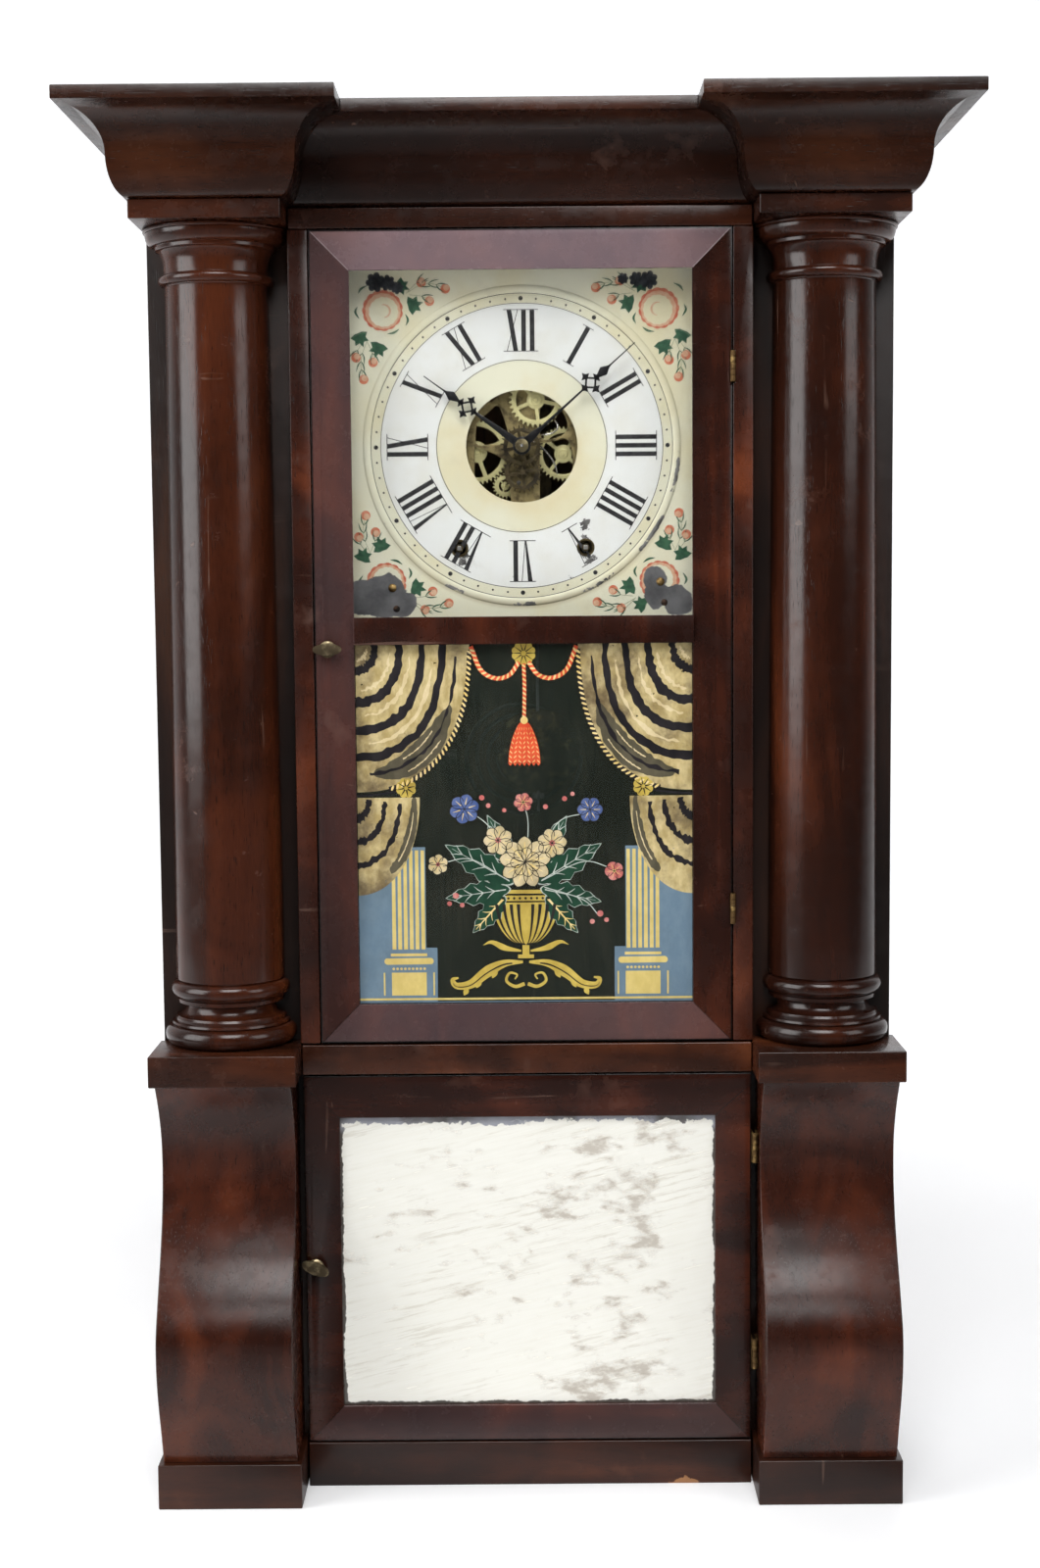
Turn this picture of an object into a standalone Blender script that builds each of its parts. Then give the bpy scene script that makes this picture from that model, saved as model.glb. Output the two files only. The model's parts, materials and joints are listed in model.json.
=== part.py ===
"""Triple decker shelf clock.

Metres, +Z up, the front looks along -Y and the origin is the middle of the footprint.
"""

import math

import bmesh
import bpy
from mathutils import Matrix, Vector

# Running and seating clearance between any two pieces.
GAP = 0.0003

# Stack of the front, from the floor up.
BASE_BLOCK_HEIGHT = 0.0285
SCROLL_HEIGHT = 0.2392
PLINTH_CAP_HEIGHT = 0.0195
COLUMN_HEIGHT = 0.5064
ABACUS_HEIGHT = 0.0112
CORNICE_HEIGHT = 0.058

# Case box.
CASE_HALF_WIDTH = 0.2314
CASE_FRONT = -0.0025
CASE_BACK = 0.0917
SIDE_BOARD = 0.010
BACK_BOARD = 0.008
FACE_BOARD = 0.010
TOP_BOARD = 0.008
BOTTOM_BOARD = 0.010
BOTTOM_BOARD_LIFT = 0.004
DOORWAY_HALF_WIDTH = 0.118

# Blocks and columns on the front.
COLUMN_X = 0.188
COLUMN_SIDES = 24
SHAFT_TOP_RADIUS = 0.0318
SHAFT_FOOT_RADIUS = 0.0343
BASE_BLOCK_WIDTH = 0.0901
PLINTH_CAP_WIDTH = 0.0912
ABACUS_WIDTH = 0.0908
SCROLL_WIDTH = 0.084
BLOCK_PROJECTION = 0.0519
SCROLL_PROJECTION = 0.0676
# The scroll's S front from the top down, as shares of its height and of its projection.
SCROLL_FRONT = (
    (1.0, 0.728), (0.924, 0.550), (0.844, 0.432), (0.757, 0.410), (0.644, 0.491), (0.548, 0.639),
    (0.443, 0.846), (0.364, 0.979), (0.280, 1.0), (0.171, 0.913), (0.088, 0.802), (0.025, 0.728),
    (0.0, 0.698))
CORNICE_BLOCK_WIDTH = 0.0896
CORNICE_OVERHANG = 0.037
CORNICE_LOWER_SWELL = 0.011
CORNICE_LOWER_RISE = 0.0245
CORNICE_FASCIA = 0.008
CORNICE_ARC_STEPS = 6
CENTRE_CORNICE_PROJECTION = 0.0115

# Turned members of a column, from its top down. Drops are from the top and rises from the foot.
CAPITAL_RADIUS = 0.0450
CAPITAL_LIP = 0.0020
OVOLO_REACH = 0.0070
OVOLO_HEIGHT = 0.0085
CAPITAL_FILLET = 0.0013
COVE_TOP_DROP = 0.0135
COVE_HEIGHT = 0.0100
COVE_REACH = 0.0049
NECK_RADIUS = 0.0326
NECK_BEAD_DROP = 0.0315
NECK_BEAD_REACH = 0.0034
NECK_BEAD_HALF_HEIGHT = 0.0032
SHAFT_TOP_DROP = 0.0375
SHAFT_FOOT_RISE = 0.0425
BASE_BEAD_RADIUS = 0.0330
BASE_BEAD_REACH = 0.0044
BASE_BEAD_RISE = 0.0340
BASE_BEAD_HALF_HEIGHT = 0.0055
SCOTIA_RADIUS = 0.0282
SCOTIA_REACH = 0.0106
SCOTIA_TOP_RISE = 0.0225
SCOTIA_HEIGHT = 0.0105
TORUS_RADIUS = 0.0370
TORUS_REACH = 0.0045
TORUS_HALF_HEIGHT = 0.0060
# Rails and stiles between the blocks.
RAIL_FRONT = -0.020
TOP_RAIL_HEIGHT = 0.0122
MIDDLE_RAIL_HEIGHT = 0.0188
STILE_FRONT = -0.0188
STILE_WIDTH = 0.0124
TOP_RAIL_END_PLAY = 0.0008
MIDDLE_RAIL_END_PLAY = 0.0006
BOTTOM_RAIL_END_PLAY = 0.00115

# Doors.
DOOR_FRONT = -0.019
DOOR_THICKNESS = 0.0159
DOOR_REVEAL = 0.0008
UPPER_DOOR_HALF_WIDTH = 0.1296
LOWER_DOOR_SIDE_PLAY = 0.0044
UPPER_SIDE_MEMBER = 0.0241
UPPER_TOP_MEMBER = 0.0236
UPPER_BOTTOM_MEMBER = 0.0234
LOWER_SIDE_MEMBER = 0.0223
LOWER_TOP_MEMBER = 0.0282
LOWER_BOTTOM_MEMBER = 0.0215
DOOR_FLAT = 0.005
DOOR_CANT = 0.0045
SIGHT_LIP = 0.003
REBATE = 0.006
MUNTIN_WIDTH = 0.017
MUNTIN_BOTTOM = 0.539
MUNTIN_SET_BACK = 0.0015
MUNTIN_RIB = 0.005
GLASS_THICKNESS = 0.002
MIRROR_THICKNESS = 0.003

# Hinges: five knuckles on one pin.
HINGE_HEIGHT = 0.019
HINGE_RADIUS = 0.0016
HINGE_PIN_RADIUS = 0.0006
HINGE_KNUCKLES = 5
HINGE_LEAF = 0.001
HINGE_LEAF_DEPTH = 0.011
UPPER_HINGE_HEIGHTS = (0.7081, 0.3722)
LOWER_HINGE_HEIGHTS = (0.2192, 0.0852)
LOWER_HINGE_STAND_OFF = 0.0023

# Turn keys.
UPPER_KEY_INSET = 0.008
UPPER_KEY_HEIGHT = 0.5365
LOWER_KEY_INSET = 0.0062
LOWER_KEY_HEIGHT = 0.144
KEY_BOSS_RADIUS = 0.0053
KEY_BOSS_DEPTH = 0.0023
KEY_SHAFT_RADIUS = 0.002
KEY_BOW_LENGTH = 0.018
KEY_BOW_WIDTH = 0.0075
KEY_BOW_THICKNESS = 0.0035
LOWER_KEY_TILT = math.radians(-22)
TONGUE_LENGTH = 0.012
TONGUE_WIDTH = 0.005
TONGUE_THICKNESS = 0.002
TONGUE_POCKET_DEPTH = 0.0045
KEEPER_DEPTH = 0.0044

# Dial and hands.
DIAL_HEIGHT_CENTRE = 0.6623
DIAL_THICKNESS = 0.0012
DIAL_HALF_WIDTH = 0.125
DIAL_HALF_HEIGHT = 0.114
DIAL_OPENING_RADIUS = 0.035
DIAL_RING_RADIUS = 0.0985
DIAL_RING_WIDTH = 0.0028
DIAL_RING_RISE = 0.0009
WINDING_X = 0.0398
WINDING_DROP = 0.0635
WINDING_HOLE_RADIUS = 0.0057
HAND_THICKNESS = 0.0008
MINUTE_HAND_FRONT = 0.0009
HOUR_HAND_FRONT = 0.0034
MINUTE_HAND_LENGTH = 0.095
HOUR_HAND_LENGTH = 0.075
MINUTE_CROSS = 0.0579
HOUR_CROSS = 0.0418
MINUTE_DIAMOND = 0.0689
HOUR_DIAMOND = 0.054
MINUTE_HAND_ANGLE = math.radians(48.4)
HOUR_HAND_ANGLE = math.radians(305.6)
HAND_BOSS_RADIUS = 0.0056

# Movement.
FRONT_PLATE = 0.0168
PLATE_THICKNESS = 0.0018
BACK_PLATE = 0.0488
PLATE_HALF_WIDTH = 0.066
PLATE_BOTTOM = 0.560
PLATE_TOP = 0.737
PLATE_STRAP = 0.010
PILLAR_RADIUS = 0.003
PILLAR_INSET = 0.0035
ARBOR_REACH = 0.0027
CENTRE_ARBOR_RADIUS = 0.0019
THIN_ARBOR_RADIUS = 0.0012
WINDING_ARBOR_RADIUS = 0.0024
COLLET_RADIUS = 0.0042
HOUR_PIPE_RADIUS = 0.0032
MOTION_MODULE = 0.001
CANNON_LEAVES = 8
MINUTE_WHEEL_TEETH = 24
MINUTE_PINION_LEAVES = 6
HOUR_WHEEL_TEETH = 24
MOTION_WHEEL_THICKNESS = 0.0014
HOUR_WHEEL_FRONT = 0.0105
MINUTE_WHEEL_FRONT = 0.0131
ESCAPE_X = 0.009
ESCAPE_RISE = 0.0293
ESCAPE_RADIUS = 0.017
ESCAPE_TEETH = 30
ESCAPE_FRONT = 0.0147
STAFF_RISE = 0.0537
GREAT_WHEEL_RADIUS = 0.0275
GREAT_WHEEL_TEETH = 28
GREAT_WHEEL_FRONT = 0.0203
DRUM_RADIUS = 0.016
DRUM_FLANGE = 0.003
DRUM_LENGTH = 0.020
DRUM_CENTRE_DEPTH = 0.0338

# Pendulum, gong and hammer.
PENDULUM_DEPTH = 0.0573
ROD_RADIUS = 0.001
BOB_HEIGHT = 0.467
BOB_RADIUS = 0.028
BOB_HALF_THICKNESS = 0.0045
ROD_TAIL = 0.012
GONG_X = -0.002
GONG_HEIGHT = 0.462
GONG_DEPTH = 0.0748
GONG_WIRE = 0.0013
GONG_TURNS = 4
GONG_INNER = 0.012
GONG_PITCH = 0.007
GONG_POST_RADIUS = 0.005
HAMMER_X = -0.0545
HAMMER_HEIGHT = 0.640
HAMMER_HEAD_RADIUS = 0.005
HAMMER_HEAD_LENGTH = 0.014
HAMMER_STAND_OFF = 0.002

# Weights, cords and pulleys.
PULLEY_X = 0.150
PULLEY_HEIGHT = 0.832
PULLEY_GROOVE = 0.016
PULLEY_RIM = 0.003
PULLEY_WIDTH = 0.008
PULLEY_PIN_RADIUS = 0.002
CORD_RADIUS = 0.0011
CORD_ARC_STEPS = 12
WEIGHT_RADIUS = 0.021
WEIGHT_LENGTH = 0.170
WEIGHT_TOP = 0.486
WEIGHT_EYE = 0.008

# Levels worked out from the stack.
Z_BASE_TOP = BASE_BLOCK_HEIGHT
Z_SCROLL = Z_BASE_TOP + GAP
Z_SCROLL_TOP = Z_SCROLL + SCROLL_HEIGHT
Z_PLINTH = Z_SCROLL_TOP + GAP
Z_PLINTH_TOP = Z_PLINTH + PLINTH_CAP_HEIGHT
Z_COLUMN = Z_PLINTH_TOP + GAP
Z_COLUMN_TOP = Z_COLUMN + COLUMN_HEIGHT
Z_ABACUS_TOP = Z_COLUMN_TOP + ABACUS_HEIGHT
Z_CORNICE = Z_ABACUS_TOP + GAP
Z_TOP = Z_CORNICE + CORNICE_HEIGHT
Z_TOP_RAIL_TOP = Z_CORNICE - 2 * GAP
Z_TOP_RAIL = Z_TOP_RAIL_TOP - TOP_RAIL_HEIGHT
Z_MIDDLE_RAIL = Z_PLINTH
Z_MIDDLE_RAIL_TOP = Z_MIDDLE_RAIL + MIDDLE_RAIL_HEIGHT

# Depths worked out from the case.
MOUNTING_PLANE = CASE_FRONT - GAP
BLOCK_FRONT = MOUNTING_PLANE - BLOCK_PROJECTION
CORNICE_BACK = CASE_BACK
INSIDE_FRONT = CASE_FRONT + FACE_BOARD + GAP
BACK_BOARD_FRONT = CASE_BACK - BACK_BOARD
INSIDE_BACK = BACK_BOARD_FRONT - GAP
DOOR_BACK = DOOR_FRONT + DOOR_THICKNESS
GLASS_FRONT = DOOR_FRONT + DOOR_CANT + SIGHT_LIP + GAP
STILE_INNER = UPPER_DOOR_HALF_WIDTH + 2 * GAP
TOP_RAIL_HALF_WIDTH = COLUMN_X - ABACUS_WIDTH / 2 - TOP_RAIL_END_PLAY
MIDDLE_RAIL_HALF_WIDTH = COLUMN_X - PLINTH_CAP_WIDTH / 2 - MIDDLE_RAIL_END_PLAY
BOTTOM_RAIL_HALF_WIDTH = COLUMN_X - BASE_BLOCK_WIDTH / 2 - BOTTOM_RAIL_END_PLAY
LOWER_DOOR_HALF_WIDTH = COLUMN_X - SCROLL_WIDTH / 2 - LOWER_DOOR_SIDE_PLAY
INTERIOR_BOTTOM = BOTTOM_BOARD_LIFT + BOTTOM_BOARD
CASE_BOX_TOP = Z_TOP - TOP_BOARD - GAP

# Door outlines.
UPPER_DOOR_BOTTOM = Z_PLINTH_TOP + DOOR_REVEAL
UPPER_DOOR_TOP = Z_TOP_RAIL - DOOR_REVEAL
LOWER_DOOR_BOTTOM = Z_BASE_TOP + DOOR_REVEAL
LOWER_DOOR_TOP = Z_SCROLL_TOP - DOOR_REVEAL
HINGE_Y = DOOR_FRONT - HINGE_RADIUS - GAP
UPPER_HINGE_X = UPPER_DOOR_HALF_WIDTH + GAP
LOWER_HINGE_X = LOWER_DOOR_HALF_WIDTH + LOWER_HINGE_STAND_OFF

# Movement centres.
WINDING_HEIGHT = DIAL_HEIGHT_CENTRE - WINDING_DROP
ESCAPE_HEIGHT = DIAL_HEIGHT_CENTRE + ESCAPE_RISE
STAFF_HEIGHT = DIAL_HEIGHT_CENTRE + STAFF_RISE
MOTION_DISTANCE = MOTION_MODULE * (CANNON_LEAVES + MINUTE_WHEEL_TEETH) / 2
MINUTE_WHEEL_HEIGHT = DIAL_HEIGHT_CENTRE - MOTION_DISTANCE
SECOND_MODULE = 2 * MOTION_DISTANCE / (MINUTE_PINION_LEAVES + HOUR_WHEEL_TEETH)
ARBOR_END = BACK_PLATE + ARBOR_REACH
DIAL_FRONT = INSIDE_FRONT
DIAL_BACK = DIAL_FRONT + DIAL_THICKNESS
WEIGHT_X = PULLEY_X + PULLEY_GROOVE + CORD_RADIUS + GAP


def start_collection(name):
    """Return a new collection linked to the scene."""
    collection = bpy.data.collections.new(name)
    bpy.context.scene.collection.children.link(collection)
    return collection


for old in list(bpy.data.objects):
    bpy.data.objects.remove(old, do_unlink=True)

CLOCK = start_collection("triple_decker_shelf_clock")
CUTTERS = start_collection("cutters")


def make_material(name, colour, roughness, metallic=0.0):
    """Return a Principled material."""
    material = bpy.data.materials.new(name)
    material.use_nodes = True
    shader = material.node_tree.nodes["Principled BSDF"]
    shader.inputs["Base Color"].default_value = (*colour, 1.0)
    shader.inputs["Roughness"].default_value = roughness
    shader.inputs["Metallic"].default_value = metallic
    return material


MAHOGANY = make_material("mahogany_veneer", (0.085, 0.028, 0.016), 0.35)
PINE = make_material("pine_board", (0.28, 0.17, 0.09), 0.7)
BRASS = make_material("brass", (0.55, 0.38, 0.14), 0.35, 1.0)
STEEL = make_material("blued_steel", (0.25, 0.25, 0.27), 0.4, 1.0)
BLACK_STEEL = make_material("black_hand_steel", (0.01, 0.01, 0.012), 0.45, 0.6)
CAST_IRON = make_material("cast_iron", (0.08, 0.08, 0.085), 0.7, 0.8)
PAINTED_METAL = make_material("painted_dial", (0.75, 0.70, 0.56), 0.5)
GLASS = make_material("old_glass", (0.85, 0.9, 0.88), 0.05)
TABLET_PAINT = make_material("painted_tablet", (0.1, 0.11, 0.08), 0.2)
MIRROR = make_material("aged_mirror", (0.6, 0.6, 0.57), 0.12, 0.9)
CORD = make_material("waxed_cord", (0.3, 0.22, 0.12), 0.9)


def finish_object(obj, material, collection=CLOCK):
    """Put an object in its collection with one material."""
    collection.objects.link(obj)
    obj.data.materials.clear()
    obj.data.materials.append(material)
    if collection is CUTTERS:
        obj.hide_render = True
        obj.display_type = "WIRE"
    return obj


def object_from_bmesh(name, shape, material, collection=CLOCK):
    """Turn a bmesh into an object."""
    mesh = bpy.data.meshes.new(name)
    bmesh.ops.recalc_face_normals(shape, faces=shape.faces)
    shape.to_mesh(mesh)
    shape.free()
    return finish_object(bpy.data.objects.new(name, mesh), material, collection)


def add_box(shape, low, high):
    """Add a box between two corners to a bmesh."""
    low = Vector(low)
    high = Vector(high)
    place = Matrix.Translation((low + high) / 2) @ Matrix.Diagonal((*(high - low), 1.0))
    bmesh.ops.create_cube(shape, size=1.0, matrix=place)


def box(name, low, high, material, collection=CLOCK):
    """Return a box object between two corners."""
    shape = bmesh.new()
    add_box(shape, low, high)
    return object_from_bmesh(name, shape, material, collection)


def add_rod(shape, start, end, radius, sides=16):
    """Add a capped cylinder between two points to a bmesh."""
    start = Vector(start)
    end = Vector(end)
    along = end - start
    turn = Vector((0, 0, 1)).rotation_difference(along).to_matrix().to_4x4()
    place = Matrix.Translation((start + end) / 2) @ turn
    bmesh.ops.create_cone(
        shape, cap_ends=True, segments=sides, radius1=radius, radius2=radius,
        depth=along.length, matrix=place)


def rods(name, pieces, material, collection=CLOCK, sides=16):
    """Return an object made of separate cylinders, each a start, an end and a radius."""
    shape = bmesh.new()
    for start, end, radius in pieces:
        add_rod(shape, start, end, radius, sides)
    return object_from_bmesh(name, shape, material, collection)


def combine(target, operand, operation):
    """Add an exact Boolean of one object with another."""
    modifier = target.modifiers.new(operation.lower(), "BOOLEAN")
    modifier.operation = operation
    modifier.solver = "EXACT"
    modifier.object = operand
    return target


def set_origin(obj, point):
    """Move an object's origin to a point, with its shape left in place."""
    shift = Matrix.Translation(-Vector(point))
    obj.data.transform(shift @ obj.matrix_basis)
    obj.matrix_basis = Matrix.Translation(point)
    return obj


def turned(name, profile, centre, material, collection=CLOCK, steps=24, along_depth=True):
    """Return a turned solid. The profile is (radius, position) down its outer side."""
    mesh = bpy.data.meshes.new(name)
    points = [(radius, 0.0, -place) for radius, place in profile]
    if not along_depth:
        points = [(radius, 0.0, place) for radius, place in profile]
    edges = [(index, index + 1) for index in range(len(points) - 1)]
    mesh.from_pydata(points, edges, [])
    obj = finish_object(bpy.data.objects.new(name, mesh), material, collection)
    obj.location = centre
    if along_depth:
        obj.rotation_euler = (math.pi / 2, 0, 0)
    screw = obj.modifiers.new("turn", "SCREW")
    screw.steps = steps
    screw.render_steps = steps
    screw.use_merge_vertices = True
    screw.merge_threshold = 0.00001
    screw.use_smooth_shade = True
    return obj


def bake(obj):
    """Replace an object by its evaluated mesh, welded."""
    bpy.context.view_layer.update()
    graph = bpy.context.evaluated_depsgraph_get()
    mesh = bpy.data.meshes.new_from_object(obj.evaluated_get(graph))
    shape = bmesh.new()
    shape.from_mesh(mesh)
    bmesh.ops.remove_doubles(shape, verts=shape.verts, dist=0.000001)
    bmesh.ops.recalc_face_normals(shape, faces=shape.faces)
    shape.to_mesh(mesh)
    shape.free()
    name = obj.name
    collection = obj.users_collection[0]
    material = obj.data.materials[0]
    matrix = obj.matrix_world.copy()
    bpy.data.objects.remove(obj, do_unlink=True)
    result = finish_object(bpy.data.objects.new(name, mesh), material, collection)
    result.matrix_world = matrix
    return result


def plate(name, outlines, thickness, centre, material, collection=CLOCK, turn=(math.pi / 2, 0, 0)):
    """Return a flat plate from closed outlines, the inner ones holes, upright by default."""
    curve = bpy.data.curves.new(name, "CURVE")
    curve.dimensions = "2D"
    curve.fill_mode = "BOTH"
    curve.extrude = thickness / 2
    for outline in outlines:
        spline = curve.splines.new("POLY")
        spline.points.add(len(outline) - 1)
        for point, (across, up) in zip(spline.points, outline):
            point.co = (across, up, 0.0, 1.0)
        spline.use_cyclic_u = True
    obj = finish_object(bpy.data.objects.new(name, curve), material, collection)
    obj.location = centre
    obj.rotation_euler = turn
    return bake(obj)


def tube(name, points, radius, material, collection=CLOCK, resolution=2):
    """Return a capped round tube along points."""
    curve = bpy.data.curves.new(name, "CURVE")
    curve.dimensions = "3D"
    curve.bevel_depth = radius
    curve.bevel_resolution = resolution
    curve.use_fill_caps = True
    spline = curve.splines.new("POLY")
    spline.points.add(len(points) - 1)
    for point, place in zip(spline.points, points):
        point.co = (*place, 1.0)
    return bake(finish_object(bpy.data.objects.new(name, curve), material, collection))


def circle(radius, steps, centre=(0.0, 0.0), start=0.0):
    """Return the points of a circle."""
    turns = [start + 2 * math.pi * index / steps for index in range(steps)]
    return [(centre[0] + radius * math.cos(a), centre[1] + radius * math.sin(a)) for a in turns]


def rectangle(left, right, bottom, top):
    """Return the corners of a rectangle."""
    return [(left, bottom), (right, bottom), (right, top), (left, top)]


def gear_outline(teeth, pitch_radius, addendum, dedendum, phase=0.0):
    """Return a wheel's outline of slender straight teeth, the first centred at the phase angle."""
    pitch = 2 * math.pi / teeth
    corners = (
        (pitch_radius - dedendum, -0.20), (pitch_radius + addendum, -0.08),
        (pitch_radius + addendum, 0.08), (pitch_radius - dedendum, 0.20))
    outline = []
    for tooth in range(teeth):
        for radius, share in corners:
            angle = phase + pitch * (tooth + share)
            outline.append((radius * math.cos(angle), radius * math.sin(angle)))
    return outline


def crossing_outlines(count, inner, outer, spoke, phase=0.2):
    """Return the windows between the spokes of a wheel."""
    windows = []
    for index in range(count):
        middle = phase + 2 * math.pi * (index + 0.5) / count
        window = []
        for radius, order in ((inner, 1), (outer, -1)):
            half = math.pi / count - math.asin(min(1.0, spoke / 2 / radius))
            for share in (-1.0, 0.0, 1.0):
                angle = middle + order * share * half
                window.append((radius * math.cos(angle), radius * math.sin(angle)))
        windows.append(window)
    return windows


def cornice_levels():
    """Return (height above the block's foot, projection) up the cyma: swell, cove and fascia."""
    levels = [(0.0, 0.0)]
    for step in range(1, CORNICE_ARC_STEPS + 1):
        angle = math.pi / 2 * step / CORNICE_ARC_STEPS
        rise = CORNICE_LOWER_RISE * (1 - math.cos(angle))
        levels.append((rise, CORNICE_LOWER_SWELL * math.sin(angle)))
    cove_rise = CORNICE_HEIGHT - CORNICE_FASCIA - CORNICE_LOWER_RISE
    cove_reach = CORNICE_OVERHANG - CORNICE_LOWER_SWELL
    for step in range(1, CORNICE_ARC_STEPS + 1):
        angle = math.pi / 2 * step / CORNICE_ARC_STEPS
        rise = CORNICE_LOWER_RISE + cove_rise * math.sin(angle)
        levels.append((rise, CORNICE_LOWER_SWELL + cove_reach * (1 - math.cos(angle))))
    levels.append((CORNICE_HEIGHT, CORNICE_OVERHANG))
    return levels


def moulded_block(name, left, right, front, back, grow_left, grow_right, material):
    """Return a block whose sides follow the cyma: a loft of rectangles that grow with height."""
    shape = bmesh.new()
    rings = []
    for rise, reach in cornice_levels():
        corners = (
            (left - grow_left * reach, front - reach), (right + grow_right * reach, front - reach),
            (right + grow_right * reach, back), (left - grow_left * reach, back))
        rings.append([shape.verts.new((x, y, Z_CORNICE + rise)) for x, y in corners])
    for lower, upper in zip(rings, rings[1:]):
        for index in range(4):
            after = (index + 1) % 4
            shape.faces.new((lower[index], lower[after], upper[after], upper[index]))
    shape.faces.new(rings[0])
    shape.faces.new(rings[-1])
    return object_from_bmesh(name, shape, material)


def build_case():
    """Boards of the case box and the face frame."""
    wall = CASE_HALF_WIDTH
    inner = wall - SIDE_BOARD
    for side, word in ((-1, "left"), (1, "right")):
        edges = sorted((side * inner, side * wall))
        box(f"case_side_{word}", (edges[0], INSIDE_FRONT, 0), (edges[1], CASE_BACK, CASE_BOX_TOP), PINE)
        face = sorted((side * DOORWAY_HALF_WIDTH, side * wall))
        box(f"face_board_{word}", (face[0], CASE_FRONT, 0),
            (face[1], CASE_FRONT + FACE_BOARD, CASE_BOX_TOP), MAHOGANY)
        strip = sorted((side * STILE_INNER, side * (STILE_INNER + STILE_WIDTH)))
        box(f"door_stile_{word}", (strip[0], STILE_FRONT, Z_COLUMN),
            (strip[1], MOUNTING_PLANE, Z_TOP_RAIL - GAP), MAHOGANY)
    box("back_board", (GAP - inner, BACK_BOARD_FRONT, 0), (inner - GAP, CASE_BACK, CASE_BOX_TOP), PINE)
    box("top_board", (-wall, CASE_FRONT, CASE_BOX_TOP + GAP), (wall, CASE_BACK, Z_TOP), PINE)
    floor = box("bottom_board", (GAP - inner, INSIDE_FRONT, BOTTOM_BOARD_LIFT),
                (inner - GAP, INSIDE_BACK, INTERIOR_BOTTOM), PINE)
    doorway = DOORWAY_HALF_WIDTH - GAP
    sill = box("bottom_board_sill", (-doorway, CASE_FRONT, BOTTOM_BOARD_LIFT),
               (doorway, INSIDE_FRONT + FACE_BOARD, INTERIOR_BOTTOM), PINE, CUTTERS)
    combine(floor, sill, "UNION")
    rails = (
        ("top_rail", TOP_RAIL_HALF_WIDTH, Z_TOP_RAIL, Z_TOP_RAIL_TOP),
        ("middle_rail", MIDDLE_RAIL_HALF_WIDTH, Z_MIDDLE_RAIL, Z_MIDDLE_RAIL_TOP),
        ("bottom_rail", BOTTOM_RAIL_HALF_WIDTH, 0, Z_BASE_TOP))
    for name, half, foot, top in rails:
        box(name, (-half, RAIL_FRONT, foot), (half, MOUNTING_PLANE, top), MAHOGANY)


def swell(radius, bulge, height, half_height, steps):
    """Return a half-round bead from its top edge down to its lower edge."""
    turns = [math.pi * step / steps for step in range(steps + 1)]
    return [(radius + bulge * math.sin(a), height + half_height * math.cos(a)) for a in turns]


def column_profile():
    """Return (radius, height above the column's foot) from the top down."""
    top = COLUMN_HEIGHT
    quarter = [math.pi / 2 * step / 3 for step in range(4)]
    ovolo = [
        (CAPITAL_RADIUS - OVOLO_REACH * (1 - math.cos(a)), top - CAPITAL_LIP - OVOLO_HEIGHT * math.sin(a))
        for a in quarter]
    cove = [
        (NECK_RADIUS + COVE_REACH * (1 - math.sin(a)), top - COVE_TOP_DROP - COVE_HEIGHT * (1 - math.cos(a)))
        for a in quarter]
    scotia = [
        (SCOTIA_RADIUS + SCOTIA_REACH * (1 - math.cos(a)), SCOTIA_TOP_RISE - SCOTIA_HEIGHT * math.sin(a))
        for a in quarter]
    return (
        [(0.0, top), (CAPITAL_RADIUS, top)] + ovolo
        + [(NECK_RADIUS + COVE_REACH, ovolo[-1][1] - CAPITAL_FILLET)] + cove
        + swell(NECK_RADIUS, NECK_BEAD_REACH, top - NECK_BEAD_DROP, NECK_BEAD_HALF_HEIGHT, 4)
        + [(SHAFT_TOP_RADIUS, top - SHAFT_TOP_DROP), (SHAFT_FOOT_RADIUS, SHAFT_FOOT_RISE)]
        + swell(BASE_BEAD_RADIUS, BASE_BEAD_REACH, BASE_BEAD_RISE, BASE_BEAD_HALF_HEIGHT, 5) + scotia
        + swell(TORUS_RADIUS, TORUS_REACH, TORUS_HALF_HEIGHT, TORUS_HALF_HEIGHT, 5) + [(0.0, 0.0)])


def build_front():
    """Blocks, scrolls, columns and cornice applied to the case."""
    for side, word in ((-1, "left"), (1, "right")):
        middle = side * COLUMN_X
        box(f"base_block_{word}", (middle - BASE_BLOCK_WIDTH / 2, BLOCK_FRONT, 0),
            (middle + BASE_BLOCK_WIDTH / 2, MOUNTING_PLANE, Z_BASE_TOP), MAHOGANY)
        box(f"plinth_cap_{word}", (middle - PLINTH_CAP_WIDTH / 2, BLOCK_FRONT, Z_PLINTH),
            (middle + PLINTH_CAP_WIDTH / 2, MOUNTING_PLANE, Z_PLINTH_TOP), MAHOGANY)
        build_scroll(f"scroll_bracket_{word}", middle)
        build_column(f"half_column_{word}", middle)
        build_cornice_block(f"cornice_block_{word}", side)
    half = COLUMN_X - CORNICE_BLOCK_WIDTH / 2 - GAP
    moulded_block("centre_cornice", -half, half, MOUNTING_PLANE - CENTRE_CORNICE_PROJECTION,
                  MOUNTING_PLANE, -1, -1, MAHOGANY)


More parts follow.
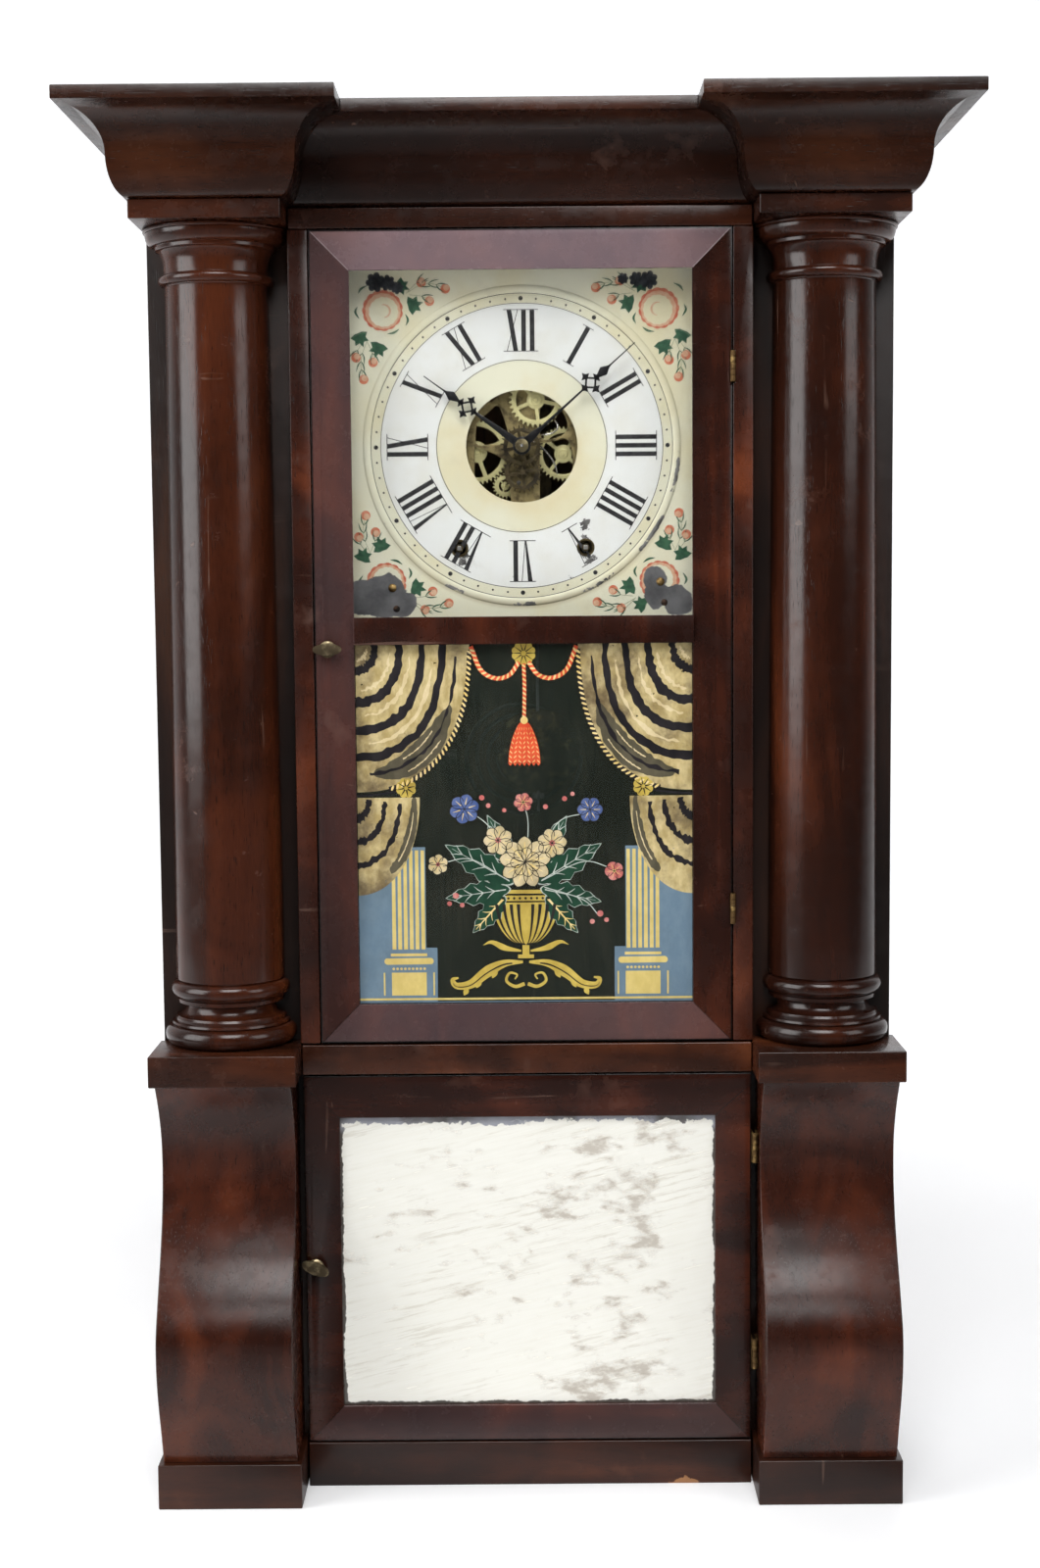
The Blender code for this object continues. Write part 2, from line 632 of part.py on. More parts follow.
def build_scroll(name, middle):
    """A scroll bracket: an S front, hollow above and full below, sawn across its width."""
    curve = bpy.data.curves.new(name, "CURVE")
    curve.dimensions = "2D"
    curve.fill_mode = "BOTH"
    curve.extrude = SCROLL_WIDTH / 2
    curve.resolution_u = 2
    spline = curve.splines.new("BEZIER")
    places = [
        (MOUNTING_PLANE - share * SCROLL_PROJECTION, rise * SCROLL_HEIGHT) for rise, share in SCROLL_FRONT]
    places += [(MOUNTING_PLANE, 0.0), (MOUNTING_PLANE, SCROLL_HEIGHT)]
    spline.bezier_points.add(len(places) - 1)
    last = len(SCROLL_FRONT) - 1
    corners = (0, last, last + 1, last + 2)
    for index, (point, (depth, rise)) in enumerate(zip(spline.bezier_points, places)):
        kind = "VECTOR" if index in corners else "AUTO"
        point.co = (depth, rise, 0.0)
        point.handle_left_type = kind
        point.handle_right_type = kind
    spline.use_cyclic_u = True
    obj = finish_object(bpy.data.objects.new(name, curve), MAHOGANY)
    obj.location = (middle, 0.0, Z_SCROLL)
    obj.rotation_euler = (math.pi / 2, 0.0, math.pi / 2)
    return bake(obj)


def build_column(name, middle):
    """A turned column, split down its middle, with the square abacus left on its top."""
    column = turned(name, column_profile(), (middle, MOUNTING_PLANE, Z_COLUMN), MAHOGANY,
                    steps=COLUMN_SIDES, along_depth=False)
    reach = COLUMN_HEIGHT
    half = ABACUS_WIDTH / 2 + PLINTH_CAP_WIDTH / 2
    cutter = box(f"{name}_split", (middle - half, MOUNTING_PLANE, Z_COLUMN - half),
                 (middle + half, MOUNTING_PLANE + half, Z_COLUMN + reach + half), MAHOGANY, CUTTERS)
    combine(column, cutter, "DIFFERENCE")
    abacus = box(f"{name}_abacus", (middle - ABACUS_WIDTH / 2, BLOCK_FRONT, Z_COLUMN_TOP - GAP),
                 (middle + ABACUS_WIDTH / 2, MOUNTING_PLANE, Z_ABACUS_TOP), MAHOGANY, CUTTERS)
    return combine(column, abacus, "UNION")


def build_cornice_block(name, side):
    """A corner block of the cornice, with its return along the case's side."""
    near = COLUMN_X - CORNICE_BLOCK_WIDTH / 2
    far = COLUMN_X + CORNICE_BLOCK_WIDTH / 2
    left, right = sorted((side * near, side * far))
    front = BLOCK_FRONT
    block = moulded_block(name, left, right, front, CORNICE_BACK, 1, 1, MAHOGANY)
    inside = near - 2 * CORNICE_OVERHANG
    edges = sorted((side * inside, side * (CASE_HALF_WIDTH + GAP)))
    notch = box(f"{name}_notch", (edges[0], MOUNTING_PLANE, Z_CORNICE - CORNICE_HEIGHT),
                (edges[1], CASE_BACK + CORNICE_HEIGHT, Z_TOP + CORNICE_HEIGHT), MAHOGANY, CUTTERS)
    return combine(block, notch, "DIFFERENCE")


def frame_ring(name, half_width, bottom, top, side_member, bottom_member, top_member):
    """A mitred door frame: its section is carried round the four sides."""
    section = (
        (0.0, 0.0, DOOR_FRONT), (0.0, DOOR_FLAT, DOOR_FRONT), (1.0, 0.0, DOOR_FRONT + DOOR_CANT),
        (1.0, 0.0, DOOR_FRONT + DOOR_CANT + SIGHT_LIP),
        (1.0, -REBATE, DOOR_FRONT + DOOR_CANT + SIGHT_LIP),
        (1.0, -REBATE, DOOR_BACK), (0.0, 0.0, DOOR_BACK))
    shape = bmesh.new()
    rings = []
    for share, offset, depth in section:
        across = half_width - share * side_member - offset
        low = bottom + share * bottom_member + offset
        high = top - share * top_member - offset
        corners = ((-across, low), (across, low), (across, high), (-across, high))
        rings.append([shape.verts.new((x, depth, z)) for x, z in corners])
    for index, ring in enumerate(rings):
        following = rings[(index + 1) % len(rings)]
        for corner in range(4):
            after = (corner + 1) % 4
            shape.faces.new((ring[corner], ring[after], following[after], following[corner]))
    return object_from_bmesh(name, shape, MAHOGANY)


def hinge_notches(name, side_low, side_high, heights):
    """Recesses for hinge leaves let into an edge."""
    shape = bmesh.new()
    for height in heights:
        half = HINGE_HEIGHT / 2 + GAP
        add_box(shape, (side_low, DOOR_FRONT - HINGE_RADIUS, height - half),
                (side_high, HINGE_Y + HINGE_LEAF_DEPTH + GAP, height + half))
    return object_from_bmesh(name, shape, MAHOGANY, CUTTERS)


def hinge_leaf(name, pin_x, leaf_low, leaf_high, height, moving):
    """One leaf with its knuckles: bored on the door's side, with the pin riveted in on the case's side."""
    pitch = HINGE_HEIGHT / HINGE_KNUCKLES
    foot = height - HINGE_HEIGHT / 2
    top = foot + HINGE_HEIGHT
    knuckles = bmesh.new()
    room_cutter = bmesh.new()
    for index in range(HINGE_KNUCKLES):
        low = foot + index * pitch
        if (index % 2 == 1) == moving:
            add_rod(knuckles, (pin_x, HINGE_Y, low + GAP / 2), (pin_x, HINGE_Y, low + pitch - GAP / 2),
                    HINGE_RADIUS, 10)
        else:
            room = HINGE_RADIUS + GAP
            add_box(room_cutter, (pin_x - room, HINGE_Y - room, low - GAP / 2),
                    (pin_x + room, HINGE_Y + room, low + pitch + GAP / 2))
    leaf = box(name, (leaf_low, HINGE_Y + GAP, foot), (leaf_high, HINGE_Y + HINGE_LEAF_DEPTH, top), BRASS)
    combine(leaf, object_from_bmesh(f"{name}_knuckles", knuckles, BRASS, CUTTERS), "UNION")
    combine(leaf, object_from_bmesh(f"{name}_room", room_cutter, BRASS, CUTTERS), "DIFFERENCE")
    over = pitch if moving else 0.0
    radius = HINGE_PIN_RADIUS + (GAP if moving else 0.0)
    pin = rods(f"{name}_pin", [((pin_x, HINGE_Y, foot - over), (pin_x, HINGE_Y, top + over), radius)],
               STEEL, CUTTERS, 8)
    return combine(leaf, pin, "DIFFERENCE" if moving else "UNION")


def turn_key(name, centre_x, height, tilt):
    """A turn key: bow, boss, shaft through the door and the latch tongue behind it."""
    boss_front = DOOR_FRONT - GAP - KEY_BOSS_DEPTH
    tongue_back = DOOR_BACK - GAP
    origin = (centre_x, DOOR_FRONT, height)
    key = turned(name, [
        (0.0, boss_front - DOOR_FRONT), (KEY_BOSS_RADIUS * 0.8, boss_front - DOOR_FRONT),
        (KEY_BOSS_RADIUS, boss_front - DOOR_FRONT + KEY_BOSS_DEPTH / 3),
        (KEY_BOSS_RADIUS, -GAP), (KEY_SHAFT_RADIUS, -GAP),
        (KEY_SHAFT_RADIUS, tongue_back - DOOR_FRONT), (0.0, tongue_back - DOOR_FRONT)],
        origin, BRASS, steps=20)
    bow_outline = [
        (across * KEY_BOW_LENGTH, up * KEY_BOW_WIDTH) for across, up in circle(0.5, 20)]
    turned_bow = [
        (x * math.cos(tilt) - y * math.sin(tilt), x * math.sin(tilt) + y * math.cos(tilt))
        for x, y in bow_outline]
    bow_middle = boss_front - KEY_BOW_THICKNESS / 2 + GAP
    bow = plate(f"{name}_bow", [turned_bow], KEY_BOW_THICKNESS, (centre_x, bow_middle, height), BRASS, CUTTERS)
    tongue = box(f"{name}_tongue",
                 (centre_x - TONGUE_WIDTH / 2, tongue_back - TONGUE_THICKNESS, height - TONGUE_LENGTH),
                 (centre_x + TONGUE_WIDTH / 2, tongue_back - GAP / 2, height + TONGUE_WIDTH / 2), BRASS, CUTTERS)
    combine(key, bow, "UNION")
    return combine(key, tongue, "UNION")


def key_cutter(name, centre_x, edge_x, height):
    """The shaft's bore and the latch pocket in the back of a door's stile."""
    shape = bmesh.new()
    pocket_front = DOOR_BACK - TONGUE_POCKET_DEPTH
    add_rod(shape, (centre_x, DOOR_FRONT - DOOR_CANT, height), (centre_x, pocket_front, height),
            KEY_SHAFT_RADIUS + GAP)
    room = 2 * GAP
    add_box(shape, (edge_x - TONGUE_LENGTH, pocket_front, height - TONGUE_LENGTH - 3 * room),
            (centre_x + TONGUE_WIDTH / 2 + 3 * room, DOOR_BACK + room, height + TONGUE_WIDTH / 2 + 3 * room))
    return object_from_bmesh(name, shape, MAHOGANY, CUTTERS)


def keeper_cutter(name, face_x, height):
    """The slot that the latch tongue turns into."""
    return box(name, (face_x - KEEPER_DEPTH, DOOR_BACK - TONGUE_POCKET_DEPTH, height - TONGUE_LENGTH),
               (face_x + KEEPER_DEPTH, DOOR_BACK + TONGUE_POCKET_DEPTH, height + TONGUE_WIDTH), MAHOGANY, CUTTERS)


def build_upper_door():
    """Upper door with its dial glass, painted tablet, hinges and turn key."""
    frame = frame_ring("upper_door_frame", UPPER_DOOR_HALF_WIDTH, UPPER_DOOR_BOTTOM, UPPER_DOOR_TOP,
                       UPPER_SIDE_MEMBER, UPPER_BOTTOM_MEMBER, UPPER_TOP_MEMBER)
    sight = UPPER_DOOR_HALF_WIDTH - UPPER_SIDE_MEMBER
    muntin_top = MUNTIN_BOTTOM + MUNTIN_WIDTH
    rib_low = MUNTIN_BOTTOM + (MUNTIN_WIDTH - MUNTIN_RIB) / 2
    lip_back = DOOR_FRONT + DOOR_CANT + SIGHT_LIP
    muntin = bmesh.new()
    add_box(muntin, (-sight - GAP, DOOR_FRONT + MUNTIN_SET_BACK, MUNTIN_BOTTOM), (sight + GAP, lip_back, muntin_top))
    bar = object_from_bmesh("upper_door_muntin", muntin, MAHOGANY, CUTTERS)
    rib = box("upper_door_muntin_rib", (-sight - REBATE - GAP, lip_back - GAP, rib_low),
              (sight + REBATE + GAP, DOOR_BACK, rib_low + MUNTIN_RIB), MAHOGANY, CUTTERS)
    combine(frame, bar, "UNION")
    combine(frame, rib, "UNION")
    key_x = -(UPPER_DOOR_HALF_WIDTH - UPPER_KEY_INSET)
    combine(frame, key_cutter("upper_key_bore", key_x, -UPPER_DOOR_HALF_WIDTH, UPPER_KEY_HEIGHT), "DIFFERENCE")
    leaf_low = UPPER_DOOR_HALF_WIDTH - HINGE_LEAF
    combine(frame, hinge_notches("upper_door_notches", leaf_low - GAP, UPPER_HINGE_X + GAP,
                                 UPPER_HINGE_HEIGHTS), "DIFFERENCE")
    set_origin(frame, (UPPER_HINGE_X, HINGE_Y, 0.0))
    pane_half = sight + REBATE - GAP
    panes = (
        ("upper_door_glass", rib_low + MUNTIN_RIB + GAP, UPPER_DOOR_TOP - UPPER_TOP_MEMBER + REBATE - GAP, GLASS),
        ("painted_tablet", UPPER_DOOR_BOTTOM + UPPER_BOTTOM_MEMBER - REBATE + GAP, rib_low - GAP, TABLET_PAINT))
    for name, low, high, material in panes:
        pane = box(name, (-pane_half, GLASS_FRONT, low), (pane_half, GLASS_FRONT + GLASS_THICKNESS, high), material)
        set_origin(pane, (UPPER_HINGE_X, HINGE_Y, 0.0))
    for word, height in zip(("top", "bottom"), UPPER_HINGE_HEIGHTS):
        set_origin(hinge_leaf(f"upper_door_{word}_hinge_leaf", UPPER_HINGE_X, leaf_low, UPPER_DOOR_HALF_WIDTH,
                              height, True), (UPPER_HINGE_X, HINGE_Y, 0.0))
    turn_key("upper_turn_key", key_x, UPPER_KEY_HEIGHT, 0.0)
    stile = bpy.data.objects["door_stile_left"]
    combine(stile, keeper_cutter("upper_keeper", -STILE_INNER, UPPER_KEY_HEIGHT), "DIFFERENCE")
    hinge_stile = bpy.data.objects["door_stile_right"]
    combine(hinge_stile, hinge_notches("stile_notches", STILE_INNER - KEEPER_DEPTH,
                                       STILE_INNER + HINGE_LEAF + GAP, UPPER_HINGE_HEIGHTS), "DIFFERENCE")


def build_lower_door():
    """Lower door with its mirror, hinges and turn key."""
    frame = frame_ring("lower_door_frame", LOWER_DOOR_HALF_WIDTH, LOWER_DOOR_BOTTOM, LOWER_DOOR_TOP,
                       LOWER_SIDE_MEMBER, LOWER_BOTTOM_MEMBER, LOWER_TOP_MEMBER)
    key_x = -(LOWER_DOOR_HALF_WIDTH - LOWER_KEY_INSET)
    combine(frame, key_cutter("lower_key_bore", key_x, -LOWER_DOOR_HALF_WIDTH, LOWER_KEY_HEIGHT), "DIFFERENCE")
    set_origin(frame, (LOWER_HINGE_X, HINGE_Y, 0.0))
    half = LOWER_DOOR_HALF_WIDTH - LOWER_SIDE_MEMBER + REBATE - GAP
    low = LOWER_DOOR_BOTTOM + LOWER_BOTTOM_MEMBER - REBATE + GAP
    high = LOWER_DOOR_TOP - LOWER_TOP_MEMBER + REBATE - GAP
    mirror = box("mirror_glass", (-half, GLASS_FRONT, low), (half, GLASS_FRONT + MIRROR_THICKNESS, high), MIRROR)
    set_origin(mirror, (LOWER_HINGE_X, HINGE_Y, 0.0))
    leaf_low = LOWER_DOOR_HALF_WIDTH + GAP
    for word, height in zip(("top", "bottom"), LOWER_HINGE_HEIGHTS):
        set_origin(hinge_leaf(f"lower_door_{word}_hinge_leaf", LOWER_HINGE_X, leaf_low, leaf_low + HINGE_LEAF,
                              height, True), (LOWER_HINGE_X, HINGE_Y, 0.0))
    turn_key("lower_turn_key", key_x, LOWER_KEY_HEIGHT, LOWER_KEY_TILT)
    scroll = bpy.data.objects["scroll_bracket_left"]
    scroll_face = -(COLUMN_X - SCROLL_WIDTH / 2)
    combine(scroll, keeper_cutter("lower_keeper", scroll_face, LOWER_KEY_HEIGHT), "DIFFERENCE")


def build_case_hinges():
    """The fixed leaves, let into the stile above and set against the scroll below."""
    scroll_face = COLUMN_X - SCROLL_WIDTH / 2 - GAP
    for word, upper_height, lower_height in zip(("top", "bottom"), UPPER_HINGE_HEIGHTS, LOWER_HINGE_HEIGHTS):
        hinge_leaf(f"upper_case_{word}_hinge_leaf", UPPER_HINGE_X, STILE_INNER, STILE_INNER + HINGE_LEAF,
                   upper_height, False)
        hinge_leaf(f"lower_case_{word}_hinge_leaf", LOWER_HINGE_X, scroll_face - HINGE_LEAF, scroll_face,
                   lower_height, False)


def hand_outline(length, cross, diamond):
    """Half of a hand's outline, (distance, half width), with a flared cross and a diamond."""
    arm = 0.0052
    half = [
        (0.0078, 0.0018), (cross - arm - 0.001, 0.0012), (cross - arm, 0.0034), (cross - 0.0007, 0.0009),
        (cross - 0.0032, arm + 0.0008), (cross + 0.0032, arm + 0.0008), (cross + 0.0007, 0.0009),
        (cross + arm, 0.0034), (cross + arm + 0.0004, 0.0010), (diamond - 0.003, 0.0010),
        (diamond, 0.0034), (diamond + 0.0036, 0.0011), (length, 0.0003)]
    return half


def build_hand(name, length, cross, diamond, angle, front, hole):
    """A hand, pointing up in its own frame and turned clockwise by its angle."""
    half = hand_outline(length, cross, diamond)
    boss = [(HAND_BOSS_RADIUS * math.sin(a), HAND_BOSS_RADIUS * math.cos(a))
            for a in [math.radians(20 + 20 * step) for step in range(17)]]
    outline = [(width, reach) for reach, width in reversed(half)] + boss
    outline += [(-width, reach) for reach, width in half]
    hand = plate(name, [outline, circle(hole, 12)], HAND_THICKNESS,
                 (0.0, front + HAND_THICKNESS / 2, DIAL_HEIGHT_CENTRE), BLACK_STEEL, turn=(math.pi / 2, angle, 0))
    return hand


def build_dial():
    """Dial plate with its raised ring and its openings, held behind the face boards."""
    shape = bmesh.new()
    add_box(shape, (-DIAL_HALF_WIDTH, DIAL_FRONT, DIAL_HEIGHT_CENTRE - DIAL_HALF_HEIGHT),
            (DIAL_HALF_WIDTH, DIAL_BACK, DIAL_HEIGHT_CENTRE + DIAL_HALF_HEIGHT))
    dial = object_from_bmesh("dial_plate", shape, PAINTED_METAL)
    inner = DIAL_RING_RADIUS - DIAL_RING_WIDTH / 2
    outer = DIAL_RING_RADIUS + DIAL_RING_WIDTH / 2
    ring = plate("dial_ring", [circle(outer, 40), circle(inner, 40)], DIAL_RING_RISE + DIAL_THICKNESS / 2,
                 (0.0, DIAL_FRONT - DIAL_RING_RISE / 2 + DIAL_THICKNESS / 4, DIAL_HEIGHT_CENTRE),
                 PAINTED_METAL, CUTTERS)
    holes = bmesh.new()
    over = DIAL_THICKNESS
    centres = [(0.0, DIAL_HEIGHT_CENTRE, DIAL_OPENING_RADIUS, 32)]
    centres += [(side * WINDING_X, WINDING_HEIGHT, WINDING_HOLE_RADIUS, 16) for side in (-1, 1)]
    for x, z, radius, sides in centres:
        add_rod(holes, (x, DIAL_FRONT - over, z), (x, DIAL_BACK + over, z), radius, sides)
    combine(dial, ring, "UNION")
    combine(dial, object_from_bmesh("dial_holes", holes, PAINTED_METAL, CUTTERS), "DIFFERENCE")


def plate_outlines():
    """The strap plate: a rectangle with four windows, the centre strap wide enough for the train."""
    wide = PLATE_HALF_WIDTH
    strap = PLATE_STRAP
    centre_left = -strap
    centre_right = ESCAPE_X + strap
    bearing_low = WINDING_HEIGHT - strap
    bearing_high = WINDING_HEIGHT + strap
    return [
        rectangle(-wide, wide, PLATE_BOTTOM, PLATE_TOP),
        rectangle(-wide + strap + PILLAR_INSET, centre_left, bearing_high, PLATE_TOP - strap),
        rectangle(centre_right, wide - strap - PILLAR_INSET, bearing_high, PLATE_TOP - strap),
        rectangle(-wide + strap + PILLAR_INSET, centre_left, PLATE_BOTTOM + strap, bearing_low),
        rectangle(centre_right, wide - strap - PILLAR_INSET, PLATE_BOTTOM + strap, bearing_low)]


def pillar_places():
    """The four corners that the pillars stand at."""
    side = PLATE_HALF_WIDTH - PILLAR_INSET
    return [(x, z) for x in (-side, side) for z in (PLATE_BOTTOM + PILLAR_INSET, PLATE_TOP - PILLAR_INSET)]


def build_plates():
    """Front and back plates of the movement, the pillars riveted in the back one."""
    pivots = [
        (0.0, DIAL_HEIGHT_CENTRE, CENTRE_ARBOR_RADIUS), (ESCAPE_X, ESCAPE_HEIGHT, THIN_ARBOR_RADIUS),
        (ESCAPE_X, STAFF_HEIGHT, THIN_ARBOR_RADIUS), (0.0, MINUTE_WHEEL_HEIGHT, THIN_ARBOR_RADIUS),
        (HAMMER_X, HAMMER_HEIGHT, THIN_ARBOR_RADIUS),
        (-WINDING_X, WINDING_HEIGHT, WINDING_ARBOR_RADIUS), (WINDING_X, WINDING_HEIGHT, WINDING_ARBOR_RADIUS)]
    for name, front in (("movement_front_plate", FRONT_PLATE), ("movement_back_plate", BACK_PLATE)):
        middle = front + PLATE_THICKNESS / 2
        body = plate(name, plate_outlines(), PLATE_THICKNESS, (0.0, middle, 0.0), BRASS)
        holes = [((x, front - PLATE_THICKNESS, z), (x, front + 2 * PLATE_THICKNESS, z), radius + GAP)
                 for x, z, radius in pivots]
        combine(body, rods(f"{name}_holes", holes, BRASS, CUTTERS, 10), "DIFFERENCE")
        if front == BACK_PLATE:
            posts = [((x, FRONT_PLATE + PLATE_THICKNESS + GAP, z), (x, INSIDE_BACK, z), PILLAR_RADIUS)
                     for x, z in pillar_places()]
            combine(body, rods("movement_pillars", posts, BRASS, CUTTERS, 10), "UNION")


def wheel(name, outline, windows, thickness, front, centre_x, centre_z, material):
    """A toothed plate kept as an operand for a union."""
    return plate(name, [outline] + windows, thickness, (centre_x, front + thickness / 2, centre_z),
                 material, CUTTERS)


def arbor(name, sections, centre_x, centre_z, material, steps=14):
    """A stepped arbor along the depth: (radius, front, back) from front to back."""
    profile = [(0.0, sections[0][1])]
    for radius, front, back in sections:
        profile += [(radius, front), (radius, back)]
    profile.append((0.0, sections[-1][2]))
    return turned(name, profile, (centre_x, 0.0, centre_z), material, steps=steps)


def build_motion_work():
    """Centre arbor, minute wheel, hour wheel with its pipe, and the hands."""
    cannon_front = MINUTE_WHEEL_FRONT - GAP
    cannon_back = MINUTE_WHEEL_FRONT + MOTION_WHEEL_THICKNESS + GAP
    cannon_radius = MOTION_MODULE * CANNON_LEAVES / 2
    collet_back = MINUTE_HAND_FRONT - GAP
    centre = arbor("centre_arbor", [
        (COLLET_RADIUS, collet_back - 0.0014, collet_back),
        (CENTRE_ARBOR_RADIUS, collet_back, ARBOR_END)], 0.0, DIAL_HEIGHT_CENTRE, STEEL)
    up = math.pi / 2
    reach = 0.75 * MOTION_MODULE
    depth = 1.1 * MOTION_MODULE
    leaves = gear_outline(CANNON_LEAVES, cannon_radius, reach, depth, -up)
    combine(centre, wheel("cannon_pinion", leaves, [], cannon_back - cannon_front, cannon_front,
                          0.0, DIAL_HEIGHT_CENTRE, STEEL), "UNION")
    minute_radius = MOTION_MODULE * MINUTE_WHEEL_TEETH / 2
    teeth = gear_outline(MINUTE_WHEEL_TEETH, minute_radius, reach, depth, up + math.pi / MINUTE_WHEEL_TEETH)
    windows = crossing_outlines(4, 0.004, 0.0085, 0.002)
    pinion_front = HOUR_WHEEL_FRONT - GAP
    minute = arbor("minute_wheel", [
        (THIN_ARBOR_RADIUS, pinion_front, FRONT_PLATE + PLATE_THICKNESS + GAP)], 0.0, MINUTE_WHEEL_HEIGHT, BRASS)
    combine(minute, wheel("minute_wheel_rim", teeth, windows, MOTION_WHEEL_THICKNESS, MINUTE_WHEEL_FRONT,
                          0.0, MINUTE_WHEEL_HEIGHT, BRASS), "UNION")
    pinion_radius = SECOND_MODULE * MINUTE_PINION_LEAVES / 2
    pinion = gear_outline(MINUTE_PINION_LEAVES, pinion_radius, reach, depth, up)
    combine(minute, wheel("minute_pinion", pinion, [], MOTION_WHEEL_THICKNESS + 2 * GAP, pinion_front,
                          0.0, MINUTE_WHEEL_HEIGHT, BRASS), "UNION")
    hour_radius = SECOND_MODULE * HOUR_WHEEL_TEETH / 2
    teeth = gear_outline(HOUR_WHEEL_TEETH, hour_radius, reach, depth, -up + math.pi / HOUR_WHEEL_TEETH)
    bore = CENTRE_ARBOR_RADIUS + GAP
    pipe_back = HOUR_WHEEL_FRONT + MOTION_WHEEL_THICKNESS
    pipe_front = HOUR_HAND_FRONT - GAP
    pipe = turned("hour_wheel", [
        (bore, pipe_front), (HOUR_PIPE_RADIUS, pipe_front), (HOUR_PIPE_RADIUS, pipe_back),
        (bore, pipe_back), (bore, pipe_front)], (0.0, 0.0, DIAL_HEIGHT_CENTRE), BRASS, steps=14)
    rim_windows = [circle(HOUR_PIPE_RADIUS - GAP, 14)] + crossing_outlines(4, 0.0052, 0.0095, 0.002)
    combine(pipe, wheel("hour_wheel_rim", teeth, rim_windows, MOTION_WHEEL_THICKNESS, HOUR_WHEEL_FRONT,
                        0.0, DIAL_HEIGHT_CENTRE, BRASS), "UNION")
    build_hand("minute_hand", MINUTE_HAND_LENGTH, MINUTE_CROSS, MINUTE_DIAMOND, MINUTE_HAND_ANGLE,
               MINUTE_HAND_FRONT, CENTRE_ARBOR_RADIUS + GAP)
    build_hand("hour_hand", HOUR_HAND_LENGTH, HOUR_CROSS, HOUR_DIAMOND, HOUR_HAND_ANGLE,
               HOUR_HAND_FRONT, HOUR_PIPE_RADIUS + GAP)


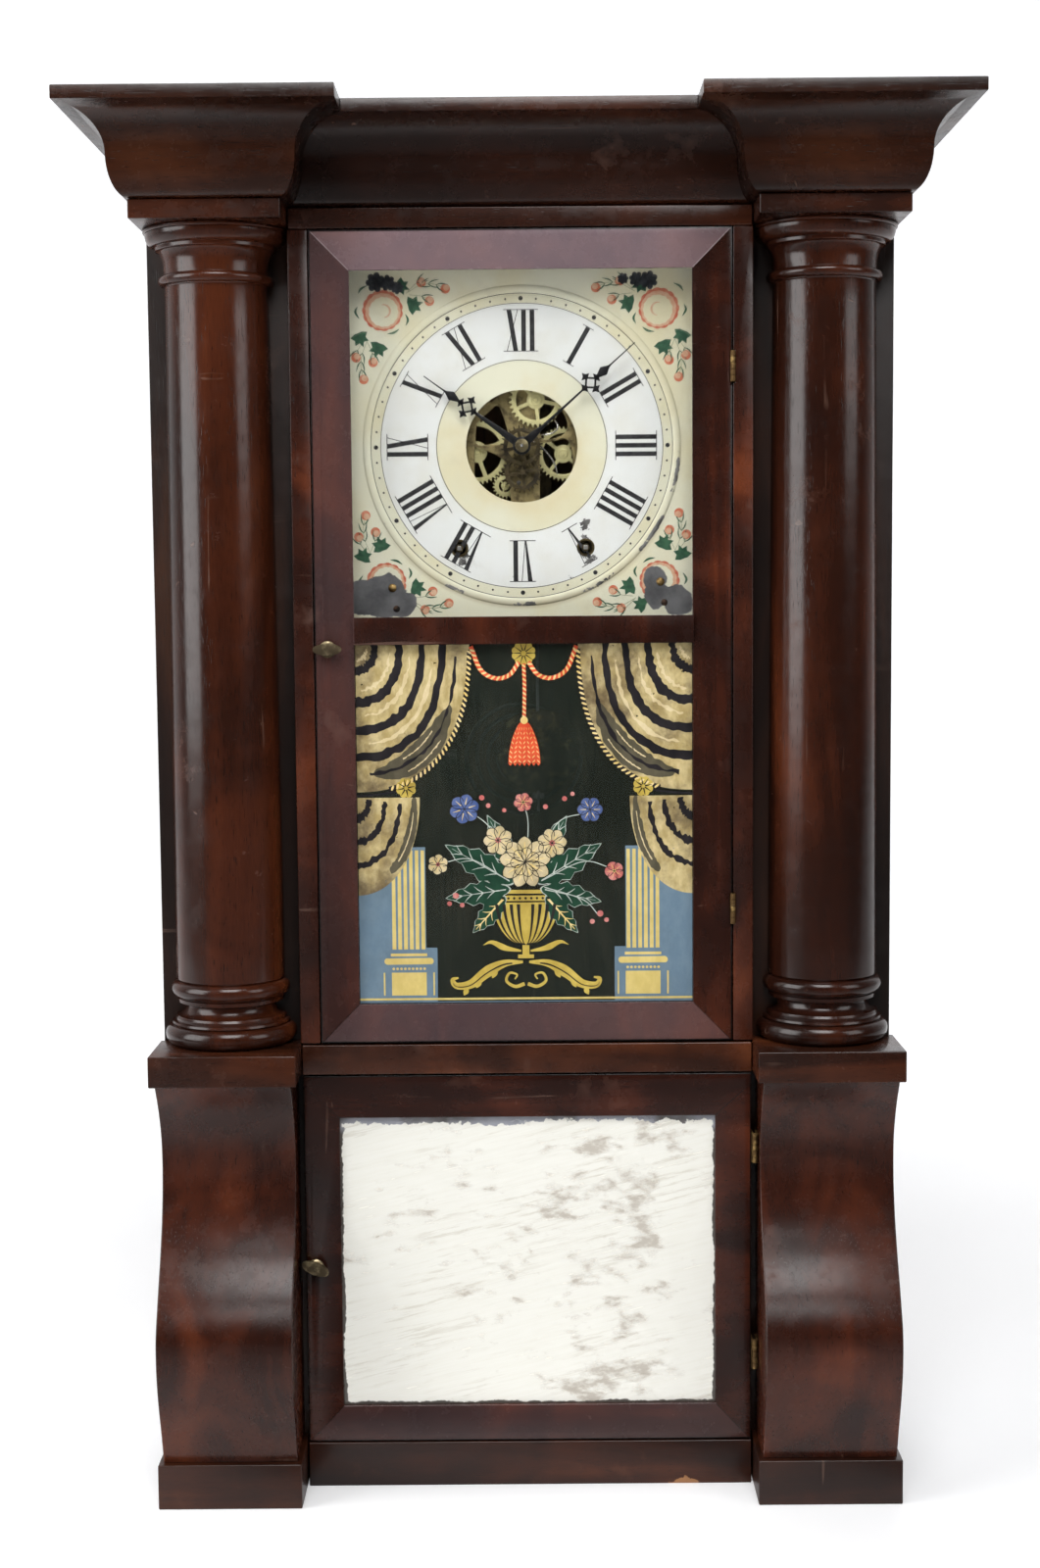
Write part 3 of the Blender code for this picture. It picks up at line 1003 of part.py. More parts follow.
def build_escapement():
    """Escape wheel, verge with its crutch, and the pendulum."""
    tooth = 2 * math.pi / ESCAPE_TEETH
    outline = []
    for index in range(ESCAPE_TEETH):
        angle = index * tooth
        for radius, share in ((ESCAPE_RADIUS - 0.003, 0.0), (ESCAPE_RADIUS, 0.35), (ESCAPE_RADIUS - 0.003, 0.55)):
            outline.append((radius * math.cos(angle + share * tooth), radius * math.sin(angle + share * tooth)))
    windows = [circle(THIN_ARBOR_RADIUS - GAP, 10)]
    windows += crossing_outlines(4, 0.005, ESCAPE_RADIUS - 0.0055, 0.0026)
    escape = arbor("escape_wheel", [(THIN_ARBOR_RADIUS, ESCAPE_FRONT - 0.0009, ARBOR_END)],
                   ESCAPE_X, ESCAPE_HEIGHT, BRASS)
    combine(escape, wheel("escape_rim", outline, windows, MOTION_WHEEL_THICKNESS, ESCAPE_FRONT,
                          ESCAPE_X, ESCAPE_HEIGHT, BRASS), "UNION")
    drop = STAFF_HEIGHT - ESCAPE_HEIGHT
    staff_end = PENDULUM_DEPTH + 0.003
    verge = arbor("verge_and_crutch", [(THIN_ARBOR_RADIUS, ESCAPE_FRONT - 0.0009, staff_end)],
                  ESCAPE_X, STAFF_HEIGHT, STEEL)
    span = ESCAPE_RADIUS - 0.002
    low = ESCAPE_RADIUS - drop + 0.0018
    anchor = [
        (-span, low - 0.006), (-span + 0.0026, low - 0.0035), (-span + 0.0026, low + 0.0005),
        (0.0, low + 0.0022), (span - 0.0026, low + 0.0005), (span - 0.0026, low - 0.0035),
        (span, low - 0.006), (span, low + 0.003), (0.003, low + 0.008), (-0.003, low + 0.008), (-span, low + 0.003)]
    combine(verge, plate("verge_pallets", [anchor], MOTION_WHEEL_THICKNESS,
                         (ESCAPE_X, ESCAPE_FRONT + MOTION_WHEEL_THICKNESS / 2, STAFF_HEIGHT), STEEL, CUTTERS), "UNION")
    crutch_depth = BACK_PLATE + PLATE_THICKNESS + 0.0025
    fork_height = STAFF_HEIGHT - 0.045
    crutch = tube("crutch_wire", [
        (ESCAPE_X, crutch_depth, STAFF_HEIGHT), (ESCAPE_X, crutch_depth, fork_height),
        (ESCAPE_X, PENDULUM_DEPTH - ROD_RADIUS - GAP, fork_height)], 0.0008, STEEL, CUTTERS)
    combine(verge, crutch, "UNION")
    eye_inner = THIN_ARBOR_RADIUS + GAP
    eye = plate("pendulum_rod", [circle(eye_inner + 0.0016, 20), circle(eye_inner, 20)], 2 * ROD_RADIUS,
                (ESCAPE_X, PENDULUM_DEPTH, STAFF_HEIGHT), STEEL)
    set_origin(eye, (ESCAPE_X, PENDULUM_DEPTH, STAFF_HEIGHT))
    tail = BOB_HEIGHT - BOB_RADIUS - ROD_TAIL
    stem = rods("pendulum_stem", [((ESCAPE_X, PENDULUM_DEPTH, STAFF_HEIGHT - eye_inner - 0.0008),
                                   (ESCAPE_X, PENDULUM_DEPTH, tail), ROD_RADIUS)], STEEL, CUTTERS, 12)
    nut_top = BOB_HEIGHT - BOB_RADIUS - GAP
    nut = rods("rating_nut", [((ESCAPE_X, PENDULUM_DEPTH, nut_top), (ESCAPE_X, PENDULUM_DEPTH, nut_top - 0.003),
                               0.004)], BRASS, CUTTERS, 12)
    combine(eye, stem, "UNION")
    combine(eye, nut, "UNION")
    bob_profile = [
        (BOB_RADIUS * math.sin(a), -BOB_HALF_THICKNESS * math.cos(a))
        for a in [math.pi * step / 8 for step in range(9)]]
    bob_profile[0] = (0.0, -BOB_HALF_THICKNESS)
    bob_profile[-1] = (0.0, BOB_HALF_THICKNESS)
    bob = turned("pendulum_bob", bob_profile, (ESCAPE_X, PENDULUM_DEPTH, BOB_HEIGHT), BRASS, steps=26)
    hole = rods("bob_hole", [((ESCAPE_X, PENDULUM_DEPTH, BOB_HEIGHT - 2 * BOB_RADIUS),
                              (ESCAPE_X, PENDULUM_DEPTH, BOB_HEIGHT + 2 * BOB_RADIUS), ROD_RADIUS + GAP)],
                BRASS, CUTTERS, 9)
    combine(bob, hole, "DIFFERENCE")


def build_strike():
    """Coiled gong on its post, and the hammer."""
    turns = 16
    points = []
    for step in range(GONG_TURNS * turns + 1):
        angle = math.pi + 2 * math.pi * step / turns
        radius = GONG_INNER + GONG_PITCH * step / turns - (GONG_INNER if step == 0 else 0.0)
        points.append((GONG_X + radius * math.cos(angle), GONG_DEPTH, GONG_HEIGHT + radius * math.sin(angle)))
    print("least gap between the gong's turns, mm:", round((GONG_PITCH - 2 * GONG_WIRE) * 1000, 2))
    post = rods("gong", [((GONG_X, GONG_DEPTH - 0.004, GONG_HEIGHT), (GONG_X, INSIDE_BACK, GONG_HEIGHT),
                          GONG_POST_RADIUS)], CAST_IRON, sides=20)
    combine(post, tube("gong_coil", points, GONG_WIRE, STEEL, CUTTERS, 1), "UNION")
    outer = GONG_INNER + GONG_PITCH * GONG_TURNS
    strike_x = GONG_X - outer - GONG_WIRE - HAMMER_STAND_OFF
    hammer = arbor("strike_hammer", [(THIN_ARBOR_RADIUS, FRONT_PLATE - 0.001, GONG_DEPTH + 0.002)],
                   HAMMER_X, HAMMER_HEIGHT, STEEL)
    arm = rods("hammer_arm", [((HAMMER_X, GONG_DEPTH, HAMMER_HEIGHT), (HAMMER_X, GONG_DEPTH, GONG_HEIGHT), 0.001)],
               STEEL, CUTTERS, 10)
    head = rods("hammer_head", [((strike_x - HAMMER_HEAD_LENGTH, GONG_DEPTH, GONG_HEIGHT),
                                 (strike_x, GONG_DEPTH, GONG_HEIGHT), HAMMER_HEAD_RADIUS)], STEEL, CUTTERS, 16)
    combine(hammer, arm, "UNION")
    combine(hammer, head, "UNION")


def build_power(side, word):
    """Drum with its great wheel, pulley, weight and cord of one train."""
    drum_front = DRUM_CENTRE_DEPTH - DRUM_LENGTH / 2
    drum_back = DRUM_CENTRE_DEPTH + DRUM_LENGTH / 2
    flange = 0.0015
    drum_x = side * WINDING_X
    drum = arbor(f"{word}_drum", [
        (WINDING_ARBOR_RADIUS, DIAL_FRONT - 0.001, drum_front - flange),
        (DRUM_RADIUS + DRUM_FLANGE, drum_front - flange, drum_front), (DRUM_RADIUS, drum_front, drum_back),
        (DRUM_RADIUS + DRUM_FLANGE, drum_back, drum_back + flange),
        (WINDING_ARBOR_RADIUS, drum_back + flange, ARBOR_END)], drum_x, WINDING_HEIGHT, BRASS)
    rim = gear_outline(GREAT_WHEEL_TEETH, GREAT_WHEEL_RADIUS - 0.0015, 0.0015, 0.0018)
    windows = crossing_outlines(4, 0.007, GREAT_WHEEL_RADIUS - 0.007, 0.004)
    combine(drum, wheel(f"{word}_great_wheel", rim, windows, 0.0018, GREAT_WHEEL_FRONT, drum_x,
                        WINDING_HEIGHT, BRASS), "UNION")
    pulley_x = side * PULLEY_X
    half = PULLEY_WIDTH / 2
    arbor(f"{word}_pulley", [
        (PULLEY_PIN_RADIUS, INSIDE_FRONT, DRUM_CENTRE_DEPTH - half),
        (PULLEY_GROOVE + PULLEY_RIM, DRUM_CENTRE_DEPTH - half, DRUM_CENTRE_DEPTH - half + 0.0015),
        (PULLEY_GROOVE, DRUM_CENTRE_DEPTH - half + 0.0025, DRUM_CENTRE_DEPTH + half - 0.0025),
        (PULLEY_GROOVE + PULLEY_RIM, DRUM_CENTRE_DEPTH + half - 0.0015, DRUM_CENTRE_DEPTH + half),
        (PULLEY_PIN_RADIUS, DRUM_CENTRE_DEPTH + half, INSIDE_BACK)], pulley_x, PULLEY_HEIGHT, PINE)
    weight_x = side * WEIGHT_X
    chamfer = 0.003
    turned(f"{word}_weight", [
        (0.0, WEIGHT_TOP + WEIGHT_EYE), (0.003, WEIGHT_TOP + WEIGHT_EYE), (0.003, WEIGHT_TOP),
        (WEIGHT_RADIUS - chamfer, WEIGHT_TOP), (WEIGHT_RADIUS, WEIGHT_TOP - chamfer),
        (WEIGHT_RADIUS, WEIGHT_TOP - WEIGHT_LENGTH + chamfer),
        (WEIGHT_RADIUS - chamfer, WEIGHT_TOP - WEIGHT_LENGTH), (0.0, WEIGHT_TOP - WEIGHT_LENGTH)],
        (weight_x, DRUM_CENTRE_DEPTH, 0.0), CAST_IRON, steps=16, along_depth=False)
    tube(f"{word}_cord", cord_run(side), CORD_RADIUS, CORD)


def cord_run(side):
    """Points of the cord: up from the weight, over the pulley, and down the common tangent to the drum."""
    over = CORD_RADIUS + GAP
    start = Vector((PULLEY_X, PULLEY_HEIGHT))
    end = Vector((WINDING_X, WINDING_HEIGHT))
    line = (end - start).normalized()
    up_left = Vector((line.y, -line.x))
    tilt = (PULLEY_GROOVE - DRUM_RADIUS) / (end - start).length
    normal = line * tilt + up_left * math.sqrt(1 - tilt * tilt)
    last = math.atan2(normal.y, normal.x)
    points = [Vector((WEIGHT_X, WEIGHT_TOP + WEIGHT_EYE + GAP))]
    for step in range(CORD_ARC_STEPS + 1):
        angle = last * step / CORD_ARC_STEPS
        points.append(start + Vector((math.cos(angle), math.sin(angle))) * (PULLEY_GROOVE + over))
    points.append(end + normal * (DRUM_RADIUS + over))
    return [(side * p.x, DRUM_CENTRE_DEPTH, p.y) for p in points]


def build_weights():
    """The power of both trains: the left one strikes, the right one keeps time."""
    for side, word in ((1, "time"), (-1, "strike")):
        build_power(side, word)


build_case()
build_front()
build_upper_door()
build_lower_door()
build_case_hinges()
build_dial()
build_plates()
build_motion_work()
build_escapement()
build_strike()
build_weights()
bpy.context.view_layer.update()
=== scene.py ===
"""Looks of a tall weight-driven shelf clock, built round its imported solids.

Metres, +Z up, front towards -Y, origin at the middle of the footprint. New pieces are surfaces
worked out with numpy, each finish is a small frozen class, and each sub-assembly is a class that
builds and dresses its own pieces.
"""
import json
import logging
import math
from collections.abc import Callable
from dataclasses import dataclass
from enum import Enum

import bmesh
import bpy
import numpy as np
from mathutils import Matrix, Vector

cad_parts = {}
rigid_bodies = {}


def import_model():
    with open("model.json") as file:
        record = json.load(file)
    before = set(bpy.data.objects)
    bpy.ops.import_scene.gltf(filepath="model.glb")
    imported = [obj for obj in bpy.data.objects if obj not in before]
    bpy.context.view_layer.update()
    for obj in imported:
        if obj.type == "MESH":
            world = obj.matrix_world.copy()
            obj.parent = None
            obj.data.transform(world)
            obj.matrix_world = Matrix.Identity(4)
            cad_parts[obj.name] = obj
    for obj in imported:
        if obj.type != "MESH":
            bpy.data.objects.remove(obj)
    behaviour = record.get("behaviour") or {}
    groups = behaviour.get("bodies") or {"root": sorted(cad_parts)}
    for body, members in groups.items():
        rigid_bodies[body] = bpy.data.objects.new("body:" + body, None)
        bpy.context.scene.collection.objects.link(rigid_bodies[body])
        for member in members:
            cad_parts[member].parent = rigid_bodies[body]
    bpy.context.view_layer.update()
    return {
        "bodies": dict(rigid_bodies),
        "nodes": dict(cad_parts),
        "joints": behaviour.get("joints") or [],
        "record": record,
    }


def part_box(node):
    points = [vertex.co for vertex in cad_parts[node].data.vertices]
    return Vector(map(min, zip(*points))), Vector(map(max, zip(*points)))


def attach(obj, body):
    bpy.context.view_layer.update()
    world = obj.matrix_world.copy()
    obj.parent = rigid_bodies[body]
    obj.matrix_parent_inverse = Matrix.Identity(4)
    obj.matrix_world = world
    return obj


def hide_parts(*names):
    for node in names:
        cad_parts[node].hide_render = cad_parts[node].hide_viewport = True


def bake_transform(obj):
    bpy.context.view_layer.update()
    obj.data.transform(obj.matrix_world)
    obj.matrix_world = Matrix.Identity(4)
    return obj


log = logging.getLogger("shelf_clock")

Array = np.ndarray
Colour = tuple[float, float, float]
Piece = bpy.types.Object

FULL_TURN = 2 * math.pi
PAINT_FILM = 0.00006
DIAL_CENTRE = (0.0, 0.6623)


# Surfaces


def ways(angle: Array | float) -> Array:
    """Unit steps: cos and sin of each angle."""
    return np.stack((np.cos(angle), np.sin(angle)), axis=-1)


def circle(radius: float, steps: int, centre: tuple = (0.0, 0.0)) -> Array:
    """Points round a circle."""
    return np.asarray(centre) + radius * ways(np.linspace(0, FULL_TURN, steps, endpoint=False))


def cubic(knots: Array, values: Array, at: Array) -> Array:
    """Smooth rows through rows of values.

    Between two knots a row is the cubic that meets both values, with slopes from their neighbours.

    Args:
        knots: where the values stand, rising.
        values: a row of coordinates for each knot.
        at: where rows are wanted.

    Returns:
        A row for each place wanted.
    """
    slope = np.gradient(values, knots, axis=0)
    index = np.clip(np.searchsorted(knots, at, side="right") - 1, 0, len(knots) - 2)
    span = (knots[index + 1] - knots[index])[:, None]
    t = (at - knots[index])[:, None] / span
    return (
        (2 * t ** 3 - 3 * t ** 2 + 1) * values[index] + (t ** 3 - 2 * t ** 2 + t) * span * slope[index]
        + (3 * t ** 2 - 2 * t ** 3) * values[index + 1] + (t ** 3 - t ** 2) * span * slope[index + 1])


def bent(points: list[tuple], steps: int) -> Array:
    """A smooth path of evenly shared steps through a few points."""
    points = np.asarray(points, float)
    return cubic(np.arange(len(points), dtype=float), points, np.linspace(0, len(points) - 1, steps))


def along(path: Array) -> Array:
    """The unit way ahead at each point of a path: the difference of its neighbours, made one long."""
    ahead = np.gradient(path, axis=0)
    return ahead / (np.linalg.norm(ahead, axis=1, keepdims=True) + 1e-12)


def run_of(path: Array) -> Array:
    """How far a path has run at each of its points."""
    return np.concatenate(([0], np.cumsum(np.linalg.norm(np.diff(path, axis=0), axis=1))))


def placed(at: Array | float, run: Array, path: Array) -> Array:
    """The places on a path where it has run so far."""
    return np.stack([np.interp(at, run, column) for column in path.T], axis=-1)


def grid_faces(rows: int, columns: int, wrap_rows: bool = False, wrap_columns: bool = False) -> Array:
    """Number the quads of a grid of points.

    Args:
        rows: points along the first parameter.
        columns: points along the second parameter.
        wrap_rows: join the last row to the first.
        wrap_columns: join the last column to the first.

    Returns:
        An array of four point numbers for each quad.
    """
    row = np.arange(rows if wrap_rows else rows - 1)[:, None]
    column = np.arange(columns if wrap_columns else columns - 1)[None, :]
    after_row, after_column = (row + 1) % rows * columns, (column + 1) % columns
    row = row * columns
    corners = (row + column, row + after_column, after_row + after_column, after_row + column)
    return np.stack(np.broadcast_arrays(*corners), axis=-1).reshape(-1, 4)


def linked(name: str, data: bpy.types.ID) -> Piece:
    """Link a mesh, curve, lamp or camera to the scene as an object at the origin."""
    piece = bpy.data.objects.new(name, data)
    bpy.context.scene.collection.objects.link(piece)
    return piece


def smoothed(mesh: bpy.types.Mesh, sharp: float) -> None:
    """Shade a mesh smooth but for its edges past an angle in degrees."""
    mesh.shade_smooth()
    mesh.set_sharp_from_angle(angle=math.radians(sharp))


def shaped_piece(name: str, shape: bmesh.types.BMesh) -> Piece:
    """Turn a worked shape into a new piece and free it."""
    mesh = bpy.data.meshes.new(name)
    shape.to_mesh(mesh)
    shape.free()
    return linked(name, mesh)


def make_piece(name: str, points: Array, faces: list, sharp: float = 32.0) -> Piece:
    """Put points and faces into a new piece.

    Args:
        name: the piece's name.
        points: an array of (x, y, z) rows.
        faces: lists of point numbers.
        sharp: the angle in degrees past which an edge stays sharp.

    Returns:
        The new piece.
    """
    mesh = bpy.data.meshes.new(name)
    rows = np.asarray(points, float).reshape(-1, 3).tolist()
    mesh.from_pydata(rows, [], [list(map(int, face)) for face in faces])
    mesh.validate()
    smoothed(mesh, sharp)
    return linked(name, mesh)


def face_outwards(piece: Piece, sharp: float) -> None:
    """Merge doubled points, turn every face outwards and shade the piece again."""
    shape = bmesh.new()
    shape.from_mesh(piece.data)
    bmesh.ops.remove_doubles(shape, verts=shape.verts, dist=1e-6)
    bmesh.ops.recalc_face_normals(shape, faces=shape.faces)
    shape.to_mesh(piece.data)
    shape.free()
    smoothed(piece.data, sharp)


def surface(
        name: str, grid: Array, wrap_rows: bool = False, wrap_columns: bool = True, caps: bool = False,
        sharp: float = 32.0) -> Piece:
    """Make a piece from a grid of points, facing outwards.

    Args:
        name: the piece's name.
        grid: points by row, column and coordinate.
        wrap_rows: close the surface along its rows.
        wrap_columns: close the surface along its columns.
        caps: fill the first and the last row.
        sharp: the angle in degrees past which an edge stays sharp.

    Returns:
        The new piece.
    """
    rows, columns = grid.shape[:2]
    faces = grid_faces(rows, columns, wrap_rows, wrap_columns).tolist()
    if caps:
        faces += [list(range(columns)), list(range((rows - 1) * columns, rows * columns))]
    piece = make_piece(name, grid.reshape(-1, 3), faces, sharp)
    face_outwards(piece, sharp)
    return piece


def joined(name: str, pieces: list[Piece]) -> Piece:
    """Join several new pieces into one and delete the parts."""
    shape = bmesh.new()
    for piece in pieces:
        shape.from_mesh(piece.data)
        bpy.data.objects.remove(piece)
    whole = shaped_piece(name, shape)
    smoothed(whole.data, 32.0)
    return whole


def turned(name: str, profile: list[tuple], centre: tuple, steps: int) -> Piece:
    """Turn a profile about an axis along the depth: radius times (cos, sin) of the angle, plus its place.

    Args:
        name: the piece's name.
        profile: rows of (radius, place along the axis).
        centre: the point that places are measured from.
        steps: points round a full turn.

    Returns:
        The new piece.
    """
    profile = np.asarray(profile, float)
    angle = np.linspace(0, FULL_TURN, steps, endpoint=False)
    radius, depth = profile[:, :1], profile[:, 1:2] + 0 * angle
    grid = np.stack((radius * np.cos(angle), depth, radius * np.sin(angle)), axis=-1)
    return surface(name, grid + np.asarray(centre))


def tube(name: str, path: Array, radius: float, sides: int) -> Piece:
    """Make a closed round tube: circles square to the path, each turned on from the one before it.

    Args:
        name: the piece's name.
        path: rows of (x, y, z).
        radius: the tube's radius.
        sides: points round it.

    Returns:
        The new piece.
    """
    path = np.asarray(path, float)
    ahead = along(path)
    normal = np.zeros_like(path)
    start = np.cross(ahead[0], (0.0, 0.0, 1.0))
    if np.linalg.norm(start) < 1e-3:
        start = np.cross(ahead[0], (0.0, 1.0, 0.0))
    normal[0] = start / np.linalg.norm(start)
    for index in range(1, len(path)):
        turned_on = normal[index - 1] - ahead[index] * np.dot(normal[index - 1], ahead[index])
        normal[index] = turned_on / (np.linalg.norm(turned_on) + 1e-12)
    across, up = ways(np.linspace(0, FULL_TURN, sides, endpoint=False)).T[:, None, :, None]
    grid = path[:, None] + radius * (normal[:, None] * across + np.cross(ahead, normal)[:, None] * up)
    return surface(name, grid, caps=True)


def ease_edges(piece: Piece, width: float, segments: int = 2) -> None:
    """Round the piece's sharp edges over by a small radius."""
    piece.data.shade_smooth()
    bevel = piece.modifiers.new("eased edges", "BEVEL")
    bevel.width = width
    bevel.segments = segments
    bevel.limit_method = "ANGLE"
    bevel.angle_limit = math.radians(28)
    bevel.harden_normals = True


def block(name: str, low: tuple, high: tuple, ease: float) -> Piece:
    """Make a board with eased edges between two corners."""
    shape = bmesh.new()
    bmesh.ops.create_cube(shape, size=1.0)
    middle, size = (Vector(low) + Vector(high)) / 2, Vector(high) - Vector(low)
    bmesh.ops.transform(
        shape, matrix=Matrix.Translation(middle) @ Matrix.Diagonal((*size, 1)), verts=shape.verts)
    piece = shaped_piece(name, shape)
    ease_edges(piece, ease)
    return piece


def cut(piece: Piece, cutters: list[Piece]) -> None:
    """Cut solids out of a piece with exact Booleans and delete them."""
    for cutter in cutters:
        step = piece.modifiers.new("cut", "BOOLEAN")
        step.object = cutter
        step.solver = "EXACT"
    bpy.context.view_layer.update()
    graph = bpy.context.evaluated_depsgraph_get()
    mesh = bpy.data.meshes.new_from_object(piece.evaluated_get(graph), depsgraph=graph)
    piece.modifiers.clear()
    piece.data = mesh
    for cutter in cutters:
        bpy.data.objects.remove(cutter)


def sawn_plate(name: str, outlines: list[Array], centre: tuple, thickness: float, ease: float,
               turn: float = 0.0) -> Piece:
    """Saw a flat plate with windows out of sheet that faces the front.

    Args:
        name: the piece's name.
        outlines: the outer outline, then the windows, as rows of (x, z) from the centre.
        centre: the plate's middle.
        thickness: from front to back.
        ease: how far its edges are rounded.
        turn: clockwise turn seen from the front.

    Returns:
        The new piece.
    """
    curve = bpy.data.curves.new(name, "CURVE")
    curve.dimensions = "2D"
    curve.fill_mode = "BOTH"
    curve.extrude = thickness / 2 - ease
    curve.bevel_depth = ease
    curve.bevel_resolution = 1
    curve.offset = -ease
    for outline in outlines:
        spline = curve.splines.new("POLY")
        spline.points.add(len(outline) - 1)
        rows = np.column_stack((outline, np.zeros(len(outline)), np.ones(len(outline))))
        spline.points.foreach_set("co", rows.ravel())
        spline.use_cyclic_u = True
    holder = linked(name, curve)
    bpy.context.view_layer.update()
    mesh = bpy.data.meshes.new_from_object(holder.evaluated_get(bpy.context.evaluated_depsgraph_get()))
    bpy.data.objects.remove(holder)
    upright = Matrix.Rotation(math.pi / 2, 4, "X")
    mesh.transform(Matrix.Translation(centre) @ Matrix.Rotation(turn, 4, "Y") @ upright)
    piece = linked(name, mesh)
    face_outwards(piece, 30.0)
    return piece


def dress(piece: Piece, finish: "Finish", body: str, slot: str, *replaces: str) -> None:
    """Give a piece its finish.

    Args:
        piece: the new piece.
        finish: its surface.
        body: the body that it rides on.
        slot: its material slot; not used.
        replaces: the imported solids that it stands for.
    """
    piece.data.materials.clear()
    piece.data.materials.append(finish.material())
    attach(piece, body)
    if replaces:
        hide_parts(*replaces)
    log.info("%s rides on %s", piece.name, body)


@dataclass(frozen=True)
class Shop:
    """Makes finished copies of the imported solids."""

    frame: dict

    def refinish(
            self, node: str, name: str, ease: float, finish: "Finish", body: str = "case",
            slot: str = "mahogany", segments: int = 2) -> None:
        """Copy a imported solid, merge its loose triangles, ease its edges and dress it.

        Args:
            node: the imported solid's name.
            name: the new piece's name.
            ease: how far each edge is eased.
            finish: its surface.
            body: the body that it rides on.
            slot: its material slot.
            segments: facets across an eased edge.
        """
        shape = bmesh.new()
        shape.from_mesh(self.frame["nodes"][node].data)
        bmesh.ops.remove_doubles(shape, verts=shape.verts, dist=1e-6)
        bmesh.ops.dissolve_limit(
            shape, angle_limit=math.radians(0.5), verts=shape.verts, edges=shape.edges, delimit={"NORMAL"})
        piece = shaped_piece(name, shape)
        ease_edges(piece, ease, segments)
        dress(piece, finish, body, slot, node)

    def repaint(self, node: str, finish: "Finish") -> None:
        """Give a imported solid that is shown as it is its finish."""
        self.frame["nodes"][node].data.materials.clear()
        self.frame["nodes"][node].data.materials.append(finish.material())


# Node sheets


class Signal:
    """A value in a node tree. Arithmetic on it adds Math nodes."""

    def __init__(self, sheet: "NodeSheet", socket: bpy.types.NodeSocket) -> None:
        """Stand for a node's output."""
        self.sheet = sheet
        self.socket = socket

    def __add__(self, other: object) -> "Signal":
        """Add a value."""
        return self.sheet.maths("ADD", self, other)

    def __sub__(self, other: object) -> "Signal":
        """Take a value away."""
        return self.sheet.maths("SUBTRACT", self, other)

    def __rsub__(self, other: object) -> "Signal":
        """Take this away from a value."""
        return self.sheet.maths("SUBTRACT", other, self)

    def __mul__(self, other: object) -> "Signal":
        """Multiply by a value."""
        return self.sheet.maths("MULTIPLY", self, other)

    def __abs__(self) -> "Signal":
        """The size without its sign."""
        return self.sheet.maths("ABSOLUTE", self)

    def most(self, other: object) -> "Signal":
        """The larger of two values."""
        return self.sheet.maths("MAXIMUM", self, other)

    def least(self, other: object) -> "Signal":
        """The smaller of two values."""
        return self.sheet.maths("MINIMUM", self, other)

    def span(self, low: float, high: float, to_low: float = 0.0, to_high: float = 1.0,
             kind: str = "SMOOTHSTEP") -> "Signal":
        """Carry the value from one range to another, held at its ends, with an easy start and end."""
        return self.sheet.add("ShaderNodeMapRange", {0: self, 1: low, 2: high, 3: to_low, 4: to_high},
                              interpolation_type=kind)

    def line(self, low: float, high: float, to_low: float = 0.0, to_high: float = 1.0) -> "Signal":
        """Carry the value evenly from one range to another, held at its ends."""
        return self.span(low, high, to_low, to_high, "LINEAR")


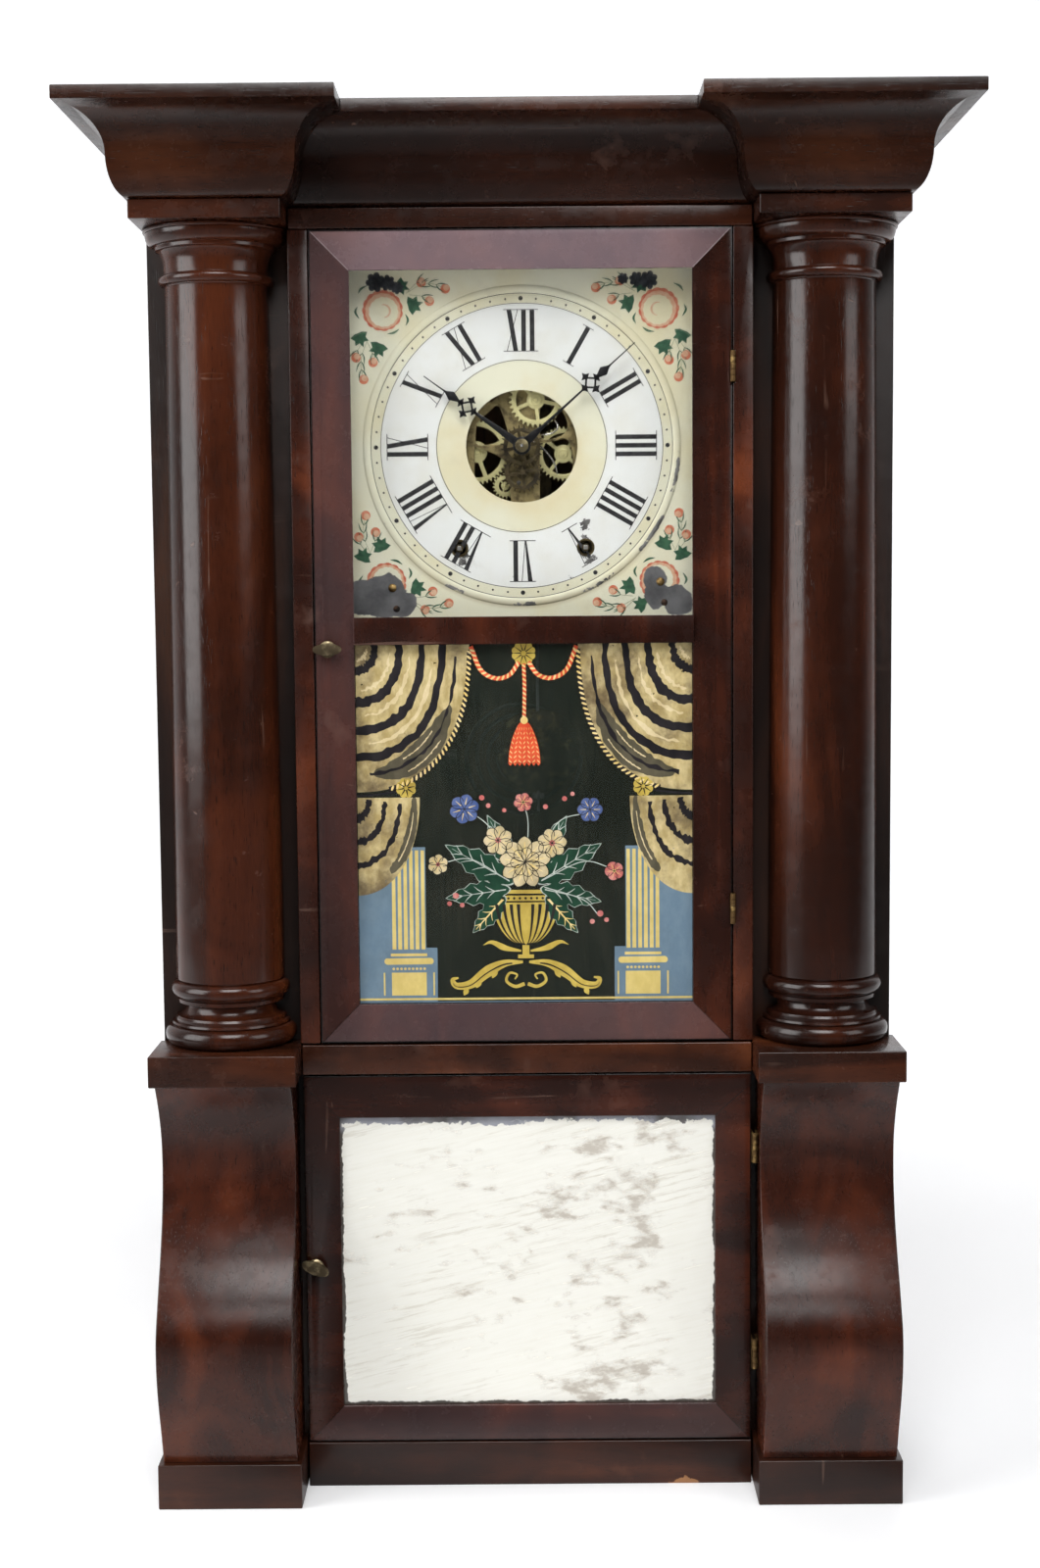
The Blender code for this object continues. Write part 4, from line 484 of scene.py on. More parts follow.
class NodeSheet:
    """A node tree with short ways to add nodes and join them."""

    def __init__(self, tree: bpy.types.NodeTree) -> None:
        """Work on a tree whose nodes are cleared first."""
        self.tree = tree
        tree.nodes.clear()

    def node(self, kind: str, inputs: dict | None = None, **settings: object) -> bpy.types.Node:
        """Add a node.

        Args:
            kind: the node's type name.
            inputs: a value or a signal for each named or numbered input.
            settings: attributes of the node.

        Returns:
            The new node.
        """
        node = self.tree.nodes.new(kind)
        for key, value in settings.items():
            setattr(node, key, value)
        for key, value in (inputs or {}).items():
            self.feed(node.inputs[key], value)
        return node

    def add(self, kind: str, inputs: dict | None = None, output: int | str = 0, **settings: object) -> Signal:
        """Add a node and return one of its outputs."""
        return Signal(self, self.node(kind, inputs, **settings).outputs[output])

    def feed(self, socket: bpy.types.NodeSocket, value: object) -> None:
        """Join a signal to an input, or set the input's own value."""
        if isinstance(value, Signal):
            self.tree.links.new(value.socket, socket)
        elif isinstance(value, tuple) and len(value) == 3 and socket.type == "RGBA":
            socket.default_value = (*value, 1.0)
        else:
            socket.default_value = value

    def outputs(self, node: bpy.types.Node) -> dict[str, Signal]:
        """All of a node's outputs by name."""
        return {socket.name: Signal(self, socket) for socket in node.outputs}

    def maths(self, operation: str, *values: object, clamp: bool = False) -> Signal:
        """The result of a Math node."""
        return self.add("ShaderNodeMath", dict(enumerate(values)), operation=operation, use_clamp=clamp)

    def noise(self, vector: Signal, scale: float, detail: float = 4.0, roughness: float = 0.55,
              distortion: float = 0.0) -> Signal:
        """A noise value."""
        return self.add("ShaderNodeTexNoise", {
            "Vector": vector, "Scale": scale, "Detail": detail, "Roughness": roughness,
            "Distortion": distortion}, "Fac")

    def mix(self, share: Signal, first: object, second: object) -> Signal:
        """A colour between two colours."""
        return self.add("ShaderNodeMix", {0: share, 6: first, 7: second}, 2, data_type="RGBA")

    def mapped(self, vector: Signal, scale: tuple = (1.0, 1.0, 1.0), location: tuple = (0, 0, 0),
               rotation: tuple = (0, 0, 0)) -> Signal:
        """Coordinates moved, turned and stretched."""
        return self.add("ShaderNodeMapping", {
            "Vector": vector, "Scale": scale, "Location": location, "Rotation": rotation})

    def scaled(self, vector: Signal, size: Signal) -> Signal:
        """A vector or colour times a value."""
        return self.add("ShaderNodeVectorMath", {0: vector, 3: size}, operation="SCALE")

    def away(self, vector: Signal, x: float, z: float) -> Signal:
        """How far a point is from a place on the front, leaving the depth out."""
        flat = self.add("ShaderNodeVectorMath", {0: vector, 1: (1.0, 0.0, 1.0)}, operation="MULTIPLY")
        return self.add("ShaderNodeVectorMath", {0: flat, 1: (x, 0.0, z)}, "Value", operation="DISTANCE")

    def split(self, vector: Signal) -> list[Signal]:
        """The x, y and z of a vector."""
        return list(self.outputs(self.node("ShaderNodeSeparateXYZ", {0: vector})).values())

    def bump(self, height: Signal, strength: float, distance: float) -> Signal:
        """A normal raised by a height value, in metres at full height."""
        return self.add("ShaderNodeBump", {"Height": height, "Strength": strength, "Distance": distance})

    def ramp(self, value: Signal, stops: list[tuple[float, Colour]]) -> Signal:
        """A colour read off a ramp of stops."""
        node = self.node("ShaderNodeValToRGB", {0: value})
        for index, (place, colour) in enumerate(stops):
            elements = node.color_ramp.elements
            element = elements[index] if index < 2 else elements.new(place)
            element.position = place
            element.color = (*colour, 1.0)
        return Signal(self, node.outputs[0])

    def group(self, effect: "Effect", **inputs: object) -> dict[str, Signal]:
        """Add a shared effect with its own values and return its outputs by name."""
        return self.outputs(self.node("ShaderNodeGroup", inputs, node_tree=effect.tree()))


@dataclass(frozen=True)
class Effect:
    """A shared shader node group.

    Inputs holds each input's own value, or None for a vector. Build takes a sheet and the inputs by name
    and returns a value for each output.
    """

    name: str
    inputs: dict
    build: Callable

    def tree(self) -> bpy.types.NodeTree:
        """Return the group, built on the first call."""
        found = bpy.data.node_groups.get(self.name)
        if found:
            return found
        tree = bpy.data.node_groups.new(self.name, "ShaderNodeTree")
        for key, value in self.inputs.items():
            kind = "NodeSocketVector" if value is None else "NodeSocketFloat"
            socket = tree.interface.new_socket(key, in_out="INPUT", socket_type=kind)
            if value is not None:
                socket.default_value = value
        sheet = NodeSheet(tree)
        made = self.build(sheet, sheet.outputs(sheet.node("NodeGroupInput")))
        for key in made:
            tree.interface.new_socket(key, in_out="OUTPUT", socket_type="NodeSocketFloat")
        sheet.node("NodeGroupOutput", made)
        return tree


def veneer_figure(sheet: NodeSheet, given: dict[str, Signal]) -> dict[str, Signal]:
    """Veneer figure: broad flames across the grain, long ribbons along it, fibres and dark pores.

    The vector has its grain along Z and is already stretched by 1, 1 and 0.12.
    """
    vector, flame = given["Vector"], given["Flame"]
    scaled = sheet.scaled(vector, given["Scale"])
    flames = sheet.noise(sheet.mapped(scaled, (1.0, 1.0, 8.0)), 9.0, 3.0, 0.45, 1.6)
    ribbons = sheet.noise(scaled, 26.0, 4.0, 0.5, 0.8)
    pores = sheet.noise(sheet.mapped(vector, (1.0, 1.0, 0.6)), 1500.0, 2.0, 0.5)
    return {"Tone": (flames * flame + ribbons * (1.0 - flame)).span(0.30, 0.70),
            "Fibre": sheet.noise(vector, 900.0, 3.0, 0.7), "Pores": pores.span(0.60, 0.74)}


def age_marks(sheet: NodeSheet, given: dict[str, Signal]) -> dict[str, Signal]:
    """Marks of age: scuffed patches, fine scratches in two directions and dust in blurred spots."""
    vector, amount = given["Vector"], given["Amount"]
    first, second = (
        sheet.noise(sheet.mapped(vector, scale, rotation=turn), 160.0, 2.0, 0.5, 0.4).span(0.70, 0.74)
        for scale, turn in (((1.0, 1.0, 0.05), (0.3, 0.5, 0.0)), ((0.05, 1.0, 1.0), (0.0, -0.4, 0.3))))
    return {"Scuffs": sheet.noise(vector, 22.0, 8.0, 0.68).span(0.60, 0.72) * amount,
            "Scratches": first.most(second) * sheet.noise(vector, 14.0, 3.0).span(0.50, 0.66) * amount,
            "Dust": sheet.noise(vector, 60.0, 6.0, 0.7).span(0.45, 0.80) * amount}


def chipped_paint(sheet: NodeSheet, given: dict[str, Signal]) -> dict[str, Signal]:
    """Crisp ragged chips and a fine crackle. Near is 1 where chips gather and 0 where the paint is whole."""
    over = sheet.noise(given["Vector"], 240.0, 6.0, 0.66) - (0.80 - given["Near"] * 0.34)
    cells = sheet.add("ShaderNodeTexVoronoi", {"Vector": given["Vector"], "Scale": 420.0}, "Distance",
                      feature="DISTANCE_TO_EDGE")
    return {"Chips": over.span(0.0, 0.012), "Crackle": cells.span(0.0, 0.05, 1.0, 0.0)}


def dial_wear(sheet: NodeSheet, given: dict[str, Signal]) -> dict[str, Signal]:
    """Where the dial's paint is gone: bare patches at the lower corners and chips near the listed places.

    Each place is an even fall-off from its middle; a ragged noise cuts the edges.
    """
    vector = given["Vector"]

    def near(x: float, z: float, reach: float) -> Signal:
        """One at a place and nought at its reach."""
        return sheet.away(vector, x, z).line(0.0, reach, 1.0, 0.0)

    bare, *others = (near(*spot) for spot in BARE_SPOTS)
    for other in others:
        bare = bare.most(other)
    cut_back = bare + (sheet.noise(vector, 90.0, 6.0, 0.6) - 0.5) * 0.55
    chips, *others = (near(x, z, reach) * weight for x, z, reach, weight in CHIP_SPOTS)
    on_bead = abs(sheet.away(vector, *DIAL_CENTRE) - BEAD_LINE).span(0.0004, 0.0026, 1.0, 0.0)
    for turn, reach, weight in WORN_BEAD:
        x, z = DIAL_CENTRE + BEAD_REACH * ways(turn)[::-1]
        others.append(near(x, z, reach * 0.1) * on_bead * weight)
    for other in others:
        chips = chips.most(other)
    return {"Bare": cut_back.span(0.30, 0.335), **sheet.group(CHIPPING, Vector=vector, Near=chips)}


BARE_SPOTS = (
    (-0.0875, 0.5690, 0.0215), (-0.1010, 0.5680, 0.0165), (-0.0760, 0.5640, 0.0120),
    (0.0835, 0.5795, 0.0110), (0.0850, 0.5680, 0.0120), (0.0975, 0.5650, 0.0140))
CHIP_SPOTS = (
    (0.0395, 0.6130, 0.0085, 1.25), (-0.038, 0.5915, 0.0135, 1.02), (0.042, 0.5930, 0.0115, 1.05),
    (0.0395, 0.6055, 0.0075, 1.10), (-0.007, 0.5790, 0.0120, 0.55), (0.002, 0.5830, 0.0110, 0.62),
    (0.030, 0.5800, 0.0060, 0.75), (-0.036, 0.6050, 0.0070, 0.70))
BEAD_LINE, BEAD_REACH = 0.0988, 0.0985
WORN_BEAD = (
    (1.75, 0.30, 1.25), (2.15, 0.32, 1.55), (2.62, 0.26, 1.25), (3.10, 0.22, 1.20), (3.60, 0.25, 1.15),
    (4.15, 0.20, 0.90))
FIGURE = Effect("veneer figure", {"Vector": None, "Flame": 0.5, "Scale": 1.0}, veneer_figure)
MARKS = Effect("marks of age", {"Vector": None, "Amount": 0.5}, age_marks)
CHIPPING = Effect("chipped paint", {"Vector": None, "Near": 0.3}, chipped_paint)
DIAL_WEAR = Effect("dial wear", {"Vector": None}, dial_wear)


# Finishes


class Finish:
    """A surface finish. Its material is made once."""

    name: str = "finish"

    def material(self) -> bpy.types.Material:
        """Return the finish's material, made on the first call."""
        found = bpy.data.materials.get(self.name)
        if found:
            return found
        material = bpy.data.materials.new(self.name)
        material.use_nodes = True
        sheet = NodeSheet(material.node_tree)
        shader = sheet.add(
            "ShaderNodeBsdfPrincipled", self.look(sheet, sheet.add("ShaderNodeTexCoord", output="Object")))
        sheet.node("ShaderNodeOutputMaterial", {"Surface": shader})
        return material

    def look(self, sheet: NodeSheet, place: Signal) -> dict[str, object]:
        """Return what feeds each input of the finish's shader, worked out from the place on its piece."""
        raise NotImplementedError


class GrainRun(Enum):
    """The way that a board's grain runs, as the turn that brings it onto Z."""

    UPRIGHT = (0.0, 0.0, 0.0)
    ACROSS = (0.0, math.pi / 2, 0.0)


@dataclass(frozen=True)
class Mahogany(Finish):
    """Dark red-brown veneer under an old satin varnish."""

    name: str = "mahogany"
    run: GrainRun = GrainRun.UPRIGHT
    shade: float = 1.0
    red: float = 1.0
    flame: float = 0.45
    scale: float = 1.0
    gloss: float = 0.24
    marks: float = 0.5
    start: tuple[float, float, float] = (0.0, 0.0, 0.0)

    def look(self, sheet: NodeSheet, place: Signal) -> dict[str, object]:
        """Ramp from near black to red-brown by the figure, darken pores, lighten scuffs and scratches."""
        board = sheet.mapped(place, location=self.start, rotation=self.run.value)
        figure = sheet.group(
            FIGURE, Vector=sheet.mapped(board, (1.0, 1.0, 0.12)), Flame=self.flame, Scale=self.scale)
        marks = sheet.group(MARKS, Vector=place, Amount=self.marks)
        colour = sheet.ramp(figure["Tone"], [
            (at, (red * self.shade * self.red, green * self.shade, blue * self.shade))
            for at, red, green, blue in (
                (0.0, 0.0088, 0.0034, 0.0020), (0.45, 0.0178, 0.0058, 0.0027), (0.8, 0.037, 0.0112, 0.0043),
                (1.0, 0.062, 0.0195, 0.0066))])
        colour = sheet.scaled(colour, figure["Fibre"].line(0.25, 0.75, 0.80, 1.16))
        colour = sheet.scaled(colour, sheet.noise(place, 4.2, 2.0).line(0.30, 0.70, 0.72, 1.22))
        for mask, tint in (
                (figure["Pores"] * 0.7, (0.004, 0.002, 0.0015)),
                (marks["Scuffs"] * 0.35, (0.13, 0.052, 0.030)),
                (marks["Scratches"] * 0.55, (0.19, 0.11, 0.08))):
            colour = sheet.mix(mask, colour, tint)
        ripple = sheet.noise(place, 38.0, 2.0, 0.4)
        return {
            "Base Color": self.with_wear_and_painted_light(sheet, place, colour),
            "Roughness": marks["Dust"] * 0.16 + self.gloss + marks["Scuffs"] * 0.25,
            "Normal": sheet.bump(ripple - figure["Pores"] * 0.10 - marks["Scratches"] * 0.12, 0.5, 0.0006),
            "Specular IOR Level": 0.42}

    def with_wear_and_painted_light(self, sheet: NodeSheet, place: Signal, base: Signal) -> Signal:
        """Return the colour with any chip or painted light laid on it; plain veneer has none."""
        return base


@dataclass(frozen=True)
class ChippedVeneer(Mahogany):
    """Veneer with one chip of bare wood at its lower edge."""

    name: str = "chipped veneer"
    chip: float = 0.099

    def with_wear_and_painted_light(self, sheet: NodeSheet, place: Signal, base: Signal) -> Signal:
        """Show raw wood where the height plus half the distance to the chip's middle is small."""
        x, _, z = sheet.split(place)
        depth = abs(x - self.chip) * 0.5 + (z + sheet.noise(place, 260.0, 3.0) * 0.006)
        return sheet.mix(depth.span(0.0075, 0.0085, 1.0, 0.0), base, (0.36, 0.17, 0.07))


@dataclass(frozen=True)
class FramedVeneer(Mahogany):
    """Veneer on a mitred frame, each member with a painted sheen of its own strength for the light it
    catches.

    Painted sheen goes by top, foot, left and right member. Outer is the frame's half width, foot and head.
    """

    name: str = "framed veneer"
    half_width: float = 0.1055
    low: float = 0.312
    high: float = 0.7686
    painted_sheen: tuple[float, float, float, float] = (0.8, 0.3, 0.3, 0.0)
    # Colour of the mitre lines at the head: a dark joint, but on the upper door a pale painted highlight.
    mitre: Colour = (0.010, 0.006, 0.005)
    outer: tuple[float, float, float] = (0.1296, 0.2886, 0.7922)

    def with_wear_and_painted_light(self, sheet: NodeSheet, place: Signal, base: Signal) -> Signal:
        """Find each member by the mitre lines out of the sight corners and lay a painted mauve sheen on it.
        """
        x, _, z = sheet.split(place)
        far = abs(x)
        out, above, below = far - self.half_width, z - self.high, self.low - z
        past_top, past_foot = above - out, below - out
        top, foot = (
            past.span(-0.0002, 0.0002) * outside.span(-0.001, 0.0)
            for past, outside in ((past_top, above), (past_foot, below)))
        left = x.span(-0.001, 0.001, 1.0, 0.0)
        sides = left * self.painted_sheen[2] + (1.0 - left) * self.painted_sheen[3]
        sides = sides * z.line(self.low, self.high - 0.02, 0.25, 1.15)
        ends = sheet.maths("ADD", top, foot, clamp=True)
        amount = top * self.painted_sheen[0] + foot * self.painted_sheen[1] + (1.0 - ends) * sides
        cloud = sheet.noise(place, 9.0, 4.0, 0.6)
        amount = amount * above.most(below).most(out).span(-0.0008, 0.0002)
        amount = amount * cloud.line(0.25, 0.75, 0.60, 1.15)
        amount = amount * far.span(self.half_width - 0.02, self.half_width + 0.022, 1.0, 0.72)
        # Painted reflection: a mauve sheen for the lamps mirrored in the varnish, set by member and growing
        # up the sides.
        sheened = sheet.mix(
            amount, base, sheet.mix(cloud.span(0.35, 0.65), (0.205, 0.150, 0.168), (0.235, 0.140, 0.138)))
        # Mitre lines run from a dark joint at the foot to the mitre colour at the head, which on the upper
        # door is a painted highlight.
        lines = abs(past_top).least(abs(past_foot)).span(0.00025, 0.0005, 0.75, 0.0) * out.span(0.0, 0.0004)
        seam_and_highlight = sheet.mix(z.span(self.low, self.high), (0.010, 0.006, 0.005), self.mitre)
        half, low, high = self.outer
        # Painted shade: a near-black band along the frame's outer edge for the shadow in the gap between door
        # and case.
        grime_and_gap_shade = (half - far).least(z - low).least(high - z).span(0.0005, 0.0011, 0.92, 0.0)
        return sheet.mix(grime_and_gap_shade, sheet.mix(lines, sheened, seam_and_highlight), (0.0025, 0.0018, 0.0015))


@dataclass(frozen=True)
class Softwood(Finish):
    """Bare pine gone brown with age, with its rings, saw marks and smoke stains."""

    name: str = "aged pine"
    run: GrainRun = GrainRun.UPRIGHT

    def look(self, sheet: NodeSheet, place: Signal) -> dict[str, object]:
        """Ring lines from a banded noise along the grain, stained by a broad noise."""
        board = sheet.mapped(place, rotation=self.run.value)
        rings = sheet.noise(sheet.mapped(board, (1.0, 1.0, 0.06)), 55.0, 2.0, 0.4, 0.7)
        late = sheet.maths("FRACT", rings * 9.0).span(0.55, 0.98)
        stain = sheet.noise(place, 7.0, 4.0).span(0.35, 0.75)
        saw = sheet.noise(sheet.mapped(board, (0.06, 0.06, 1.0), rotation=(0.08, 0.0, 0.0)), 420.0, 2.0)
        colour = sheet.mix(late * 0.65, (0.26, 0.145, 0.068), (0.115, 0.058, 0.027))
        colour = sheet.mix(stain * 0.55, colour, (0.045, 0.026, 0.016))
        scuffs = sheet.group(MARKS, Vector=place, Amount=0.7)["Scuffs"]
        return {
            "Base Color": sheet.mix(scuffs * 0.5, colour, (0.33, 0.22, 0.13)),
            "Roughness": stain.line(0.0, 1.0, 0.66, 0.84),
            "Normal": sheet.bump(saw + late * 0.5, 0.4, 0.0004)}


@dataclass(frozen=True)
class OldBrass(Finish):
    """Brass dulled to brown in patches, rubbed brighter where it was touched."""

    name: str = "old brass"
    bright: Colour = (0.62, 0.42, 0.16)
    dull: Colour = (0.16, 0.095, 0.040)
    tarnish: float = 0.5
    rough: float = 0.34
    metal: float = 0.94

    def look(self, sheet: NodeSheet, place: Signal) -> dict[str, object]:
        """Mix bright and dull brass by a blotchy noise, with fine file lines in the height."""
        blotch = sheet.noise(place, 130.0, 6.0, 0.62)
        share = blotch.span(0.62 - 0.4 * self.tarnish, 0.86 - 0.4 * self.tarnish)
        dust = sheet.group(MARKS, Vector=place, Amount=0.8)["Dust"]
        lines = sheet.noise(sheet.mapped(place, (1.0, 1.0, 0.08), rotation=(0.0, 0.5, 0.0)), 1400.0, 2.0)
        colour = sheet.mix(share, self.bright, self.dull)
        return {
            "Base Color": sheet.mix(dust * 0.35, colour, (0.10, 0.07, 0.04)),
            "Metallic": self.metal, "Roughness": share.line(0.0, 1.0, self.rough, self.rough + 0.26),
            "Normal": sheet.bump(lines + blotch * 0.6, 0.25, 0.0002)}


@dataclass(frozen=True)
class OldSteel(Finish):
    """Steel or iron gone grey-brown, with specks of rust."""

    name: str = "old steel"
    clean: Colour = (0.34, 0.33, 0.32)
    rusty: Colour = (0.10, 0.048, 0.024)
    rust: float = 0.3
    metal: float = 0.9
    rough: float = 0.36
    cast: float = 0.15

    def look(self, sheet: NodeSheet, place: Signal) -> dict[str, object]:
        """Speckle rust over steel by a fine noise and pit it by another."""
        share = sheet.noise(place, 310.0, 7.0, 0.68).span(0.72 - 0.35 * self.rust, 0.80 - 0.25 * self.rust)
        dust = sheet.group(MARKS, Vector=place, Amount=0.8)["Dust"]
        colour = sheet.mix(share, self.clean, self.rusty)
        return {
            "Base Color": sheet.mix(dust * 0.3, colour, (0.05, 0.045, 0.04)),
            "Metallic": share.line(0.0, 1.0, self.metal, 0.25),
            "Roughness": share.line(0.0, 1.0, self.rough, 0.72),
            "Normal": sheet.bump(sheet.noise(place, 520.0, 4.0, 0.6), self.cast, 0.0006)}


@dataclass(frozen=True)
class BlackPaint(Finish):
    """Thin black enamel on steel, rubbed grey along scratches."""

    name: str = "black enamel"

    def look(self, sheet: NodeSheet, place: Signal) -> dict[str, object]:
        """Near-black with grey scuffs and a slight orange peel."""
        rub = sheet.noise(place, 420.0, 5.0, 0.6).span(0.58, 0.72)
        colour = sheet.mix(rub * 0.35, (0.008, 0.008, 0.009), (0.06, 0.055, 0.05))
        scratches = sheet.group(MARKS, Vector=place, Amount=1.0)["Scratches"]
        return {
            "Base Color": sheet.mix(scratches, colour, (0.16, 0.15, 0.14)),
            "Roughness": rub.line(0.0, 1.0, 0.32, 0.55),
            "Normal": sheet.bump(sheet.noise(place, 800.0, 2.0), 0.15, 0.0002)}


@dataclass(frozen=True)
class OldGlass(Finish):
    """Thin old window glass, faintly green and faintly rippled."""

    name: str = "old clear glass"
    stretch: float = 0.5
    slant: float = 0.0
    grain: tuple[float, float, float] = (24.0, 5.0, 0.55)
    clean: float = 0.45
    tones: tuple[Colour, Colour] = ((0.95, 0.98, 0.96), (0.86, 0.90, 0.88))
    rough: tuple[float, float] = (0.02, 0.09)
    cover: tuple[float, float] = (0.08, 0.12)
    clear: float = 1.0
    bending: float = 1.45

    def look(self, sheet: NodeSheet, place: Signal) -> dict[str, object]:
        """Smears or wiped streaks that change its tone, roughness and cover, and slow waves in its face."""
        streaks = sheet.mapped(place, (1.0, 1.0, self.stretch), rotation=(0.0, self.slant, 0.0))
        smear = sheet.noise(streaks, *self.grain).span(self.clean, 0.75)
        return {
            "Base Color": sheet.mix(smear, *self.tones), "Roughness": smear.line(0.0, 1.0, *self.rough),
            "Alpha": smear.line(0.0, 1.0, *self.cover), "Transmission Weight": self.clear,
            "IOR": self.bending, "Normal": sheet.bump(sheet.noise(place, 16.0, 1.0), 0.1, 0.0008)}


@dataclass(frozen=True)
class AgedMirror(Finish):
    """Silvering under a painted pale yellow-white reflection, streaked, smudged and eaten away at its edges.
    """

    name: str = "aged silvering"
    half_width: float = 0.1193
    low: float = 0.0508
    high: float = 0.2390

    def look(self, sheet: NodeSheet, place: Signal) -> dict[str, object]:
        """Darken by the distance to the sight edge plus a ragged noise, under streaks and smudges."""
        x, _, z = sheet.split(place)
        from_end = (self.high - self.low) / 2 - abs(z - (self.low + self.high) / 2)
        reach = (self.half_width - abs(x)).least(from_end).least(self.high - z - 0.0010)
        ragged = sheet.noise(place, 34.0, 3.0, 0.5) * 0.6 + sheet.noise(place, 190.0, 6.0, 0.62) * 0.4
        top = z.span(self.high - 0.012, self.high - 0.006)
        eaten = ragged.line(0.40, 0.62) * (top * 0.0040 + 0.0022)
        edge = (reach - eaten).span(-0.0002, 0.0006, 1.0, 0.0)
        slant = sheet.mapped(place, rotation=(0.0, 0.24, 0.0))
        streaks = sheet.noise(sheet.mapped(slant, (0.07, 1.0, 1.0)), 330.0, 6.0, 0.72)
        fine = sheet.noise(sheet.mapped(slant, (0.05, 1.0, 1.0)), 520.0, 3.0, 0.6)
        lines = streaks.span(0.52, 0.64) * sheet.noise(place, 13.0, 3.0).span(0.42, 0.60)
        right = x.span(0.005, 0.04) * x.span(0.07, 0.10, 1.0, 0.15)
        spotted = sheet.noise(sheet.mapped(place, (1.0, 1.0, 1.9), (0.11, 0.0, 0.05)), 48.0, 6.0, 0.60)
        spots = (spotted + right * 0.085).span(0.58, 0.74)
        # Painted reflection: the pale yellow-white, with little metal, stands for the pale floor and walls
        # that the mirror faces. The streaks and spots are the silvering's decay.
        colour = sheet.mix(fine.span(0.35, 0.75), (0.975, 0.965, 0.890), (0.945, 0.930, 0.845))
        colour = sheet.mix(lines * 0.34, colour, (0.52, 0.46, 0.34))
        colour = sheet.mix(spots * 0.60, colour, (0.36, 0.29, 0.22))
        blue = sheet.noise(place, 21.0, 3.0).span(0.36, 0.56)
        return {
            "Base Color": sheet.mix(
                edge, colour, sheet.mix(blue * top, (0.105, 0.092, 0.080), (0.36, 0.37, 0.41))),
            "Metallic": 0.15, "Roughness": fine.line(0.3, 0.8, 0.16, 0.30) + spots * 0.2,
            "Coat Weight": 0.5, "Coat Roughness": 0.04}


@dataclass(frozen=True)
class Cord(Finish):
    """Waxed hemp cord: dark in the lay of its strands."""

    name: str = "waxed cord"

    def look(self, sheet: NodeSheet, place: Signal) -> dict[str, object]:
        """Fibres from a fine noise, over two browns."""
        fibre = sheet.noise(sheet.mapped(place, (1.0, 1.0, 0.3)), 1800.0, 3.0, 0.7)
        share = fibre.span(0.3, 0.7) * sheet.noise(place, 45.0, 3.0).span(0.2, 0.8, 0.6, 1.0)
        return {
            "Base Color": sheet.mix(share, (0.34, 0.24, 0.13), (0.12, 0.075, 0.035)),
            "Roughness": fibre.line(0.0, 1.0, 0.65, 0.9), "Normal": sheet.bump(fibre, 0.5, 0.0003)}


# The case


SIDES = ((-1, "left"), (1, "right"))


@dataclass
class CaseBoards:
    """The box behind the front: sides, back, top, floor and the face boards."""

    shop: Shop
    ease: float = 0.0006

    def build(self) -> None:
        """Ease the edges of each board and dress it."""
        veneer = Mahogany("case side veneer", shade=0.85, flame=0.25, gloss=0.34, marks=0.9)
        face = Mahogany("face board veneer", shade=0.62, flame=0.2, gloss=0.36, marks=0.5)
        for _, side in SIDES:
            self.shop.refinish(f"case_side_{side}", f"case_side_board_{side}", self.ease, veneer, slot="pine")
            self.shop.refinish(f"face_board_{side}", f"face_board_{side}_veneered", self.ease, face)
        upright, across = Softwood("aged pine, upright"), Softwood("aged pine, across", GrainRun.ACROSS)
        for node, finish in (("back_board", upright), ("top_board", across), ("bottom_board", across)):
            self.shop.refinish(node, f"{node}_sawn", self.ease, finish, slot="pine")


@dataclass
class FaceFrame:
    """Rails and stiles between the columns, veneered across their width."""

    shop: Shop
    ease: float = 0.0007

    def build(self) -> None:
        """Ease each rail and stile and dress it with its own run of grain."""
        across, upright = GrainRun.ACROSS, GrainRun.UPRIGHT
        for node, finish in {
                "top_rail": Mahogany("top rail veneer", across, 1.9, 1.15, 0.35, 1.4, 0.26, 0.9),
                "middle_rail": Mahogany("middle rail veneer", across, 1.7, 1.1, 0.5, 1.2, 0.26, 0.7),
                "bottom_rail": ChippedVeneer("bottom rail veneer", across, 0.95, 1.2, 0.4, 1.0, 0.28, 0.8),
                "door_stile_left": Mahogany("left stile veneer", upright, 1.3, 1.35, 0.8, 1.1, 0.27, 0.9),
                "door_stile_right": Mahogany("right stile veneer", upright, 1.25, 1.35, 0.8, 1.0, 0.27, 0.9),
        }.items():
            self.shop.refinish(node, f"{node}_veneered", self.ease, finish)


@dataclass
class FrontBlocks:
    """Base blocks and plinth caps."""

    shop: Shop
    ease: float = 0.0008

    def build(self) -> None:
        """Ease each block and dress it."""
        cap = Mahogany("plinth cap veneer", GrainRun.ACROSS, 1.3, 1.15, 0.4, 1.2, 0.25, 0.8)
        base = Mahogany("base block veneer", GrainRun.ACROSS, 1.1, 1.15, 0.4, 1.0, 0.30, 0.45)
        for _, side in SIDES:
            for node, finish in ((f"plinth_cap_{side}", cap), (f"base_block_{side}", base)):
                self.shop.refinish(node, f"{node}_veneered", self.ease, finish)


